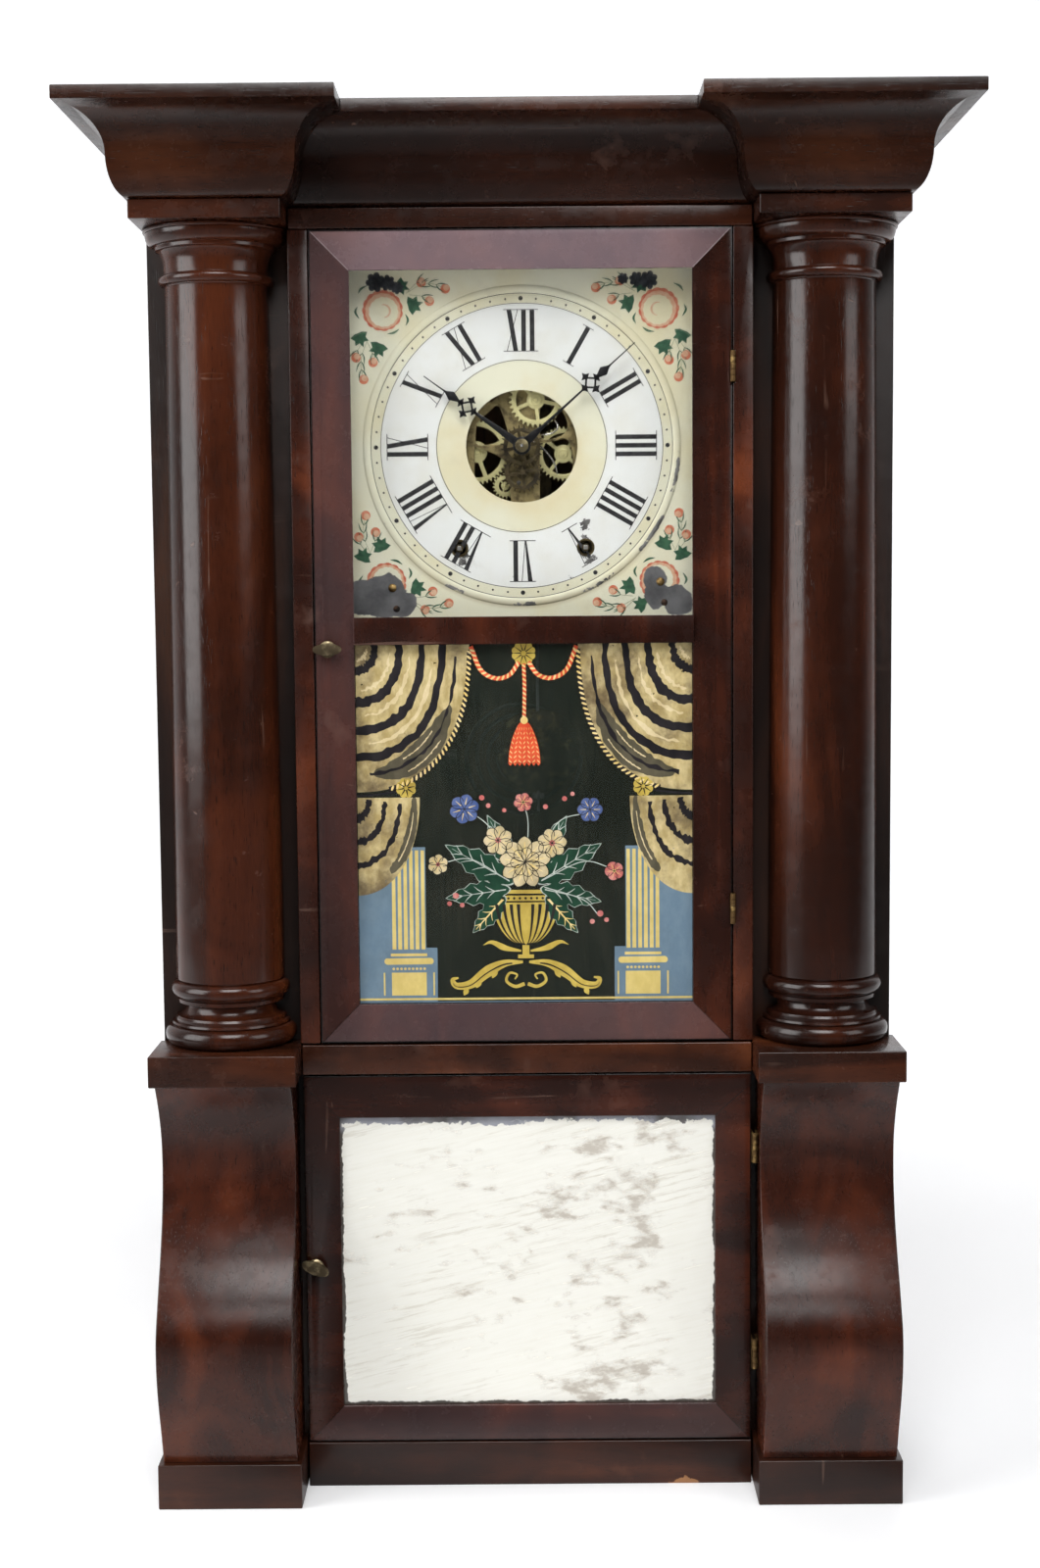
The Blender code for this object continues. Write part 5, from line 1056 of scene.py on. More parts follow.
@dataclass
class HalfColumn:
    """One turned half column with its square abacus.

    The profile is a list of beads, coves and straight lengths, each a share of a circle, from the top down.
    """

    side: int
    word: str
    centre_x: float = 0.188
    plane: float = -0.0028
    foot: float = 0.2881
    height: float = 0.5064
    abacus_width: float = 0.0908
    abacus_front: float = -0.0547
    abacus_top: float = 0.8057
    steps: int = 96

    @staticmethod
    def bead(radius: float, reach: float, height: float, half: float, steps: int = 14) -> Array:
        """A half round: radius plus reach times sin, and height plus half times cos, over half a turn."""
        angle = np.linspace(0, math.pi, steps)
        return np.column_stack((radius + reach * np.sin(angle), height + half * np.cos(angle)))

    def profile(self) -> Array:
        """Return rows of (radius, height above the foot) down the outer face."""
        top = self.height
        quarter = np.linspace(0, math.pi / 2, 12)
        sine, rest, fall = np.sin(quarter), 1 - np.sin(quarter), 1 - np.cos(quarter)
        ovolo = np.column_stack((0.0438 - 0.0058 * fall, top - 0.0031 - 0.0076 * sine))
        cove = np.column_stack((0.0326 + 0.0046 * rest, top - 0.0131 - 0.0104 * fall))
        shaft_height = np.linspace(top - 0.0362, 0.0425, 24)
        share = (top - 0.0362 - shaft_height) / (top - 0.0787)
        shaft = np.column_stack((0.0318 + 0.0025 * share ** 0.8, shaft_height))
        scotia = np.column_stack((0.0284 + 0.0060 * fall, 0.0246 - 0.0064 * sine))
        return np.concatenate((
            [(0.0, top)], self.bead(0.0436, 0.0014, top - 0.0014, 0.0013, 8), ovolo,
            [(0.0377, top - 0.0109), (0.0377, top - 0.0127)], cove,
            [(0.0325, top - 0.0272)], self.bead(0.0326, 0.0034, top - 0.0311, 0.0033),
            [(0.0326, top - 0.0346), (0.0320, top - 0.0352)], shaft,
            [(0.0341, 0.0412)], self.bead(0.0332, 0.0044, 0.0350, 0.0050, 16),
            [(0.0332, 0.0296), (0.0340, 0.0290), (0.0338, 0.0268), (0.0302, 0.0258)], scotia,
            [(0.0346, 0.0178), (0.0352, 0.0168), (0.0352, 0.0150), (0.0371, 0.0146), (0.0376, 0.0133)],
            self.bead(0.0368, 0.0049, 0.0062, 0.0061, 18), [(0.0, 0.0)]))

    def build(self) -> None:
        """Turn the front half, close its flat back and add the abacus."""
        middle, half = self.side * self.centre_x, self.abacus_width / 2
        profile = self.profile()
        angle = np.linspace(math.pi, FULL_TURN, self.steps)
        radius, height = profile[:, :1], profile[:, 1:2]
        grid = np.stack((
            middle + radius * np.cos(angle), self.plane + radius * np.sin(angle),
            self.foot + height + 0 * angle), axis=-1)
        dress(
            surface(f"turned_half_{self.word}", grid, sharp=24.0),
            Mahogany(f"column veneer {self.word}", GrainRun.UPRIGHT, 1.12, 1.25, 0.30, 0.75, 0.19, 0.75,
                     (0.13 * self.side, 0.0, 0.31)), "case", "mahogany", f"half_column_{self.word}")
        abacus = block(
            f"abacus_board_{self.word}",
            (middle - half, self.abacus_front, self.foot + self.height - 0.0002),
            (middle + half, self.plane, self.abacus_top), 0.0007)
        dress(abacus, Mahogany("abacus veneer", GrainRun.ACROSS, 1.0, 1.2, 0.4, 1.2, 0.25, 1.0),
              "case", "mahogany")


@dataclass
class ScrollBracket:
    """One sawn bracket: an S front carried across its width, faced with flame veneer."""

    side: int
    word: str
    centre_x: float = 0.188
    width: float = 0.084
    plane: float = -0.0028
    foot: float = 0.0288
    height: float = 0.2392
    projection: float = 0.0676
    ease: float = 0.0009
    keeper_reach: float = 0.0044
    keeper_low: tuple = (0.132, -0.0076)
    keeper_high: tuple = (0.149, 0.0014)
    front: tuple = (
        (1.0, 0.728), (0.924, 0.550), (0.844, 0.432), (0.757, 0.410), (0.644, 0.491), (0.548, 0.639),
        (0.443, 0.846), (0.364, 0.979), (0.280, 1.0), (0.171, 0.913), (0.088, 0.802), (0.025, 0.728),
        (0.0, 0.698))

    def curve(self, steps: int = 140) -> Array:
        """A smooth cubic through the front's points: rows of (depth, height)."""
        points, at = np.array(self.front)[::-1], np.linspace(0, 1, steps)
        share = cubic(points[:, 0], points[:, 1:], at)[:, 0]
        return np.column_stack((self.plane - share * self.projection, self.foot + at * self.height))

    def build(self) -> None:
        """Loft the outline across the width, rounding its long edges over."""
        middle, half = self.side * self.centre_x, self.width / 2
        front, height = self.curve().T[:, :, None]
        turn = np.linspace(0, math.pi / 2, 5)
        inset, edge = self.ease * (1 - np.cos(turn)), half - self.ease * (1 - np.sin(turn))
        across = middle + np.concatenate((-edge[::-1], edge, (half, -half)))
        depth = np.concatenate((
            front + np.concatenate((inset[::-1], inset)), self.plane + np.zeros((len(front), 2))), axis=1)
        grid = np.stack(np.broadcast_arrays(across, depth, height), axis=-1)
        piece = surface(f"scroll_bracket_{self.word}_sawn", grid, caps=True, sharp=30.0)
        if self.side < 0:
            face, (foot, near), (top, back) = middle + half, self.keeper_low, self.keeper_high
            low, high = (face - self.keeper_reach, near, foot), (face + self.keeper_reach, back, top)
            cut(piece, [block("keeper slot", low, high, 0.0)])
        finish = Mahogany(f"flame veneer {self.word}", GrainRun.UPRIGHT, 1.22, 1.38, 0.50, 1.2, 0.25, 0.8,
                          (0.07 * self.side, 0.0, 0.0))
        dress(piece, finish, "case", "mahogany", f"scroll_bracket_{self.word}")


@dataclass
class Cornice:
    """The crown: a block over each column with its return, and a set-back middle length."""

    column_x: float = 0.188
    block_width: float = 0.0896
    front: float = -0.0547
    plane: float = -0.0028
    back: float = 0.0917
    case_edge: float = 0.2317
    foot: float = 0.8060
    height: float = 0.058
    overhang: float = 0.037
    swell: float = 0.011
    swell_rise: float = 0.0245
    fascia: float = 0.008
    centre_projection: float = 0.0115
    seat: float = 0.0003
    edge: float = 0.0008
    steps: int = 18

    def levels(self) -> Array:
        """Rows of (rise, reach): a swell and a cove, each a quarter turn, then the fascia, eased on top."""
        angle = np.linspace(0, math.pi / 2, self.steps)
        lower = np.column_stack((self.swell_rise * (1 - np.cos(angle)), self.swell * np.sin(angle)))
        turn = self.height - self.fascia
        upper = np.column_stack((
            self.swell_rise + (turn - self.swell_rise) * np.sin(angle),
            self.swell + (self.overhang - self.swell) * (1 - np.cos(angle))))
        top = [
            (turn, self.overhang - 0.0002), (turn + 0.0003, self.overhang),
            (self.height - self.edge, self.overhang),
            (self.height - 0.3 * self.edge, self.overhang - 0.3 * self.edge),
            (self.height, self.overhang - self.edge)]
        return np.concatenate(([(0.0, 0.0)], lower[1:], upper[1:-1], top))

    def loft(self, name: str, corners: list[tuple], finish: Finish) -> None:
        """Carry an outline up the levels and dress it.

        Args:
            name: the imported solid's name.
            corners: for each corner its x, y and how far it grows along x and y with the reach.
            finish: its surface.
        """
        x, y, along_x, along_y = np.array(corners).T
        rise, reach = self.levels().T[:, :, None]
        grid = np.stack((x + reach * along_x, y + reach * along_y, self.foot + rise + 0 * x), axis=-1)
        dress(surface(f"{name}_veneered", grid, caps=True, sharp=26.0), finish, "case", "mahogany", name)

    def build(self) -> None:
        """Loft the two blocks and the middle length."""
        near = self.column_x - self.block_width / 2
        far = self.column_x + self.block_width / 2
        for side, word in SIDES:
            finish = Mahogany(f"cornice veneer {word}", GrainRun.ACROSS, 0.72, 1.1, 0.35, 0.9, 0.24, 0.9,
                              (0.0, 0.0, 0.2 * side))
            self.loft(f"cornice_block_{word}", [
                (side * near, self.front, -side, -1), (side * far, self.front, side, -1),
                (side * far, self.back, side, 0), (side * self.case_edge, self.back, 0, 0),
                (side * self.case_edge, self.plane, 0, 0), (side * near, self.plane, -side, 0)], finish)
        half, front = near - self.seat, self.plane - self.centre_projection
        self.loft("centre_cornice", [
            (-half, front, 1, -1), (half, front, -1, -1), (half, self.plane, -1, 0),
            (-half, self.plane, 1, 0)],
            Mahogany("centre cornice veneer", GrainRun.ACROSS, 1.1, 1.15, 0.4, 0.8, 0.24, 0.8))


# Doors


@dataclass
class Doors:
    """Both doors: mitred frames, panes, hinges and turn keys."""

    shop: Shop
    ease: float = 0.0005

    def build(self) -> None:
        """Dress the frames, panes and fittings of both doors."""
        # Painted sheen by member: on the upper door it is strongest on the top member, which faces up to the
        # lamps. On the lower door it is only on the foot.
        upper = FramedVeneer("upper door veneer", GrainRun.UPRIGHT, 1.0, 1.4, 0.45, 1.1, 0.26, 0.7,
                             painted_sheen=(0.95, 0.30, 0.27, 0.0), mitre=(0.33, 0.27, 0.28))
        lower = FramedVeneer("lower door veneer", GrainRun.ACROSS, 1.0, 1.45, 0.45, 1.1, 0.25, 0.6,
                             half_width=0.1193, low=0.0508, high=0.2390, painted_sheen=(0.0, 0.14, 0.0, 0.0),
                             outer=(0.1416, 0.0293, 0.2672))
        dull = OldBrass("hinge brass", tarnish=0.9, rough=0.42)
        worn = OldBrass("turn key brass", (0.42, 0.34, 0.20), (0.10, 0.075, 0.045), 0.75, 0.36)
        # Painted shade: the tablet pane's dark green, partly see-through tint stands for the shaded case
        # interior behind its unpainted glass.
        shade_tinted = OldGlass(
            "smoked tablet glass", 0.35, 0.3, (34.0, 5.0, 0.6), 0.35,
            ((0.0165, 0.0215, 0.0165), (0.036, 0.044, 0.034)), (0.10, 0.24), (0.62, 0.40), 0.0, 1.5)
        for pane, finish in (
                ("upper_door_glass", OldGlass()), ("mirror_glass", AgedMirror()), ("painted_tablet", shade_tinted)):
            self.shop.repaint(pane, finish)
        for door, veneer in (("upper", upper), ("lower", lower)):
            frame, key, body = f"{door}_door_frame", f"{door}_turn_key", f"{door}_door"
            self.shop.refinish(frame, f"{frame}_veneered", self.ease, veneer, body)
            for place in ("top", "bottom"):
                for leaf, rides_on in (("case", "case"), ("door", body)):
                    node = f"{door}_{leaf}_{place}_hinge_leaf"
                    self.shop.refinish(node, f"{node}_worn", 0.00012, dull, rides_on, "brass")
            self.shop.refinish(key, f"{key}_worn", 0.0006, worn, key, "brass", 3)


# Movement and power


@dataclass
class Works:
    """The movement's back, its arbors, the pendulum, the weights and the pulleys."""

    shop: Shop

    def build(self) -> None:
        """Ease and dress each piece."""
        # Painted shade: the movement brass is kept near black for the back plate, drums and motion work,
        # which lie in shade behind the dial and the front plate.
        brass = OldBrass("movement brass", (0.085, 0.064, 0.028), (0.022, 0.016, 0.008), 0.5, 0.42, 0.5)
        collet = OldBrass("collet brass", (0.36, 0.30, 0.17), (0.10, 0.08, 0.045), 0.5, 0.32)
        bob = OldBrass("bob brass", tarnish=0.8, rough=0.38)
        steel, beech = OldSteel("pivot steel"), Softwood("turned beech")
        # Painted highlight: the rod wire's pale blue-white with little metal stands for the light that the
        # thin steel rod catches.
        wire = OldSteel("rod wire", (0.74, 0.76, 0.82), rust=0.02, metal=0.25)
        iron = OldSteel("cast iron", (0.045, 0.042, 0.040), (0.07, 0.032, 0.018), 0.55, 0.6, 0.55, 0.6)
        for node, body, finish, slot, ease in (
                ("movement_back_plate", "case", brass, "brass", 0.0002),
                ("hour_wheel", "hour_hand", brass, "brass", 0.00012),
                ("minute_wheel", "minute_wheel", brass, "brass", 0.00012),
                ("time_drum", "time_drum", brass, "brass", 0.0002),
                ("strike_drum", "strike_drum", brass, "brass", 0.0002),
                ("centre_arbor", "minute_hand", collet, "brass", 0.00015),
                ("verge_and_crutch", "pendulum", steel, "blued_steel", 0.0001),
                ("strike_hammer", "strike_hammer", steel, "blued_steel", 0.0002),
                ("time_weight", "time_weight", iron, "cast_iron", 0.0012),
                ("strike_weight", "strike_weight", iron, "cast_iron", 0.0012),
                ("time_pulley", "time_pulley", beech, "pine", 0.0003),
                ("strike_pulley", "strike_pulley", beech, "pine", 0.0003),
                ("pendulum_rod", "pendulum", wire, "blued_steel", 0.0001),
                ("pendulum_bob", "pendulum", bob, "brass", 0.0004)):
            self.shop.refinish(node, f"{node}_finished", ease, finish, body, slot)
        pin = turned("taper_pin_end", [
            (0.0, -0.0004), (0.0007, -0.0003), (0.0010, 0.0), (0.0010, 0.0006), (0.0, 0.0006)],
            (0.0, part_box("centre_arbor")[0][1], DIAL_CENTRE[1]), 20)
        dress(pin, OldSteel("bright pin", (0.66, 0.65, 0.62), rust=0.05, rough=0.25),
              "minute_hand", "blued_steel")


# Painted work


class Painter:
    """Collects flat triangles of paint and lays them on a surface."""

    def __init__(self, lay: Callable[[Array], Array]) -> None:
        """Start with a clean surface. Lay carries rows of (x, z) onto it as rows of (x, y, z)."""
        self.lay = lay
        self.points: list[Array] = []
        self.faces: list[Array] = []
        self.lifts: list[Array] = []
        self.count = 0

    def add(self, flat: Array, faces: Array) -> None:
        """Keep points and triangles, each shape a hair in front of the one before it."""
        self.points.append(np.asarray(flat, float).reshape(-1, 2))
        self.faces.append(np.asarray(faces, int).reshape(-1, 3) + self.count)
        self.lifts.append(np.full(len(self.points[-1]), (len(self.lifts) % 40) * 4e-7))
        self.count += len(self.points[-1])

    def strip(self, first: Array, second: Array) -> None:
        """A band between two rows of points."""
        quads = grid_faces(2, len(first))
        self.add(np.concatenate((first, second)), np.concatenate((quads[:, [0, 1, 2]], quads[:, [0, 2, 3]])))

    def patch(self, outline: Array) -> None:
        """A star-shaped patch: a fan from the outline's mean point."""
        outline = np.asarray(outline, float)
        index = np.arange(len(outline))
        fan = np.column_stack((np.full(len(outline), len(outline)), index, (index + 1) % len(outline)))
        self.add(np.vstack((outline, outline.mean(axis=0))), fan)

    def ring(self, centre: tuple, inner: float, outer: float, steps: int = 180) -> None:
        """A ring between two circles."""
        way = ways(np.linspace(0, FULL_TURN, steps + 1))[:, ::-1]
        self.strip(np.asarray(centre) + inner * way, np.asarray(centre) + outer * way)

    def disc(self, centre: tuple, radius: float, steps: int = 16) -> None:
        """A round dot."""
        self.patch(circle(radius, steps, centre))

    def ribbon(self, path: Array, width: float | Array) -> None:
        """A brush stroke along a path: the path plus and minus half the width across it."""
        path = np.asarray(path, float)
        ahead = along(path)
        across = np.column_stack((-ahead[:, 1], ahead[:, 0])) * np.broadcast_to(width, len(path))[:, None] / 2
        self.strip(path + across, path - across)

    def stroke(self, path: Array, width: float, swell: tuple[float, float] = (0.15, 3.0)) -> None:
        """A ribbon as wide as the sine of an angle that runs between two values."""
        self.ribbon(path, width * np.sin(np.linspace(*swell, len(path))))

    def piece(self, name: str) -> Piece:
        """Lay the paint on its surface, facing the front."""
        flat = np.concatenate(self.points)
        faces = np.concatenate(self.faces)
        corners = flat[faces]
        first, second = corners[:, 1] - corners[:, 0], corners[:, 2] - corners[:, 0]
        area = first[:, 0] * second[:, 1] - first[:, 1] * second[:, 0]
        faces[area < 0] = faces[area < 0][:, ::-1]
        points = self.lay(flat)
        points[:, 1] -= np.concatenate(self.lifts)
        return make_piece(name, points, faces[np.abs(area) > 1e-13].tolist(), 180.0)


def leaf_outline(base: tuple, heading: float, length: float, width: float, teeth: int = 0,
                 depth: float = 0.16) -> Array:
    """A leaf: half width is sin of the share of its length to a power, cut by teeth; heading turns it."""
    share = np.linspace(0, 1, 41)
    half = width / 2 * np.sin(math.pi * share ** 0.8) ** 0.9
    if teeth:
        half = half * (1 - depth * (1 - np.abs(2 * ((share * teeth) % 1.0) - 1)))
    edge = np.column_stack((share * length, half))
    outline = np.concatenate((edge, (edge * (1, -1))[::-1][1:-1]))
    turn = np.array(((math.cos(heading), math.sin(heading)), (-math.sin(heading), math.cos(heading))))
    return np.asarray(base) + outline @ turn


def petal_ring(centre: tuple, radius: float, lobes: int, depth: float, turn: float = 0.0) -> Array:
    """A lobed round outline, whose radius dips by a share of itself, the depth, between its lobes."""
    angle = np.linspace(0, FULL_TURN, 96, endpoint=False)
    reach = radius * (1 - depth + depth * np.abs(np.sin(lobes * (angle + turn) / 2)) ** 0.6)
    return np.asarray(centre) + reach[:, None] * ways(angle)


# Dial


@dataclass(frozen=True)
class DialEnamel(Finish):
    """Cream oil paint on zinc: whiter on the chapter ring, yellowed in blotches, chipped and bare."""

    name: str = "dial enamel"

    def look(self, sheet: NodeSheet, place: Signal) -> dict[str, object]:
        """Pick white or cream by the distance from the centre, then stain, chip and bare it."""
        away = sheet.away(place, *DIAL_CENTRE)
        z = sheet.split(place)[2]
        stain = sheet.noise(place, 17.0, 4.0, 0.6).span(0.38, 0.72)
        cloud = sheet.noise(place, 46.0, 5.0, 0.6)
        cream = sheet.mix(stain, (0.700, 0.690, 0.535), (0.665, 0.615, 0.405))
        white = sheet.mix(cloud.span(0.35, 0.75), (0.725, 0.740, 0.715), (0.690, 0.690, 0.635))
        colour = sheet.mix(away.span(0.0530, 0.0545) * away.span(0.0883, 0.0891, 1.0, 0.0), cream, white)
        # Grime in blotches over the dial.
        grime_and_gap_shade = sheet.noise(place, 70.0, 7.0, 0.7).span(0.56, 0.72) * 0.16
        below = z.span(DIAL_CENTRE[1] - 0.03, DIAL_CENTRE[1] - 0.09) * away.span(0.0955, 0.1000)
        wear = sheet.group(DIAL_WEAR, Vector=place)
        bare, chips, crackle = wear["Bare"], wear["Chips"], wear["Crackle"]
        zinc = sheet.mix(cloud.span(0.3, 0.7), (0.100, 0.100, 0.104), (0.235, 0.235, 0.240))
        chipped = sheet.mix(cloud.span(0.4, 0.6), (0.045, 0.043, 0.040), (0.22, 0.215, 0.205))
        for mask, tint in (
                (away.span(0.034, 0.050, 0.45, 0.0) * stain, (0.62, 0.50, 0.27)), (grime_and_gap_shade, (0.40, 0.36, 0.27)),
                (below * away.span(0.0998, 0.1030, 0.45, 0.0), (0.34, 0.27, 0.15)),
                (crackle * 0.05, (0.30, 0.26, 0.18)), (chips, chipped), (bare, zinc)):
            colour = sheet.mix(mask, colour, tint)
        height = sheet.noise(place, 30.0, 2.0) * 0.6 - bare.most(chips) - crackle * 0.08
        return {
            "Base Color": colour, "Roughness": bare.line(0.0, 1.0, 0.42, 0.50), "Metallic": bare * 0.6,
            "Normal": sheet.bump(height, 0.5, 0.0002)}


@dataclass(frozen=True)
class DialPaint(Finish):
    """One colour painted on the dial, gone where the dial's own paint is gone."""

    name: str = "dial black"
    deep: Colour = (0.010, 0.010, 0.011)
    pale: Colour = (0.035, 0.035, 0.036)
    rub: float = 0.35

    def look(self, sheet: NodeSheet, place: Signal) -> dict[str, object]:
        """Two tones by a brushy noise, with alpha nought where the wear has taken the paint."""
        brush = sheet.noise(place, 260.0, 4.0, 0.6)
        wear = sheet.group(DIAL_WEAR, Vector=place)
        kept = 0.12 * (1 - self.rub)
        nicks = sheet.noise(place, 520.0, 5.0, 0.7).span(0.64 + kept, 0.72 + kept)
        gone = wear["Bare"].most(wear["Chips"]).most(nicks)
        return {
            "Base Color": sheet.mix(brush.span(0.35, 0.70), self.deep, self.pale),
            "Roughness": brush.line(0.0, 1.0, 0.38, 0.55),
            "Alpha": sheet.maths("SUBTRACT", 1.0, gone, clamp=True)}


CORNER_STEMS = (
    ((0.034, 0.011), (0.043, 0.0062), (0.051, 0.0055), (0.0585, 0.0085)),
    ((0.036, 0.012), (0.044, 0.0130), (0.0485, 0.0160)),
    ((0.035, 0.010), (0.041, 0.0045), (0.0435, 0.0045)),
    ((0.0095, 0.040), (0.0062, 0.048), (0.0052, 0.056), (0.0068, 0.0640)),
    ((0.0095, 0.041), (0.0125, 0.048), (0.0128, 0.0535)),
    ((0.0080, 0.040), (0.0032, 0.046), (0.0022, 0.0505)))
CORNER_BLADES = (
    ((0.0335, 0.0240), (0.0350, 0.0275), (0.0335, 0.0310)),
    ((0.0035, 0.0190), (0.0022, 0.0225), (0.0045, 0.0265)),
    ((0.0220, 0.0360), (0.0262, 0.0352), (0.0295, 0.0330)),
    ((0.0100, 0.0060), (0.0060, 0.0080), (0.0040, 0.0110)))
CORNER_IVY = (
    (0.0375, 0.0185, -0.25, 0.0120), (0.0300, 0.0065, 0.35, 0.0110), (0.0165, 0.0440, 1.95, 0.0120),
    (0.0045, 0.0375, 1.20, 0.0115))
# Worn spots in the top corners, painted near black as painted shade for the shadow they lie in.
WORN_BUDS_IN_SHADE = (
    (-0.0905, 0.7645, 0.0062), (-0.0830, 0.7640, 0.0050), (-0.0770, 0.7610, 0.0040),
    (0.0725, 0.7650, 0.0048), (0.0800, 0.7645, 0.0058), (0.0640, 0.7655, 0.0036))
DIAL_TONES = {
    "coral": ((0.50, 0.100, 0.050), (0.60, 0.22, 0.130), 0.0),
    "blush": ((0.60, 0.33, 0.20), (0.66, 0.45, 0.30), 0.00002),
    "green": ((0.016, 0.070, 0.036), (0.045, 0.13, 0.065), 0.00001),
    "sage": ((0.20, 0.24, 0.13), (0.30, 0.32, 0.19), 0.0),
    "bud": ((0.010, 0.012, 0.016), (0.055, 0.060, 0.070), 0.00003),
    "berry": ((0.55, 0.130, 0.060), (0.62, 0.25, 0.15), 0.0)}


@dataclass
class Dial:
    """The painted zinc dial: its relief, chapter ring, corner flowers, winding holes and screws."""

    front: float = 0.0078
    back: float = 0.0090
    half_width: float = 0.125
    half_height: float = 0.114
    opening: float = 0.035
    bead_middle: float = 0.0974
    bead_half: float = 0.0025
    bead_rise: float = 0.0009
    flat_from: float = 0.1010
    winding: tuple = ((-0.0398, 0.5988), (0.0398, 0.5988))
    winding_radius: float = 0.0057
    screws: tuple = ((-0.0825, 0.5743), (0.0868, 0.5770))
    numeral_low: float = 0.0590
    numeral_high: float = 0.0846
    corner_x: float = 0.1055
    corner_top: float = 0.7686
    corner_foot: float = 0.5560

    def rise(self, away: Array) -> Array:
        """How far the dial stands forward at a distance from its centre.

        A round bead near the edge, a low dome over the chapter ring and a slight roll at the opening.
        """
        bead = np.where(np.abs(away - self.bead_middle) < self.bead_half, self.bead_rise * np.sqrt(
            np.clip(1 - ((away - self.bead_middle) / self.bead_half) ** 2, 0, 1)), 0.0)
        share = np.clip((away - 0.0535) / (0.0945 - 0.0535), 0, 1)
        dome = 0.0005 * np.sin(math.pi * share) ** 0.7
        return bead + dome + 0.0003 * np.exp(-((away - self.opening - 0.0008) / 0.0010) ** 2)

    def lay(self, flat: Array) -> Array:
        """Carry (x, z) onto the dial's face, one film of paint in front of it."""
        away = np.hypot(*(flat - DIAL_CENTRE).T)
        return np.column_stack((flat[:, 0], self.front - self.rise(away) - PAINT_FILM, flat[:, 1]))

    def plate(self) -> Piece:
        """A sheet in rings from the opening out to its square edge, turned back on itself behind."""
        way = ways(np.linspace(0, FULL_TURN, 256, endpoint=False))[:, ::-1]
        edge = np.minimum(*((self.half_width, self.half_height) / np.maximum(np.abs(way), 1e-9)).T)
        inner = np.concatenate((
            np.linspace(self.opening, 0.0535, 8), np.linspace(0.0548, 0.0940, 16)[:-1],
            self.bead_middle + self.bead_half * np.cos(np.linspace(math.pi, 0, 13)), [self.flat_from]))
        rings = np.concatenate((
            np.broadcast_to(inner[:, None], (len(inner), len(way))),
            self.flat_from + np.linspace(0, 1, 5)[1:, None] * (edge - self.flat_from)))
        front = np.stack((
            rings * way[:, 0], self.front - self.rise(rings), DIAL_CENTRE[1] + rings * way[:, 1]), axis=-1)
        rear = front[::-1].copy()
        rear[..., 1] = self.back
        sheet = surface("dial_sheet", np.concatenate((front, rear)), True, sharp=40.0)
        cut(sheet, [
            tube(f"winding_cutter_{index}", [(x, self.front - 0.01, z), (x, self.back + 0.01, z)],
                 self.winding_radius, 40) for index, (x, z) in enumerate(self.winding)])
        smoothed(sheet.data, 35.0)
        return sheet

    def numerals(self, painter: Painter) -> None:
        """Twelve Roman numerals read from the centre: thick strokes, hairlines and long hairline serifs.

        A stroke is its start and end as shares of the letter's width, the level it starts from, its
        width and the share of that width that is left at its end.
        """
        middle, half = (self.numeral_low + self.numeral_high) / 2, (self.numeral_high - self.numeral_low) / 2
        thick, hair, serif = 0.00290, 0.00042, 0.00024
        letters = {
            "I": (0.0053, ((0.0, 0.0, -1, thick, 1.0),)),
            "V": (0.0088, ((-0.24, 0.08, 1, thick, 0.30), (0.36, 0.12, 1, hair, 1.0))),
            "X": (0.0088, ((-0.24, 0.24, 1, thick, 1.0), (0.38, -0.38, 1, hair, 1.0)))}
        share = np.linspace(0, 1, 9)[:, None]
        for hour, word in enumerate("XII I II III IIII V VI VII VIII IX X XI".split()):
            angle = FULL_TURN * hour / 12
            out, across = ways(angle)[::-1], ways(angle) * (1, -1)
            reach = sum(letters[letter][0] for letter in word) / 2
            at = -reach
            for letter in word:
                width, strokes = letters[letter]
                for start, end, level, wide, tip in strokes:
                    first = np.array((at + width / 2 + width * start, level * half))
                    last = np.array((at + width / 2 + width * end, -level * half))
                    spine = first + share * (last - first)
                    half_wide = np.hstack((wide / 2 * (1 + (tip - 1) * share), 0 * share))
                    painter.strip(*(
                        np.asarray(DIAL_CENTRE) + side[:, :1] * across + (middle + side[:, 1:]) * out
                        for side in (spine - half_wide, spine + half_wide)))
                at += width
            row_run = np.linspace(-reach - 0.0012, reach + 0.0012, 12)[:, None]
            for level in (-half, half):
                row = np.asarray(DIAL_CENTRE) + row_run * across
                painter.strip(row + (middle + level - serif) * out, row + (middle + level + serif) * out)

    def minute_track(self, painter: Painter) -> None:
        """Sixty dots, larger at each hour, between two hairlines, and a hairline inside the numerals."""
        for radius in (0.0886, 0.0948, 0.0535):
            painter.ring(DIAL_CENTRE, radius - 0.00019, radius + 0.00019)
        for minute in range(60):
            centre = np.asarray(DIAL_CENTRE) + 0.0916 * ways(FULL_TURN * minute / 60)[::-1]
            painter.disc(centre, 0.00140 if minute % 5 == 0 else 0.00066, 14)

    def corner(self, painters: dict[str, Painter], side: int, up: int) -> None:
        """One corner spray: a lobed rose, cut leaves and two berry stems.

        Args:
            painters: a painter for each colour.
            side: -1 for left and 1 for right.
            up: 1 for the top corners and -1 for the lower ones.
        """
        corner = np.array((side * self.corner_x, self.corner_top if up > 0 else self.corner_foot))
        green, blush = painters["green"], painters["blush"]

        def at(points: Array) -> Array:
            """Carry points measured inwards from the corner onto the dial."""
            return corner + np.asarray(points, float) * (-side, -up)

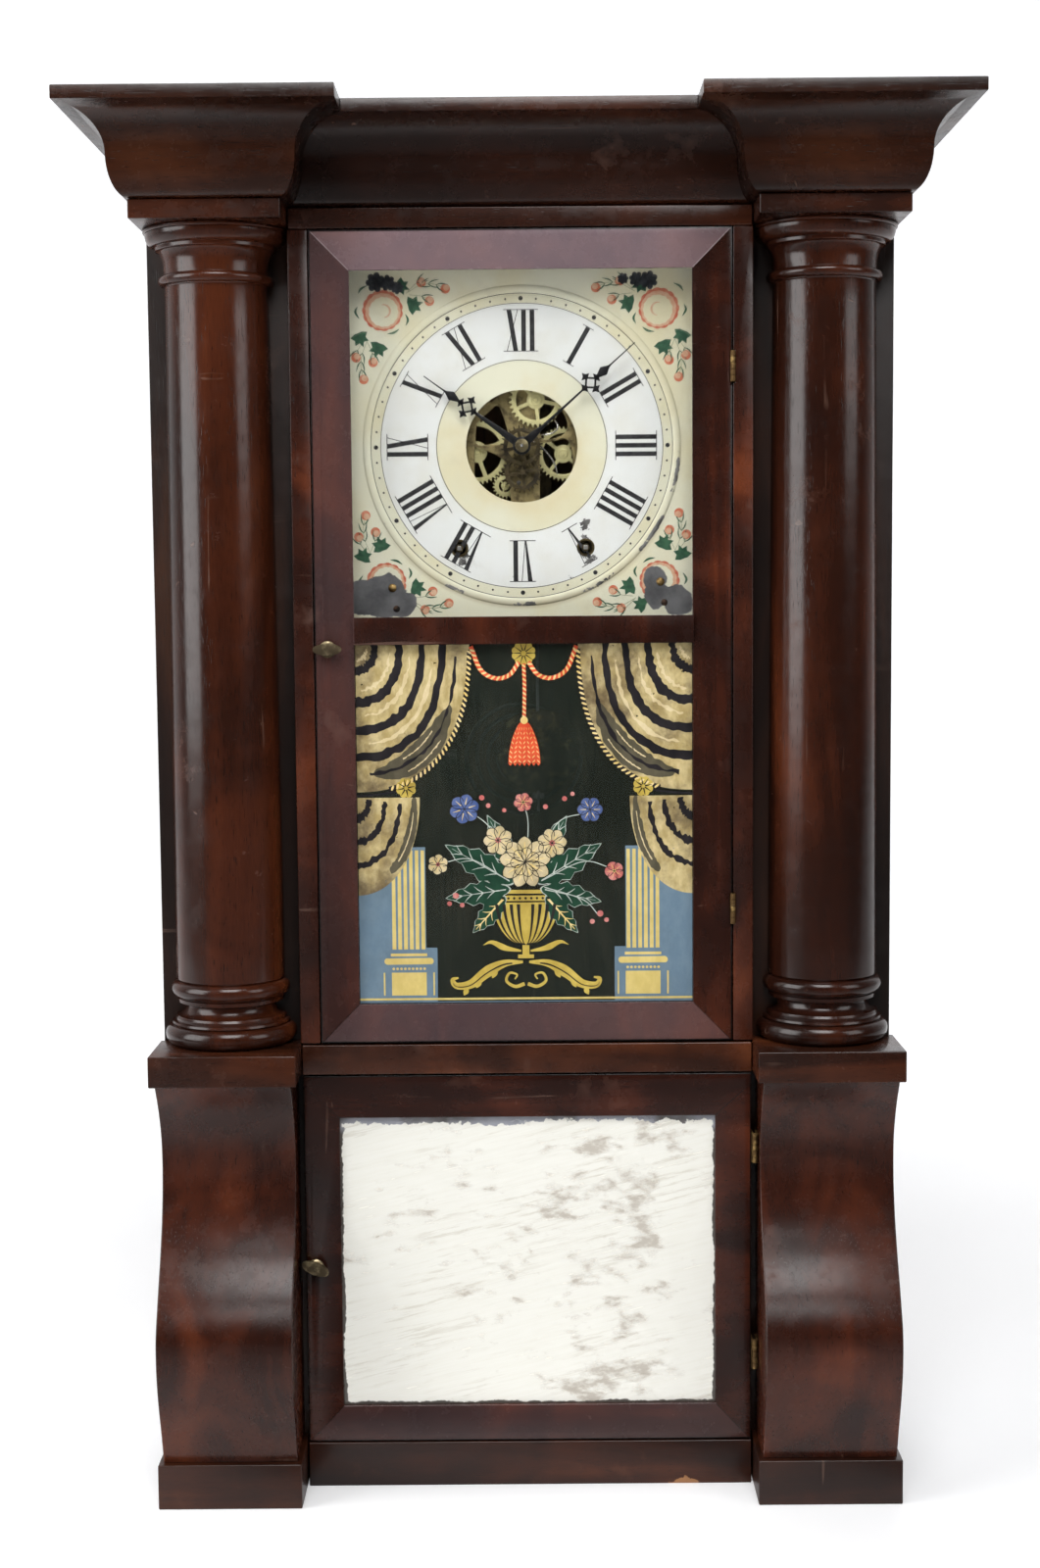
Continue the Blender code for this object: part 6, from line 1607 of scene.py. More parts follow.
        rose = np.array((0.0192, 0.0215))
        rims = [
            petal_ring(rose + shift, radius, 15, depth, turn) for shift, radius, depth, turn in (
                ((0.0, 0.0), 0.0128, 0.07, 0.0), ((0.0002, 0.0004), 0.0112, 0.05, 0.2),
                ((0.0006, 0.0009), 0.0093, 0.06, 0.2))]
        for tone, outer, inner in zip(("coral", "blush"), rims, rims[1:]):
            painters[tone].strip(at(np.vstack((outer, outer[:1]))), at(np.vstack((inner, inner[:1]))))
        swirl = rose + (0.0006, 0.0004) + 0.0040 * ways(np.linspace(-1.9, 1.5, 26))
        blush.stroke(at(swirl), 0.0013, (0.25, 2.9))
        for x, z, heading, size in CORNER_IVY:
            green.patch(at(np.array((x, z)) + self.ivy(heading, size)))
        for blade in CORNER_BLADES:
            green.stroke(at(bent(blade, 14)), 0.0014)
        for index, stem in enumerate(CORNER_STEMS):
            path = bent(stem, 20)
            painters["sage"].ribbon(at(path), 0.00032)
            berry = np.array(stem[-1])
            painters["berry"].disc(at(berry), 0.0030, 20)
            blush.disc(at(berry + (0.0006, -0.0007)), 0.0019, 16)
            for share in (6, 10, 14) if index % 3 == 0 else (9,):
                ahead = path[share + 1] - path[share]
                heading = math.atan2(ahead[1], ahead[0])
                for swing in (0.55, -0.55):
                    way, curl = ways(heading + swing), ways(heading + swing * 0.2)
                    green.stroke(at(bent([
                        path[share], path[share] + way * 0.0034,
                        path[share] + way * 0.0044 + curl * 0.0032], 12)), 0.00085, (0.2, 2.95))

    @staticmethod
    def ivy(heading: float, size: float) -> Array:
        """A five-pointed ivy leaf: its reach is long at five headings and short between them."""
        turn = np.array((0.0, 0.35, 0.80, 1.15, 1.75, 2.35, math.pi))
        reach = np.array((0.62, 0.36, 0.56, 0.34, 0.50, 0.30, 0.20)) * size
        turn = np.concatenate((turn, -turn[1:-1][::-1])) + heading
        return np.concatenate((reach, reach[1:-1][::-1]))[:, None] * ways(turn)

    def build(self) -> None:
        """Make the sheet, paint it and fit its screws and winding bushes."""
        dress(self.plate(), DialEnamel(), "case", "painted_dial", "dial_plate")
        black = Painter(self.lay)
        self.numerals(black)
        self.minute_track(black)
        dress(black.piece("dial_black_work"), DialPaint(), "case", "painted_dial")
        painters = {
            key: Painter(lambda flat, lift=lift: self.lay(flat) - (0.0, lift, 0.0))
            for key, (_, _, lift) in DIAL_TONES.items()}
        for side in (-1, 1):
            for up in (-1, 1):
                self.corner(painters, side, up)
        # Painted shade: near-black buds over the worn top corners.
        for x, z, reach in WORN_BUDS_IN_SHADE:
            painters["bud"].patch(petal_ring((x, z), reach, 7, 0.30, turn=x * 90))
        for key, (deep, pale, _) in DIAL_TONES.items():
            finish = DialPaint("dial worn bud" if key == "bud" else f"dial {key}", deep, pale, 0.2)
            dress(painters[key].piece(f"dial_{key}_work"), finish, "case", "painted_dial")
        self.fit()

    def fit(self) -> None:
        """Turn the screws, nails, winding bushes and winding squares."""
        screw = OldBrass("dial screw brass", tarnish=0.7, rough=0.4)
        nail = OldSteel("rusted nail", (0.030, 0.026, 0.024), rust=0.8, rough=0.7)
        bushing = OldBrass("winding bush", (0.20, 0.155, 0.075), (0.05, 0.038, 0.02), 0.7, 0.4)
        steel = OldSteel("winding square", (0.62, 0.61, 0.58), rust=0.1, rough=0.3)
        for index, (x, z) in enumerate(self.screws, 1):
            dress(turned(f"dial_screw_{index}", [
                (0.0, -0.0017), (0.0012, -0.0016), (0.0021, -0.0011), (0.0026, -0.0003), (0.0026, 0.0),
                (0.0, 0.0)],
                (x, self.front, z), 28), screw, "case", "brass")
            dress(turned(f"dial_nail_{index}", [
                (0.0, -0.0004), (0.0013, -0.0004), (0.0021, -0.0001), (0.0021, 0.0), (0.0, 0.0)],
                (x + 0.0025, self.front, z - 0.0132), 24), nail, "case", "black_steel")
        for index, (x, z) in enumerate(self.winding, 1):
            dress(turned(f"winding_bush_{index}", [
                (self.winding_radius - inset, depth) for inset, depth in (
                    (0.0002, 0.0), (0.0002, -0.0003), (0.0012, -0.0004), (0.0016, 0.0001), (0.0017, 0.0022),
                    (0.0002, 0.0022), (0.0002, 0.0))], (x, self.front, z), 40), bushing, "case", "brass")
            dress(block(
                f"winding_square_{index}", (x - 0.00125, self.front - 0.0018, z - 0.00125),
                (x + 0.00125, self.front - 0.0008, z + 0.00125), 0.0002),
                steel, ("strike_drum", "time_drum")[index - 1], "blued_steel")


# Hands


def mirrored(half: list[tuple]) -> Array:
    """An outline from its right half, listed from the foot up."""
    return np.array([(-x, z) for x, z in half] + half[::-1])


@dataclass
class Hand:
    """One black hand: a tapered shaft, an open square with horned corners, a diamond and a needle tip."""

    name: str
    length: float
    cross: float
    diamond: float
    angle: float
    front: float
    neck: float
    boss: float = 0.0056
    hole: float = 0.0030
    root: float = 0.0026
    frame: float = 0.0034
    thickness: float = 0.0008

    def outlines(self) -> dict[str, list[Array]]:
        """Return the outlines of the boss, shaft, frame, needle and horns."""
        cross, top, frame = self.cross, self.diamond, self.frame
        shaft = mirrored([
            (self.root, self.boss * 0.6), (self.root * 0.9, self.boss + 0.004),
            (self.neck, self.boss + 0.012), (self.neck * 0.55, cross - frame * 1.4)])
        needle = mirrored([
            (0.0007, cross + frame * 1.3), (0.0010, top - 0.0052), (0.0031, top - 0.0002),
            (0.0008, top + 0.0040), (0.00045, top + 0.0065), (0.00030, self.length)])
        corners = np.array(((0, -1), (1, 0), (0, 1), (-1, 0)))
        square, inside = ((0, cross) + corners * frame * size for size in (1.45, 0.95))
        lobes = 0.0033 * np.array((1.0, 0.50, 1.0, 0.50, 0.62, 0.50, 1.0, 0.50))[:, None]
        turn = np.linspace(0, FULL_TURN, 8, endpoint=False)
        horns = {
            f"horn{index}": [square[index] + lobes * ways(turn + math.atan2(x, z))[:, ::-1]]
            for index, (x, z) in enumerate(corners)}
        return {
            "boss": [circle(self.boss, 40), circle(self.hole, 28)], "shaft": [shaft],
            "frame": [square, inside], "needle": [needle], **horns}

    def build(self) -> None:
        """Saw the parts out of sheet, join them and turn them to their hour."""
        middle = (0.0, self.front + self.thickness / 2, DIAL_CENTRE[1])
        whole = joined(f"{self.name}_sawn", [
            sawn_plate(f"{self.name}_{key}", shape, middle, self.thickness, 0.00012, math.radians(self.angle))
            for key, shape in self.outlines().items()])
        dress(whole, BlackPaint(), self.name, "black_steel", self.name)


# Movement


PLATE_WINDOWS = (
    ([(-27.5, 15), (-21, 21), (-15.5, 25), (-12, 18), (-9.6, 9), (-12, 3.4), (-20, 2.8), (-27.8, 3.4)], 33),
    ([(-28.6, -1.4), (-21, -4), (-13.5, -8), (-9.2, -13), (-8.6, -24), (-9, -40), (-18, -44), (-28, -42),
      (-29, -20)], 37),
    ([(13, 28), (18, 29), (25, 22), (28.2, 14), (26.2, 9), (20, 6.4), (13.6, 6.2), (12, 14)], 33),
    ([(12.6, 0.6), (20, 1.4), (27, 3.0), (31, -4), (31, -22), (30, -42), (20, -44), (13, -40),
      (12.2, -20)], 37),
    ([(-20, 30), (-26, 34), (-56, 40), (-57, 62), (-30, 66), (-12, 62), (-11, 40)], 29),
    ([(16, 35), (28, 30), (52, 38), (57, 58), (40, 66), (18, 64), (14, 48)], 29),
    ([(-36, 24), (-56, 26), (-58, 0), (-57, -40), (-50, -44), (-37, -40), (-36, -10)], 29),
    ([(37, 22), (56, 26), (58, 0), (57, -40), (50, -44), (38, -40), (37, -10)], 29))
WIRES = {
    "warning_wire": ((12.0, 15.2, 7.2), (14.1, 13.4, 7.5), (18.7, 13.0, 8.2), (22.2, 13.0, 10.6),
                     (22.6, 13.2, 13.6), (21.0, 15.6, 16.5)),
    "lifting_wire": ((7.4, 14.2, 3.4), (10.0, 13.4, 1.6), (13.6, 13.2, -1.2), (18.7, 13.2, -7.4),
                     (21.2, 13.4, -12.2), (22.4, 15.8, -17.0))}


@dataclass
class MovementFront:
    """What shows through the dial's open middle: the skeleton front plate, wheels, wires and a rivet."""

    plate_front: float = 0.0168
    plate_thickness: float = 0.0018
    escape: tuple = (0.009, 0.0293)
    escape_front: float = 0.0147

    def wheel(self, name: str, at: tuple, radius: float, teeth: int, front: float, arms: int, start: float,
              hub: float, lean: float = 0.0) -> Piece:
        """Saw a toothed wheel with crossings and put a turned hub on it.

        A tooth is a foot, two tip points and a foot. A window is an arc near the hub and one near the rim.

        Args:
            name: the piece's name.
            at: its centre from the dial's centre.
            radius: to its tooth tips.
            teeth: how many teeth.
            front: its front face.
            arms: how many spokes.
            start: the angle of its first spoke.
            hub: the hub's radius.
            lean: how far the teeth lean, as a share of their pitch.

        Returns:
            The finished wheel.
        """
        centre = (at[0], front, DIAL_CENTRE[1] + at[1])
        depth = 3.6 * radius / teeth
        share = np.array((0.0, 0.27 + lean, 0.43 + lean, 0.70))
        reach = np.array((radius - depth, radius, radius, radius - depth))
        angle = (np.arange(teeth)[:, None] + share[None, :]) * (FULL_TURN / teeth)
        outlines = [(reach[:, None] * ways(angle)).reshape(-1, 2)]
        inner, outer, spoke, half = radius * 0.33, radius - depth - 0.0026, radius * 0.13, math.pi / arms
        low, high = half - spoke / 2 / inner, half - spoke / 2 / outer
        for index in range(arms):
            middle = start + FULL_TURN * (index + 0.5) / arms
            outlines.append(np.concatenate((
                inner * ways(middle + np.linspace(low, -low, 7)),
                outer * ways(middle + np.linspace(-high, high, 9)))))
        disc = sawn_plate(f"{name}_disc", outlines, (centre[0], front + 0.0006, centre[2]), 0.0012, 0.0001)
        collar = turned(f"{name}_hub", [
            (0.0, -0.0012), (hub * 0.30, -0.0012), (hub * 0.34, -0.0006), (hub * 0.72, -0.0006),
            (hub * 0.80, -0.0003), (hub, -0.0001), (hub, 0.0004), (0.0, 0.0004)], centre, 32)
        return joined(name, [disc, collar])

    def plate(self) -> Piece:
        """The skeleton plate: a broad centre strap, curved arms and side straps."""
        outlines = [np.array(((-66, -102), (66, -102), (66, 75), (-66, 75))) * 0.001]
        for points, steps in PLATE_WINDOWS:
            window = bent(points + points[:1], steps)[:-1]
            middle = window.mean(axis=0)
            outlines.append((middle + (window - middle) * 1.10) * 0.001)
        outlines += [circle(0.0036, 24)] + [circle(0.0034, 24, (side * 0.0398, -0.0635)) for side in (-1, 1)]
        return sawn_plate(
            "skeleton_front_plate", outlines,
            (0.0, self.plate_front + self.plate_thickness / 2, DIAL_CENTRE[1]), self.plate_thickness, 0.0002)

    def build(self) -> None:
        """Build and dress the plate, the wheels, the wires and the rivet."""
        dark = OldBrass("plate brass", (0.40, 0.32, 0.145), (0.105, 0.078, 0.036), 0.5, 0.40, 0.45)
        bright = OldBrass("wheel brass", (0.74, 0.68, 0.34), (0.36, 0.31, 0.13), 0.15, 0.36, 0.25)
        steel = OldSteel("bright wire", (0.62, 0.60, 0.56), rust=0.1, rough=0.26)
        dress(self.plate(), dark, "case", "brass", "movement_front_plate")
        escape = self.wheel(
            "escape_wheel_crossed", self.escape, 0.017, 32, self.escape_front, 5, 1.05, 0.0044, 0.08)
        dress(escape, bright, "escape_wheel", "brass", "escape_wheel")
        for name, at, radius, teeth, front, arms, start in (
                ("second_wheel", (-0.0287, -0.0025), 0.0205, 44, 0.0205, 4, 0.35),
                ("count_wheel", (0.0262, -0.0040), 0.0172, 38, 0.0212, 4, 0.9),
                ("third_pinion_wheel", (-0.0108, -0.0240), 0.0080, 20, 0.0196, 3, 0.2)):
            wheel = self.wheel(name, at, radius, teeth, front, arms, start, radius * 0.2)
            dress(wheel, bright, "case", "brass")
        for name, points in WIRES.items():
            path = bent(np.array(points) * 0.001, 48) + (0.0, 0.0, DIAL_CENTRE[1])
            dress(tube(name, path, 0.00045, 10), steel, "case", "blued_steel")
        rivet = turned(
            "plate_rivet", [(0.0, -0.0007), (0.0008, -0.0006), (0.0013, -0.0002), (0.0013, 0.0), (0.0, 0.0)],
            (-0.0021, self.plate_front, DIAL_CENTRE[1] - 0.0222), 20)
        dress(rivet, OldSteel("rivet steel"), "case", "blued_steel")


# Tablet


@dataclass(frozen=True)
class TabletPaint(Finish):
    """One oil colour of the glass picture, mottled with age and flaked through in places."""

    name: str = "tablet paint"
    deep: Colour = (0.40, 0.27, 0.08)
    pale: Colour = (0.56, 0.42, 0.16)
    aged: Colour = (0.20, 0.13, 0.05)
    age: float = 0.5
    flakes: float = 0.3

    def look(self, sheet: NodeSheet, place: Signal) -> dict[str, object]:
        """Two tones in brush streaks, brown clouds of age, and alpha nought where the paint has flaked."""
        brush = sheet.noise(sheet.mapped(place, (1.0, 1.0, 0.55)), 150.0, 5.0, 0.62)
        cloud = sheet.noise(place, 32.0, 6.0, 0.66).span(0.42, 0.70) * self.age
        edge = 0.74 - 0.14 * self.flakes
        flaked = sheet.noise(place, 210.0, 7.0, 0.7).span(edge, edge + 0.015)
        colour = sheet.mix(brush.span(0.32, 0.68), self.deep, self.pale)
        return {
            "Base Color": sheet.mix(cloud, colour, self.aged), "Roughness": brush.line(0.0, 1.0, 0.30, 0.50),
            "Coat Weight": 0.6, "Coat Roughness": 0.04, "Normal": sheet.bump(brush, 0.12, 0.0002),
            "Alpha": sheet.maths("SUBTRACT", 1.0, flaked, clamp=True)}


TABLET_TONES = {
    "slate": ((0.118, 0.188, 0.255), (0.145, 0.220, 0.285), (0.08, 0.11, 0.12), 0.25, 0.1),
    "pillar": ((0.60, 0.465, 0.135), (0.70, 0.555, 0.19), (0.50, 0.36, 0.11), 0.4, 0.2),
    "gold": ((0.400, 0.300, 0.115), (0.64, 0.52, 0.26), (0.130, 0.090, 0.042), 1.0, 0.5),
    "olive": ((0.070, 0.062, 0.036), (0.115, 0.098, 0.058), (0.05, 0.04, 0.025), 0.5, 0.1),
    "umber": ((0.0085, 0.007, 0.009), (0.020, 0.016, 0.018), (0.004, 0.003, 0.004), 0.3, 0.25),
    "cream": ((0.62, 0.50, 0.27), (0.74, 0.62, 0.37), (0.34, 0.24, 0.11), 0.4, 0.2),
    "ochre": ((0.475, 0.340, 0.050), (0.60, 0.45, 0.085), (0.25, 0.16, 0.03), 0.5, 0.2),
    "rim": ((0.33, 0.37, 0.32), (0.46, 0.50, 0.44), (0.20, 0.21, 0.18), 0.3, 0.1),
    "green": ((0.0035, 0.036, 0.017), (0.009, 0.062, 0.030), (0.003, 0.02, 0.01), 0.3, 0.1),
    "vein": ((0.40, 0.44, 0.39), (0.56, 0.60, 0.54), (0.20, 0.21, 0.18), 0.3, 0.1),
    "petal": ((0.50, 0.40, 0.20), (0.70, 0.58, 0.35), (0.22, 0.17, 0.10), 0.5, 0.2),
    "blue": ((0.045, 0.085, 0.25), (0.12, 0.17, 0.36), (0.04, 0.06, 0.16), 0.3, 0.1),
    "pink": ((0.52, 0.115, 0.10), (0.68, 0.27, 0.24), (0.22, 0.08, 0.07), 0.3, 0.1),
    "scarlet": ((0.62, 0.050, 0.012), (0.80, 0.105, 0.028), (0.33, 0.03, 0.01), 0.3, 0.1),
    "light": ((0.72, 0.52, 0.16), (0.84, 0.68, 0.34), (0.5, 0.3, 0.1), 0.2, 0.05),
    "ink": ((0.010, 0.008, 0.006), (0.022, 0.018, 0.014), (0.004, 0.003, 0.003), 0.3, 0.1)}
LEAVES = (
    ((-8, -37), 2.62, 48, 19, False), ((8, -37), 0.55, 46, 18, False), ((-10, -41), 3.28, 40, 16, False),
    ((10, -41), -0.22, 38, 16, False), ((-4, -32), 2.05, 42, 16, False), ((5, -32), 1.05, 42, 16, False),
    ((-13, -46), 3.98, 30, 14, True), ((13, -46), -0.86, 30, 14, True))
STEMS = (
    ((-6, -30), (-22, -2), (-36, 9)), ((6, -30), (20, 0), (38, 7)), ((-10, -36), (-34, -22), (-52, -24)),
    ((10, -36), (36, -24), (54, -28)), ((0, -30), (2, 0), (-1, 14)), ((12, -40), (36, -48), (46, -58)))
BLOOMS = (
    ((0, -24), 16.5, 9, "petal", "ochre", 0.2), ((0, -24), 9.5, 7, "cream", "ochre", 0.5),
    ((-17, -10), 9.5, 7, "petal", "pink", 0.5), ((17, -12), 9.5, 7, "petal", "pink", 0.1),
    ((-38, 10), 9.6, 6, "blue", "vein", 0.3), ((41, 9), 8.2, 6, "blue", "vein", 0.0),
    ((-55, -25), 6.6, 6, "petal", "pink", 0.4), ((56, -30), 6.2, 5, "pink", "light", 0.7),
    ((-1, 14), 6.2, 6, "pink", "light", 0.2))
BUDS = (
    (-27, 17, 1.7), (-23, 12, 1.5), (25, 16, 1.6), (30, 19, 1.4), (13, 11, 1.6), (-13, 9, 1.4),
    (47, -57, 2.0), (42, -62, 1.6), (51, -61, 1.5), (-44, -45, 1.9), (-48, -50, 1.5), (-40, -51, 1.5))


@dataclass
class Tablet:
    """The picture on the upper door's lower pane: curtains, pillars, a bowl of flowers and a tassel.

    Sizes are millimetres from the pane's middle until the painters carry them to metres.
    """

    middle: float = 0.4255
    face: float = -0.0112
    half_width: float = 105.2
    half_height: float = 113.2
    seed: int = 11

    def __post_init__(self) -> None:
        """Start a painter for each colour, laid in this order from the glass outwards."""
        self.painters = {
            tone: Painter(lambda flat, lift=(index + 1) * PAINT_FILM / 3: np.column_stack((
                flat[:, 0] * 0.001, np.full(len(flat), self.face - lift), flat[:, 1] * 0.001 + self.middle)))
            for index, tone in enumerate(TABLET_TONES)}
        self.random = np.random.default_rng(self.seed)
        self.details: list[tuple] = []
        self.lines: list[tuple] = []
        self.hearts: list[tuple] = []

    def box(self, tone: str, left: float, low: float, right: float, high: float) -> None:
        """A flat rectangle."""
        self.painters[tone].patch([(left, low), (right, low), (right, high), (left, high)])

    def ragged(self, count: int, size: float) -> Array:
        """A wandering row of numbers: noise smoothed by its neighbours."""
        row = self.random.normal(0, size, count + 4)
        return (row[:-4] + row[1:-3] * 2 + row[2:-2] * 3 + row[3:-1] * 2 + row[4:]) / 5

    def fold(self, side: int, corner: tuple, reach: tuple, low: float, high: float, tone: str,
             start: float = 0.0, end: float = 1.0, rough: float = 0.006, taper: float = 0.0,
             power: float = 2.4) -> None:
        """A band of cloth between two similar curves about a corner of the pane.

        A point at share k and turn t is the corner less k times reach times (cos t, sin t) to the power
        two over the given power.

        Args:
            side: -1 for left and 1 for right.
            corner: where the cloth hangs from.
            reach: its reach across and down.
            low: the share that the band runs from.
            high: the share that it runs to.
            tone: its colour.
            start: where it starts, as a share of the quarter turn.
            end: where it ends.
            rough: how far its edges wander.
            taper: how far its ends narrow.
            power: how square the curve is.
        """
        turn = np.linspace(start, end, 72) * math.pi / 2
        way = ways(turn) ** (2 / power)
        narrow = 1 - (1 - np.sin(np.linspace(0.0, 1.0, 72) * math.pi) ** 0.5) * taper
        rows, middle = [], (low + high) / 2
        for share, size in ((low, rough), (high, rough if high < 1 else 0.0)):
            reach_now = middle + (share - middle) * narrow + self.ragged(len(turn), size)
            x = np.clip(corner[0] - reach_now * reach[0] * way[:, 0], -np.inf, self.half_width)
            z = np.clip(corner[1] - reach_now * reach[1] * way[:, 1], -self.half_height, self.half_height)
            rows.append(np.column_stack((side * x, z)))
        self.painters[tone].strip(*rows)

    def twist(self, path: Array, width: float, first: str, second: str, lay: float) -> None:
        """A twisted cord: a band of one colour crossed by slanting dashes of another."""
        self.painters[first].ribbon(path, width)
        run = run_of(path)
        for at in np.arange(lay / 2, run[-1] - lay / 4, lay):
            place = placed(at, run, path)
            ahead = placed(min(at + 0.5, run[-1]), run, path) - place
            ahead /= np.linalg.norm(ahead) + 1e-9
            reach = np.array((-ahead[1], ahead[0])) * width * 0.48 + ahead * lay * 0.30
            dash = np.array((place - reach, place, place + reach))
            self.painters[second].ribbon(dash, np.array((0.35, 0.60, 0.35)) * lay * 0.75)

    def rosette(self, rose: tuple, radius: float, lobes: int, depth: float, turn: float, reaches: tuple,
                widths: tuple) -> None:
        """A knot of cloth: a lobed round with a dark line along each lobe."""
        self.painters["ochre"].patch(petal_ring(rose, radius, lobes, depth))
        for index in range(lobes):
            way = ways(FULL_TURN * index / lobes + turn)
            self.painters["ink"].ribbon(np.array([rose + way * reach for reach in reaches]), np.array(widths))

    def curtain(self, side: int) -> None:
        """One tied-back curtain: the swag above its tie and the fall below it."""
        corner, reach = np.array((106.0, 114.0)), np.array((72.0, 93.0))
        swag = (
            (0.0, 1.0, "gold", 0.0, 1.0, 0.0), (0.80, 0.975, "olive", 0.26, 0.92, 0.006, 1.0),
            (0.15, 0.21, "umber"), (0.36, 0.425, "umber"), (0.555, 0.615, "umber"), (0.735, 0.79, "umber"),
            (0.875, 0.895, "umber", 0.04, 0.94),
            *((low, low + 0.028, "cream", 0.08, 0.92, 0.006, 1.0) for low in (0.10, 0.30, 0.47, 0.665)),
            *((low, low + 0.008, "cream", 0.45, 0.72, 0.002) for low in (0.84, 0.93)))
        for band in swag:
            self.fold(side, corner, reach, *band)
        edge = corner - reach * ways(np.linspace(0.0, 1.0, 70) * math.pi / 2) ** (1 / 1.2)
        edge = edge[(edge[:, 1] < self.half_height) & (edge[:, 1] > 23.0)] * (side, 1)
        self.twist(edge, 2.8, "umber", "light", 3.3)
        fall = (
            (0.0, 1.0, "gold", 0.0, 1.0, 0.0),
            (0.16, 0.25, "umber", 0.05, 1.0, 0.01), (0.42, 0.49, "umber", 0.05, 1.0, 0.01),
            (0.66, 0.72, "umber", 0.05, 1.0, 0.01),
            (0.84, 0.985, "olive", 0.0, 0.62, 0.006, 0.8), (0.90, 0.915, "cream", 0.1, 0.5, 0.002))
        for band in fall:
            self.fold(side, (106.0, 17.5), (40.0, 62.0), *band, power=2.1)
        tie = bent([(side * 106, 18.6), (side * 90, 19.8), (side * 76, 22.2)], 16)
        self.painters["umber"].ribbon(tie, 1.3)
        self.rosette((side * 74.5, 23.5), 6.4, 8, 0.16, 0.2, (1.2, 3.4, 5.6), (0.9, 0.6, 0.25))

    def pillar(self, side: int) -> None:
        """A fluted pillar on a square base, standing on a slate wall."""
        left, right = sorted((side * 63.0, side * 85.0))
        outer, inner, paint = side * self.half_width, side * 56.0, self.painters["pillar"]
        self.box("slate", min(outer, inner), -self.half_height, max(outer, inner), -78.0)
        self.box("slate", min(outer, left), -78.0, max(outer, right), -14.0)
        width = (right - left) / 6
        for index in range(6):
            at = left + (index + 0.5) * width
            paint.patch([
                (at - width * 0.33, -79.0), (at + width * 0.33, -79.0), (at + width * 0.29, -16.0),
                (at - width * 0.29, -16.0)])
        self.box("pillar", left - 0.5, -83.4, right + 0.5, -81.6)
        ends = circle(2.1, 16)
        shape = np.concatenate((
            ends[ends[:, 0] <= 0] + (left - 2.5, -86.6), ends[ends[:, 0] > 0] + (right + 2.5, -86.6)))
        order = np.argsort(np.arctan2(shape[:, 1] + 86.6, shape[:, 0] - (left + right) / 2))
        paint.patch(shape[order])
        for index in range(9):
            paint.disc((left + (index + 0.5) * (right - left) / 9, -91.4), 0.85, 10)
        for low, high in ((left, right), (left - 5.2, left - 4.2), (right + 4.2, right + 5.2)):
            self.box("pillar", low, -108.5, high, -93.8)

    def leaf(self, base: tuple, heading: float, length: float, width: float, bright: bool) -> None:
        """A dark toothed leaf with a pale outline, and its midrib and veins kept for later."""
        outline = leaf_outline(base, heading, length, width, 5, 0.26)
        middle = outline.mean(axis=0)
        self.painters["rim"].patch(middle + (outline - middle) * 1.05)
        self.painters["green"].patch(outline)
        way = ways(heading)
        across = np.array((-way[1], way[0]))
        veins = self.painters["light" if bright else "vein"]
        midrib = np.asarray(base) + way * length * np.linspace(0.06, 0.92, 9)[:, None]
        self.details.append((veins, midrib, np.linspace(0.9, 0.25, 9) * (1.7 if bright else 0.8)))
        for share in (0.24, 0.42, 0.60, 0.76):
            start = base + way * length * share
            reach = across * width * 0.30 * math.sin(math.pi * share ** 0.8)
            for swing in (1, -1):
                tip = start + way * length * 0.13 + reach * swing
                vein = np.array((start, (start + tip) / 2 + way * 0.4, tip))
                self.details.append((veins, vein, np.array((0.7, 0.55, 0.2))))

    def bloom(self, centre: tuple, radius: float, petals: int, tone: str, heart: str, turn: float) -> None:
        """A flower of round-ended petals about a heart, each petal with a dark edge and a pale line.

        At share s of its reach a petal is as wide as its width times sin(pi s to the 1.5) to the 0.6.
        """
        centre = np.asarray(centre, float)
        share = np.linspace(0.0, 1.0, 17)[:, None]
        half = radius * 2.5 / petals * np.sin(math.pi * share ** 1.5) ** 0.6
        for index in range(petals):
            way = ways(turn + FULL_TURN * index / petals)
            across = np.array((-way[1], way[0]))
            near, far = (centre + way * radius * share + across * swing * half for swing in (1, -1))
            self.painters[tone].patch(np.vstack((near, far[-2:0:-1])))
            self.painters["ink"].ribbon(np.vstack((near, far[-2:5:-1])), 0.42)
            line = centre + way * radius * np.array((0.30, 0.55, 0.78))[:, None]
            self.lines.append((self.painters["light"], line, np.array((0.5, 0.35, 0.15)) * radius / 7))
        self.hearts.append((self.painters[heart], centre, radius * 0.20))

    def bowl(self) -> None:
        """A low gadrooned bowl on a stem, standing on a stepped and curled foot."""
        ochre, ink = self.painters["ochre"], self.painters["ink"]
        self.box("ochre", -18.5, -44.0, 18.5, -41.6)
        self.box("ochre", -16.5, -48.6, 16.5, -45.2)
        for index in range(9):
            ink.disc((-14.4 + index * 3.6, -46.9), 0.8, 10)
        level = np.linspace(0, 1, 24)
        half = 20.5 * np.sqrt(np.clip(1 - level ** 2.1, 0, 1)) * 0.82 + 3.0 * (1 - level) + 1.4
        edge = np.column_stack((half, -49.6 - 27.0 * level))
        ochre.strip(edge * (-1, 1), edge)
        for index in (-4, -3, -2, -1, 1, 2, 3, 4):
            ink.ribbon((edge * (index / 4.6, 1))[1:], np.linspace(2.1, 0.45, 23))
        self.box("ochre", -2.2, -83.0, 2.2, -76.0)
        self.box("ochre", -5.0, -85.2, 5.0, -82.8)
        for side in (-1, 1):
            scroll, curl, arm = (
                bent(np.array(points) * (side, 1), steps) for steps, points in (
                    (44, ((2, -87.5), (14, -88.5), (25, -94.0), (35, -101.5), (44, -102.5), (46.5, -98.6),
                          (42.8, -97.4))),
                    (30, ((1, -101.5), (7, -103.2), (12.5, -99.6), (10.5, -94.6), (5.8, -95.6),
                          (7.2, -98.6))),
                    (24, ((3, -80.5), (13, -78.6), (21.5, -74.8), (27, -76.6)))))
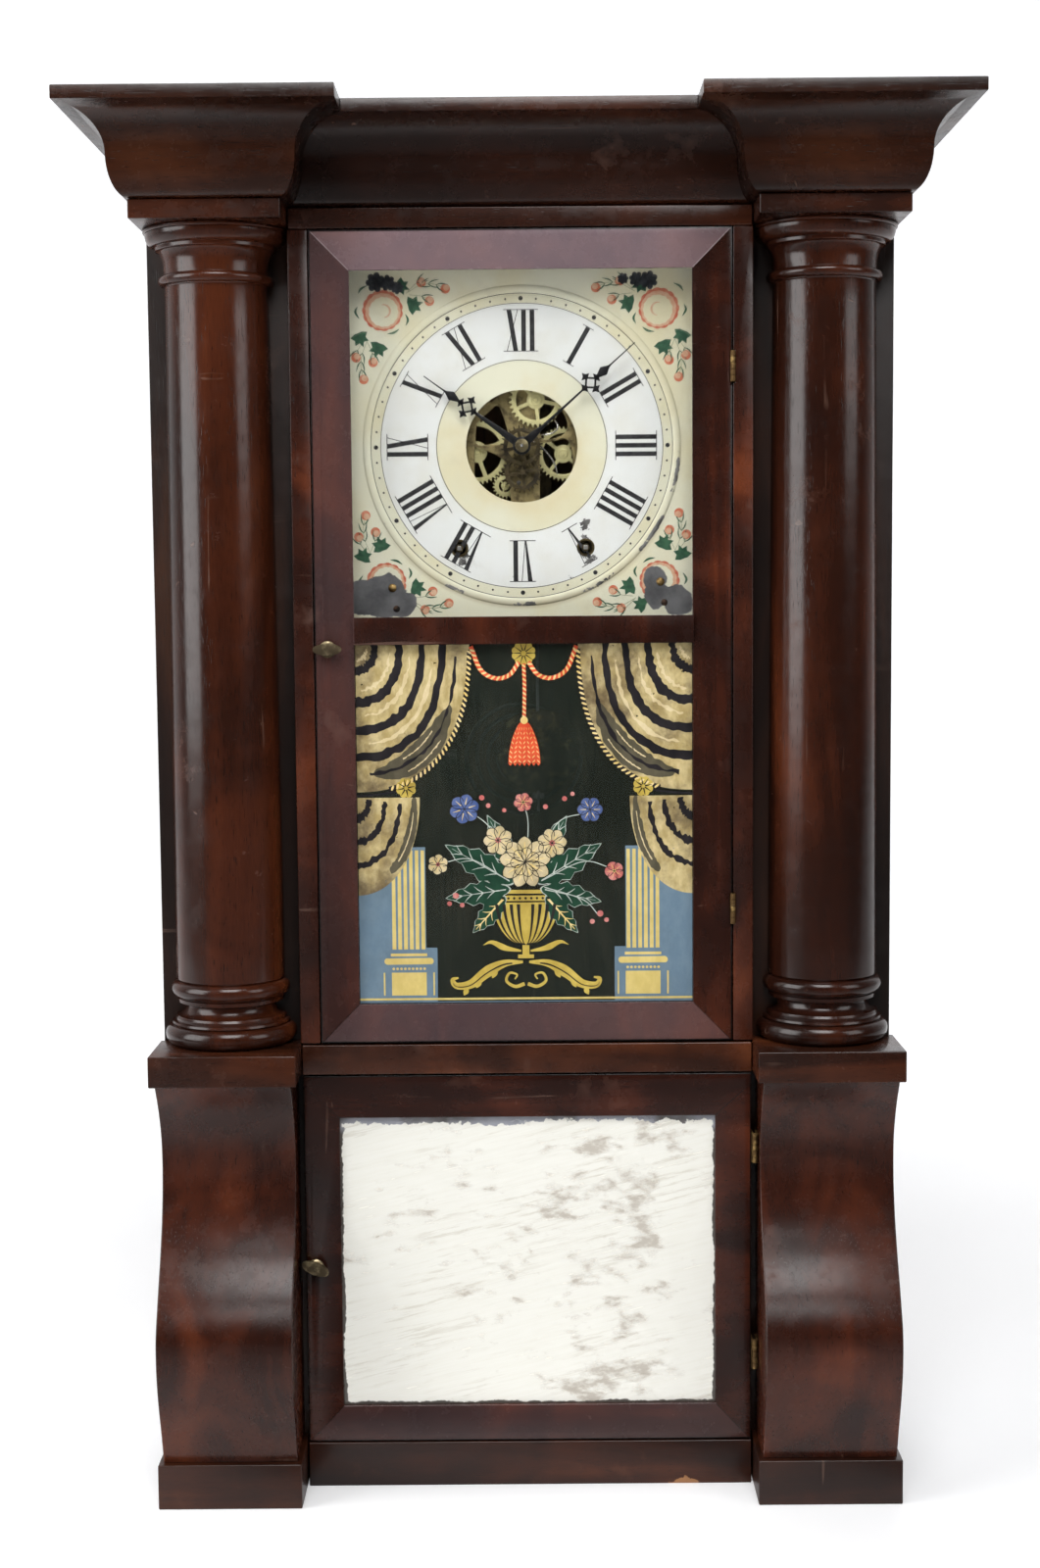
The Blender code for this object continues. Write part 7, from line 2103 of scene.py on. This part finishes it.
            ochre.ribbon(scroll, np.concatenate((np.linspace(1.6, 7.4, 14), np.linspace(7.2, 1.1, 30))))
            ochre.ribbon(curl, np.linspace(2.4, 0.9, 30))
            for share, reach in ((0.25, 6.5), (0.40, 6.0), (0.54, 5.2)):
                root = scroll[int(share * 43)] - (0.0, 2.0)
                ochre.patch(leaf_outline(root, -math.pi / 2 + side * 0.5, reach, 3.4))
            ink.ribbon(scroll[4:34] - (0.0, 0.6), np.linspace(0.9, 0.3, 30))
            ochre.ribbon(arm, np.concatenate((np.linspace(1.2, 3.9, 10), np.linspace(3.8, 0.3, 14))))

    def bouquet(self) -> None:
        """Leaves spread from the bowl's mouth with flowers and buds among them."""
        for leaf in LEAVES:
            self.leaf(*leaf)
        for stem in STEMS:
            self.painters["vein"].ribbon(bent(stem, 20), 0.6)
        for bloom in BLOOMS:
            self.bloom(*bloom)
        for x, z, radius in BUDS:
            self.painters["pink"].disc((x, z), radius, 14)

    def swag(self) -> None:
        """Two loops of twisted cord from a rosette at the top, and a tassel on a short cord."""
        scarlet, light = self.painters["scarlet"], self.painters["light"]
        self.rosette((0.0, 107.5), 7.6, 10, 0.14, 0.0, (1.6, 4.0, 6.6), (0.8, 0.55, 0.25))
        for side in (-1, 1):
            loop = np.array(((3, 102), (9, 94.0), (18, 92.0), (27, 97.5), (33.0, 112.0))) * (side, 1)
            self.twist(bent(loop, 60), 2.7, "scarlet", "light", 3.2)
        self.twist(bent([(0, 101), (0.4, 86), (0, 66)], 40), 2.3, "scarlet", "light", 2.9)
        level = np.linspace(0, 1, 18)
        half = 2.6 + 7.4 * np.sin(level * math.pi / 2) ** 0.75
        edge = np.column_stack((half, 64.0 - 25.0 * level))
        foot = edge[-1, 1]
        scarlet.strip(edge * (-1, 1), edge)
        light.disc((0.0, 65.5), 2.4, 18)
        for index in range(-3, 4):
            path = (edge * (index / 3.4, 1))[2:]
            lean = 0.64 if index % 2 else -0.64
            dash = np.array((
                (-0.62, lean - 0.45), (0.62, -lean - 0.45), (0.62, -lean + 0.35), (-0.62, lean + 0.35)))
            for start in range(0, 15, 2):
                light.patch(path[start:start + 2].mean(axis=0) + dash * (half[start] / 8.0, 1.0))
            first, middle, last = (half[-1] * (index + shift) / 3.4 for shift in (-0.5, 0.0, 0.5))
            scarlet.patch([(first, foot - 0.2), (middle, foot - 2.2), (last, foot - 0.2)])

    def build(self) -> None:
        """Paint every part, then make one piece for each colour."""
        for side in (-1, 1):
            self.pillar(side)
            self.curtain(side)
        self.box("pillar", -self.half_width, -111.6, self.half_width, -110.2)
        self.box("slate", -self.half_width, -113.2, self.half_width, -112.4)
        self.bowl()
        self.bouquet()
        self.swag()
        for painter, path, width in self.details + self.lines:
            painter.ribbon(path, width)
        for painter, centre, radius in self.hearts:
            painter.disc(centre, radius, 16)
        for tone, looks in TABLET_TONES.items():
            dress(self.painters[tone].piece(f"tablet_{tone}_work"), TabletPaint(f"tablet {tone}", *looks),
                  "upper_door", "painted_tablet")


# Gong and cords


@dataclass
class Gong:
    """A flat spiral of steel wire on a cast post."""

    centre: tuple = (-0.002, 0.0748, 0.462)
    wire: float = 0.0013
    turns: int = 4
    inner: float = 0.012
    pitch: float = 0.007
    post: float = 0.005
    wall: float = 0.0834

    def build(self) -> None:
        """Wind the spiral: its radius is the inner one plus the pitch times the turns made."""
        turn = np.linspace(0, self.turns, self.turns * 60 + 1)
        lead = np.linspace(0, self.inner, 10)[:-1]
        coil = (self.inner + self.pitch * turn)[:, None] * ways(FULL_TURN * turn)
        flat = np.concatenate((np.column_stack((lead, 0 * lead)), coil))
        path = np.column_stack((flat[:, 0], 0 * flat[:, 0], flat[:, 1])) + self.centre
        dress(tube("gong_wire", path, self.wire, 14),
              OldSteel("gong steel", (0.24, 0.23, 0.22), rust=0.45, rough=0.3), "case", "blued_steel", "gong")
        depth = self.wall - self.centre[1]
        post = turned("gong_post", [
            (0.0, -0.0040), (self.post * 0.7, -0.0040), (self.post * 0.9, -0.0034), (self.post, -0.0020),
            (self.post, depth - 0.0030), (self.post * 1.25, depth - 0.0022), (self.post * 1.25, depth),
            (0.0, depth)], self.centre, 40)
        dress(post, OldSteel("gong casting", (0.05, 0.047, 0.045), rust=0.5, metal=0.6, rough=0.55, cast=0.5),
              "case", "cast_iron", "gong")


@dataclass
class WeightCord:
    """One train's cord: up from the weight, over its pulley and down to the drum."""

    side: int
    word: str
    radius: float = 0.0011
    gap: float = 0.0003
    depth: float = 0.0338
    pulley: tuple = (0.150, 0.832)
    groove: float = 0.016
    drum: tuple = (0.0398, 0.5988)
    drum_radius: float = 0.016
    weight_top: float = 0.494
    lay: float = 0.0105
    arc_steps: int = 12

    def route(self) -> Array:
        """The centreline: the weight's eye, an arc over the pulley, and the tangent to the drum."""
        over = self.radius + self.gap
        start, end = np.array(self.pulley), np.array(self.drum)
        span = np.linalg.norm(end - start)
        line = (end - start) / span
        tilt = (self.groove - self.drum_radius) / span
        normal = line * tilt + np.array((line[1], -line[0])) * math.sqrt(1 - tilt * tilt)
        angle = np.linspace(0, math.atan2(normal[1], normal[0]), self.arc_steps * 4 + 1)
        points = np.concatenate((
            [(self.pulley[0] + self.groove + over, self.weight_top + self.gap)],
            start + (self.groove + over) * ways(angle), [end + normal * (self.drum_radius + over)]))
        return np.column_stack((self.side * points[:, 0], np.full(len(points), self.depth), points[:, 1]))

    def build(self) -> None:
        """Lay the strands: the radius bulges three times round a section that turns along the run."""
        route = self.route()
        run = run_of(route)
        at = np.linspace(0, run[-1], int(run[-1] / 0.0009))
        path = placed(at, run, route)
        ahead = along(path)
        first = np.broadcast_to((0.0, 1.0, 0.0), ahead.shape)
        second = np.cross(ahead, first)
        angle = np.linspace(0, FULL_TURN, 15, endpoint=False)
        twist = angle - at[:, None] * FULL_TURN / self.lay
        swell = self.radius * (0.90 + 0.10 * np.cos(3 * twist))
        across, up = ways(angle).T[:, None, :, None]
        grid = path[:, None] + swell[..., None] * (across * first[:, None] + up * second[:, None])
        piece = surface(f"{self.word}_cord_laid", grid, caps=True, sharp=60.0)
        piece.data.materials.append(Cord().material())
        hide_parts(f"{self.word}_cord")
        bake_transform(piece)


# Studio


@dataclass(frozen=True)
class PaleFloor(Finish):
    """Pale matt paper, seen a little brighter by the camera so that it meets the white wall."""

    name: str = "pale floor"

    def look(self, sheet: NodeSheet, place: Signal) -> dict[str, object]:
        """Off-white with faint smudges, plus a low light for the camera and for reflections."""
        ray = sheet.outputs(sheet.node("ShaderNodeLightPath"))
        depth = sheet.split(place)[1]
        away = sheet.add("ShaderNodeVectorMath", {0: place}, "Value", operation="LENGTH")
        paper = sheet.mix(sheet.noise(place, 5.0, 4.0).span(0.3, 0.8), (0.86, 0.86, 0.87), (0.82, 0.82, 0.83))
        seen = ray["Is Camera Ray"].most(ray["Is Transmission Ray"]) * away.span(0.45, 1.9, 0.20, 0.62)
        mirrored_in = ray["Is Glossy Ray"] * depth.span(-0.6, 0.1, 0.88, 0.0)
        return {
            "Base Color": sheet.mix(mirrored_in, paper, (0.02, 0.02, 0.02)),
            "Roughness": 0.6, "Emission Color": (0.98, 0.985, 1.0),
            "Emission Strength": seen + ray["Is Glossy Ray"] * depth.span(0.0, 1.4, 0.0, 0.5)}


@dataclass
class Studio:
    """Pale floor and backdrop, soft lamps, and the camera where the photograph was taken."""

    camera_place: tuple = (-0.0002, -1.3605, 0.5689)
    pitch: float = -0.0872
    yaw: float = 0.0020
    roll: float = -0.0086
    lens: float = 49.5
    aim: tuple = (0.0, 0.0, 0.45)
    lamps: tuple = (
        ("left softbox", (-2.0, -0.9, 1.2), 1.5, 44.0),
        ("right softbox", (2.0, -1.3, 1.5), 1.2, 16.0),
        ("front softbox", (0.0, -2.0, 3.0), 1.6, 84.0),
        ("rim softbox", (0.0, 1.6, 2.6), 1.4, 14.0))

    def build(self) -> None:
        """Make the floor sweep, the world, the lamps and the camera."""
        self.floor()
        self.world()
        for name, place, size, power in self.lamps:
            lamp = bpy.data.lights.new(name, "AREA")
            lamp.shape = "RECTANGLE"
            lamp.size = size
            lamp.size_y = size * 1.2
            lamp.energy = power
            holder = linked(name, lamp)
            holder.location = place
            holder.rotation_euler = (Vector(self.aim) - Vector(place)).to_track_quat("-Z", "Y").to_euler()
        camera = bpy.data.cameras.new("camera")
        camera.sensor_fit = "VERTICAL"
        camera.sensor_height = 36.0
        camera.lens = self.lens
        camera.clip_start = 0.01
        holder = linked("camera", camera)
        turn = (Matrix.Rotation(self.yaw, 4, "Z") @ Matrix.Rotation(math.pi / 2 + self.pitch, 4, "X")
                @ Matrix.Rotation(self.roll, 4, "Z"))
        holder.matrix_world = Matrix.Translation(self.camera_place) @ turn
        bpy.context.scene.camera = holder
        bpy.context.scene.view_settings.view_transform = "Standard"

    def floor(self) -> None:
        """A floor that sweeps up into a wall: a straight run, a quarter turn and a straight rise."""
        turn = np.linspace(0, math.pi / 2, 24)[1:]
        bend, reach, rise = 0.9, 2.6, 4.0
        section = np.concatenate((
            [(-4.5, 0.0), (reach, 0.0)],
            np.column_stack((reach + bend * np.sin(turn), bend * (1 - np.cos(turn)))),
            [(reach + bend, bend + rise)]))
        grid = np.stack(np.broadcast_arrays(np.array((-5.0, 5.0)), section[:, :1], section[:, 1:]), axis=-1)
        sweep = make_piece("floor_sweep", grid, grid_faces(len(section), 2)[:, ::-1])
        sweep.data.materials.append(PaleFloor().material())

    def world(self) -> None:
        """White to the camera, brighter behind the clock than in front of it to everything else."""
        world = bpy.data.worlds.new("studio")
        world.use_nodes = True
        bpy.context.scene.world = world
        sheet = NodeSheet(world.node_tree)
        x, y, _ = sheet.split(sheet.add("ShaderNodeTexCoord", output="Generated"))
        lit = y.span(-0.2, 0.75, 0.03, 0.95) * x.span(-0.9, 0.9, 1.0, 0.55)
        strength = lit.most(sheet.add("ShaderNodeLightPath", output="Is Camera Ray"))
        sheet.node("ShaderNodeOutputWorld", {"Surface": sheet.add(
            "ShaderNodeBackground", {"Color": (0.985, 0.99, 1.0), "Strength": strength})})


# Main


def main() -> None:
    """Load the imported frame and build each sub-assembly."""
    logging.basicConfig(level=logging.INFO, format="%(name)s: %(message)s")
    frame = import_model()
    shop = Shop(frame)
    Studio().build()
    for side, word in ((1, "time"), (-1, "strike")):
        WeightCord(side, word).build()
    for boards in (CaseBoards, FaceFrame, FrontBlocks):
        boards(shop).build()
    for side, word in SIDES:
        HalfColumn(side, word).build()
        ScrollBracket(side, word).build()
    Cornice().build()
    Doors(shop).build()
    Works(shop).build()
    Dial().build()
    Hand("minute_hand", 0.0950, 0.0579, 0.0689, 48.4, 0.0009, 0.0010).build()
    Hand("hour_hand", 0.0750, 0.0418, 0.0540, 305.6, 0.0034, 0.0017).build()
    MovementFront().build()
    Tablet().build()
    Gong().build()


if __name__ == "__main__":
    main()
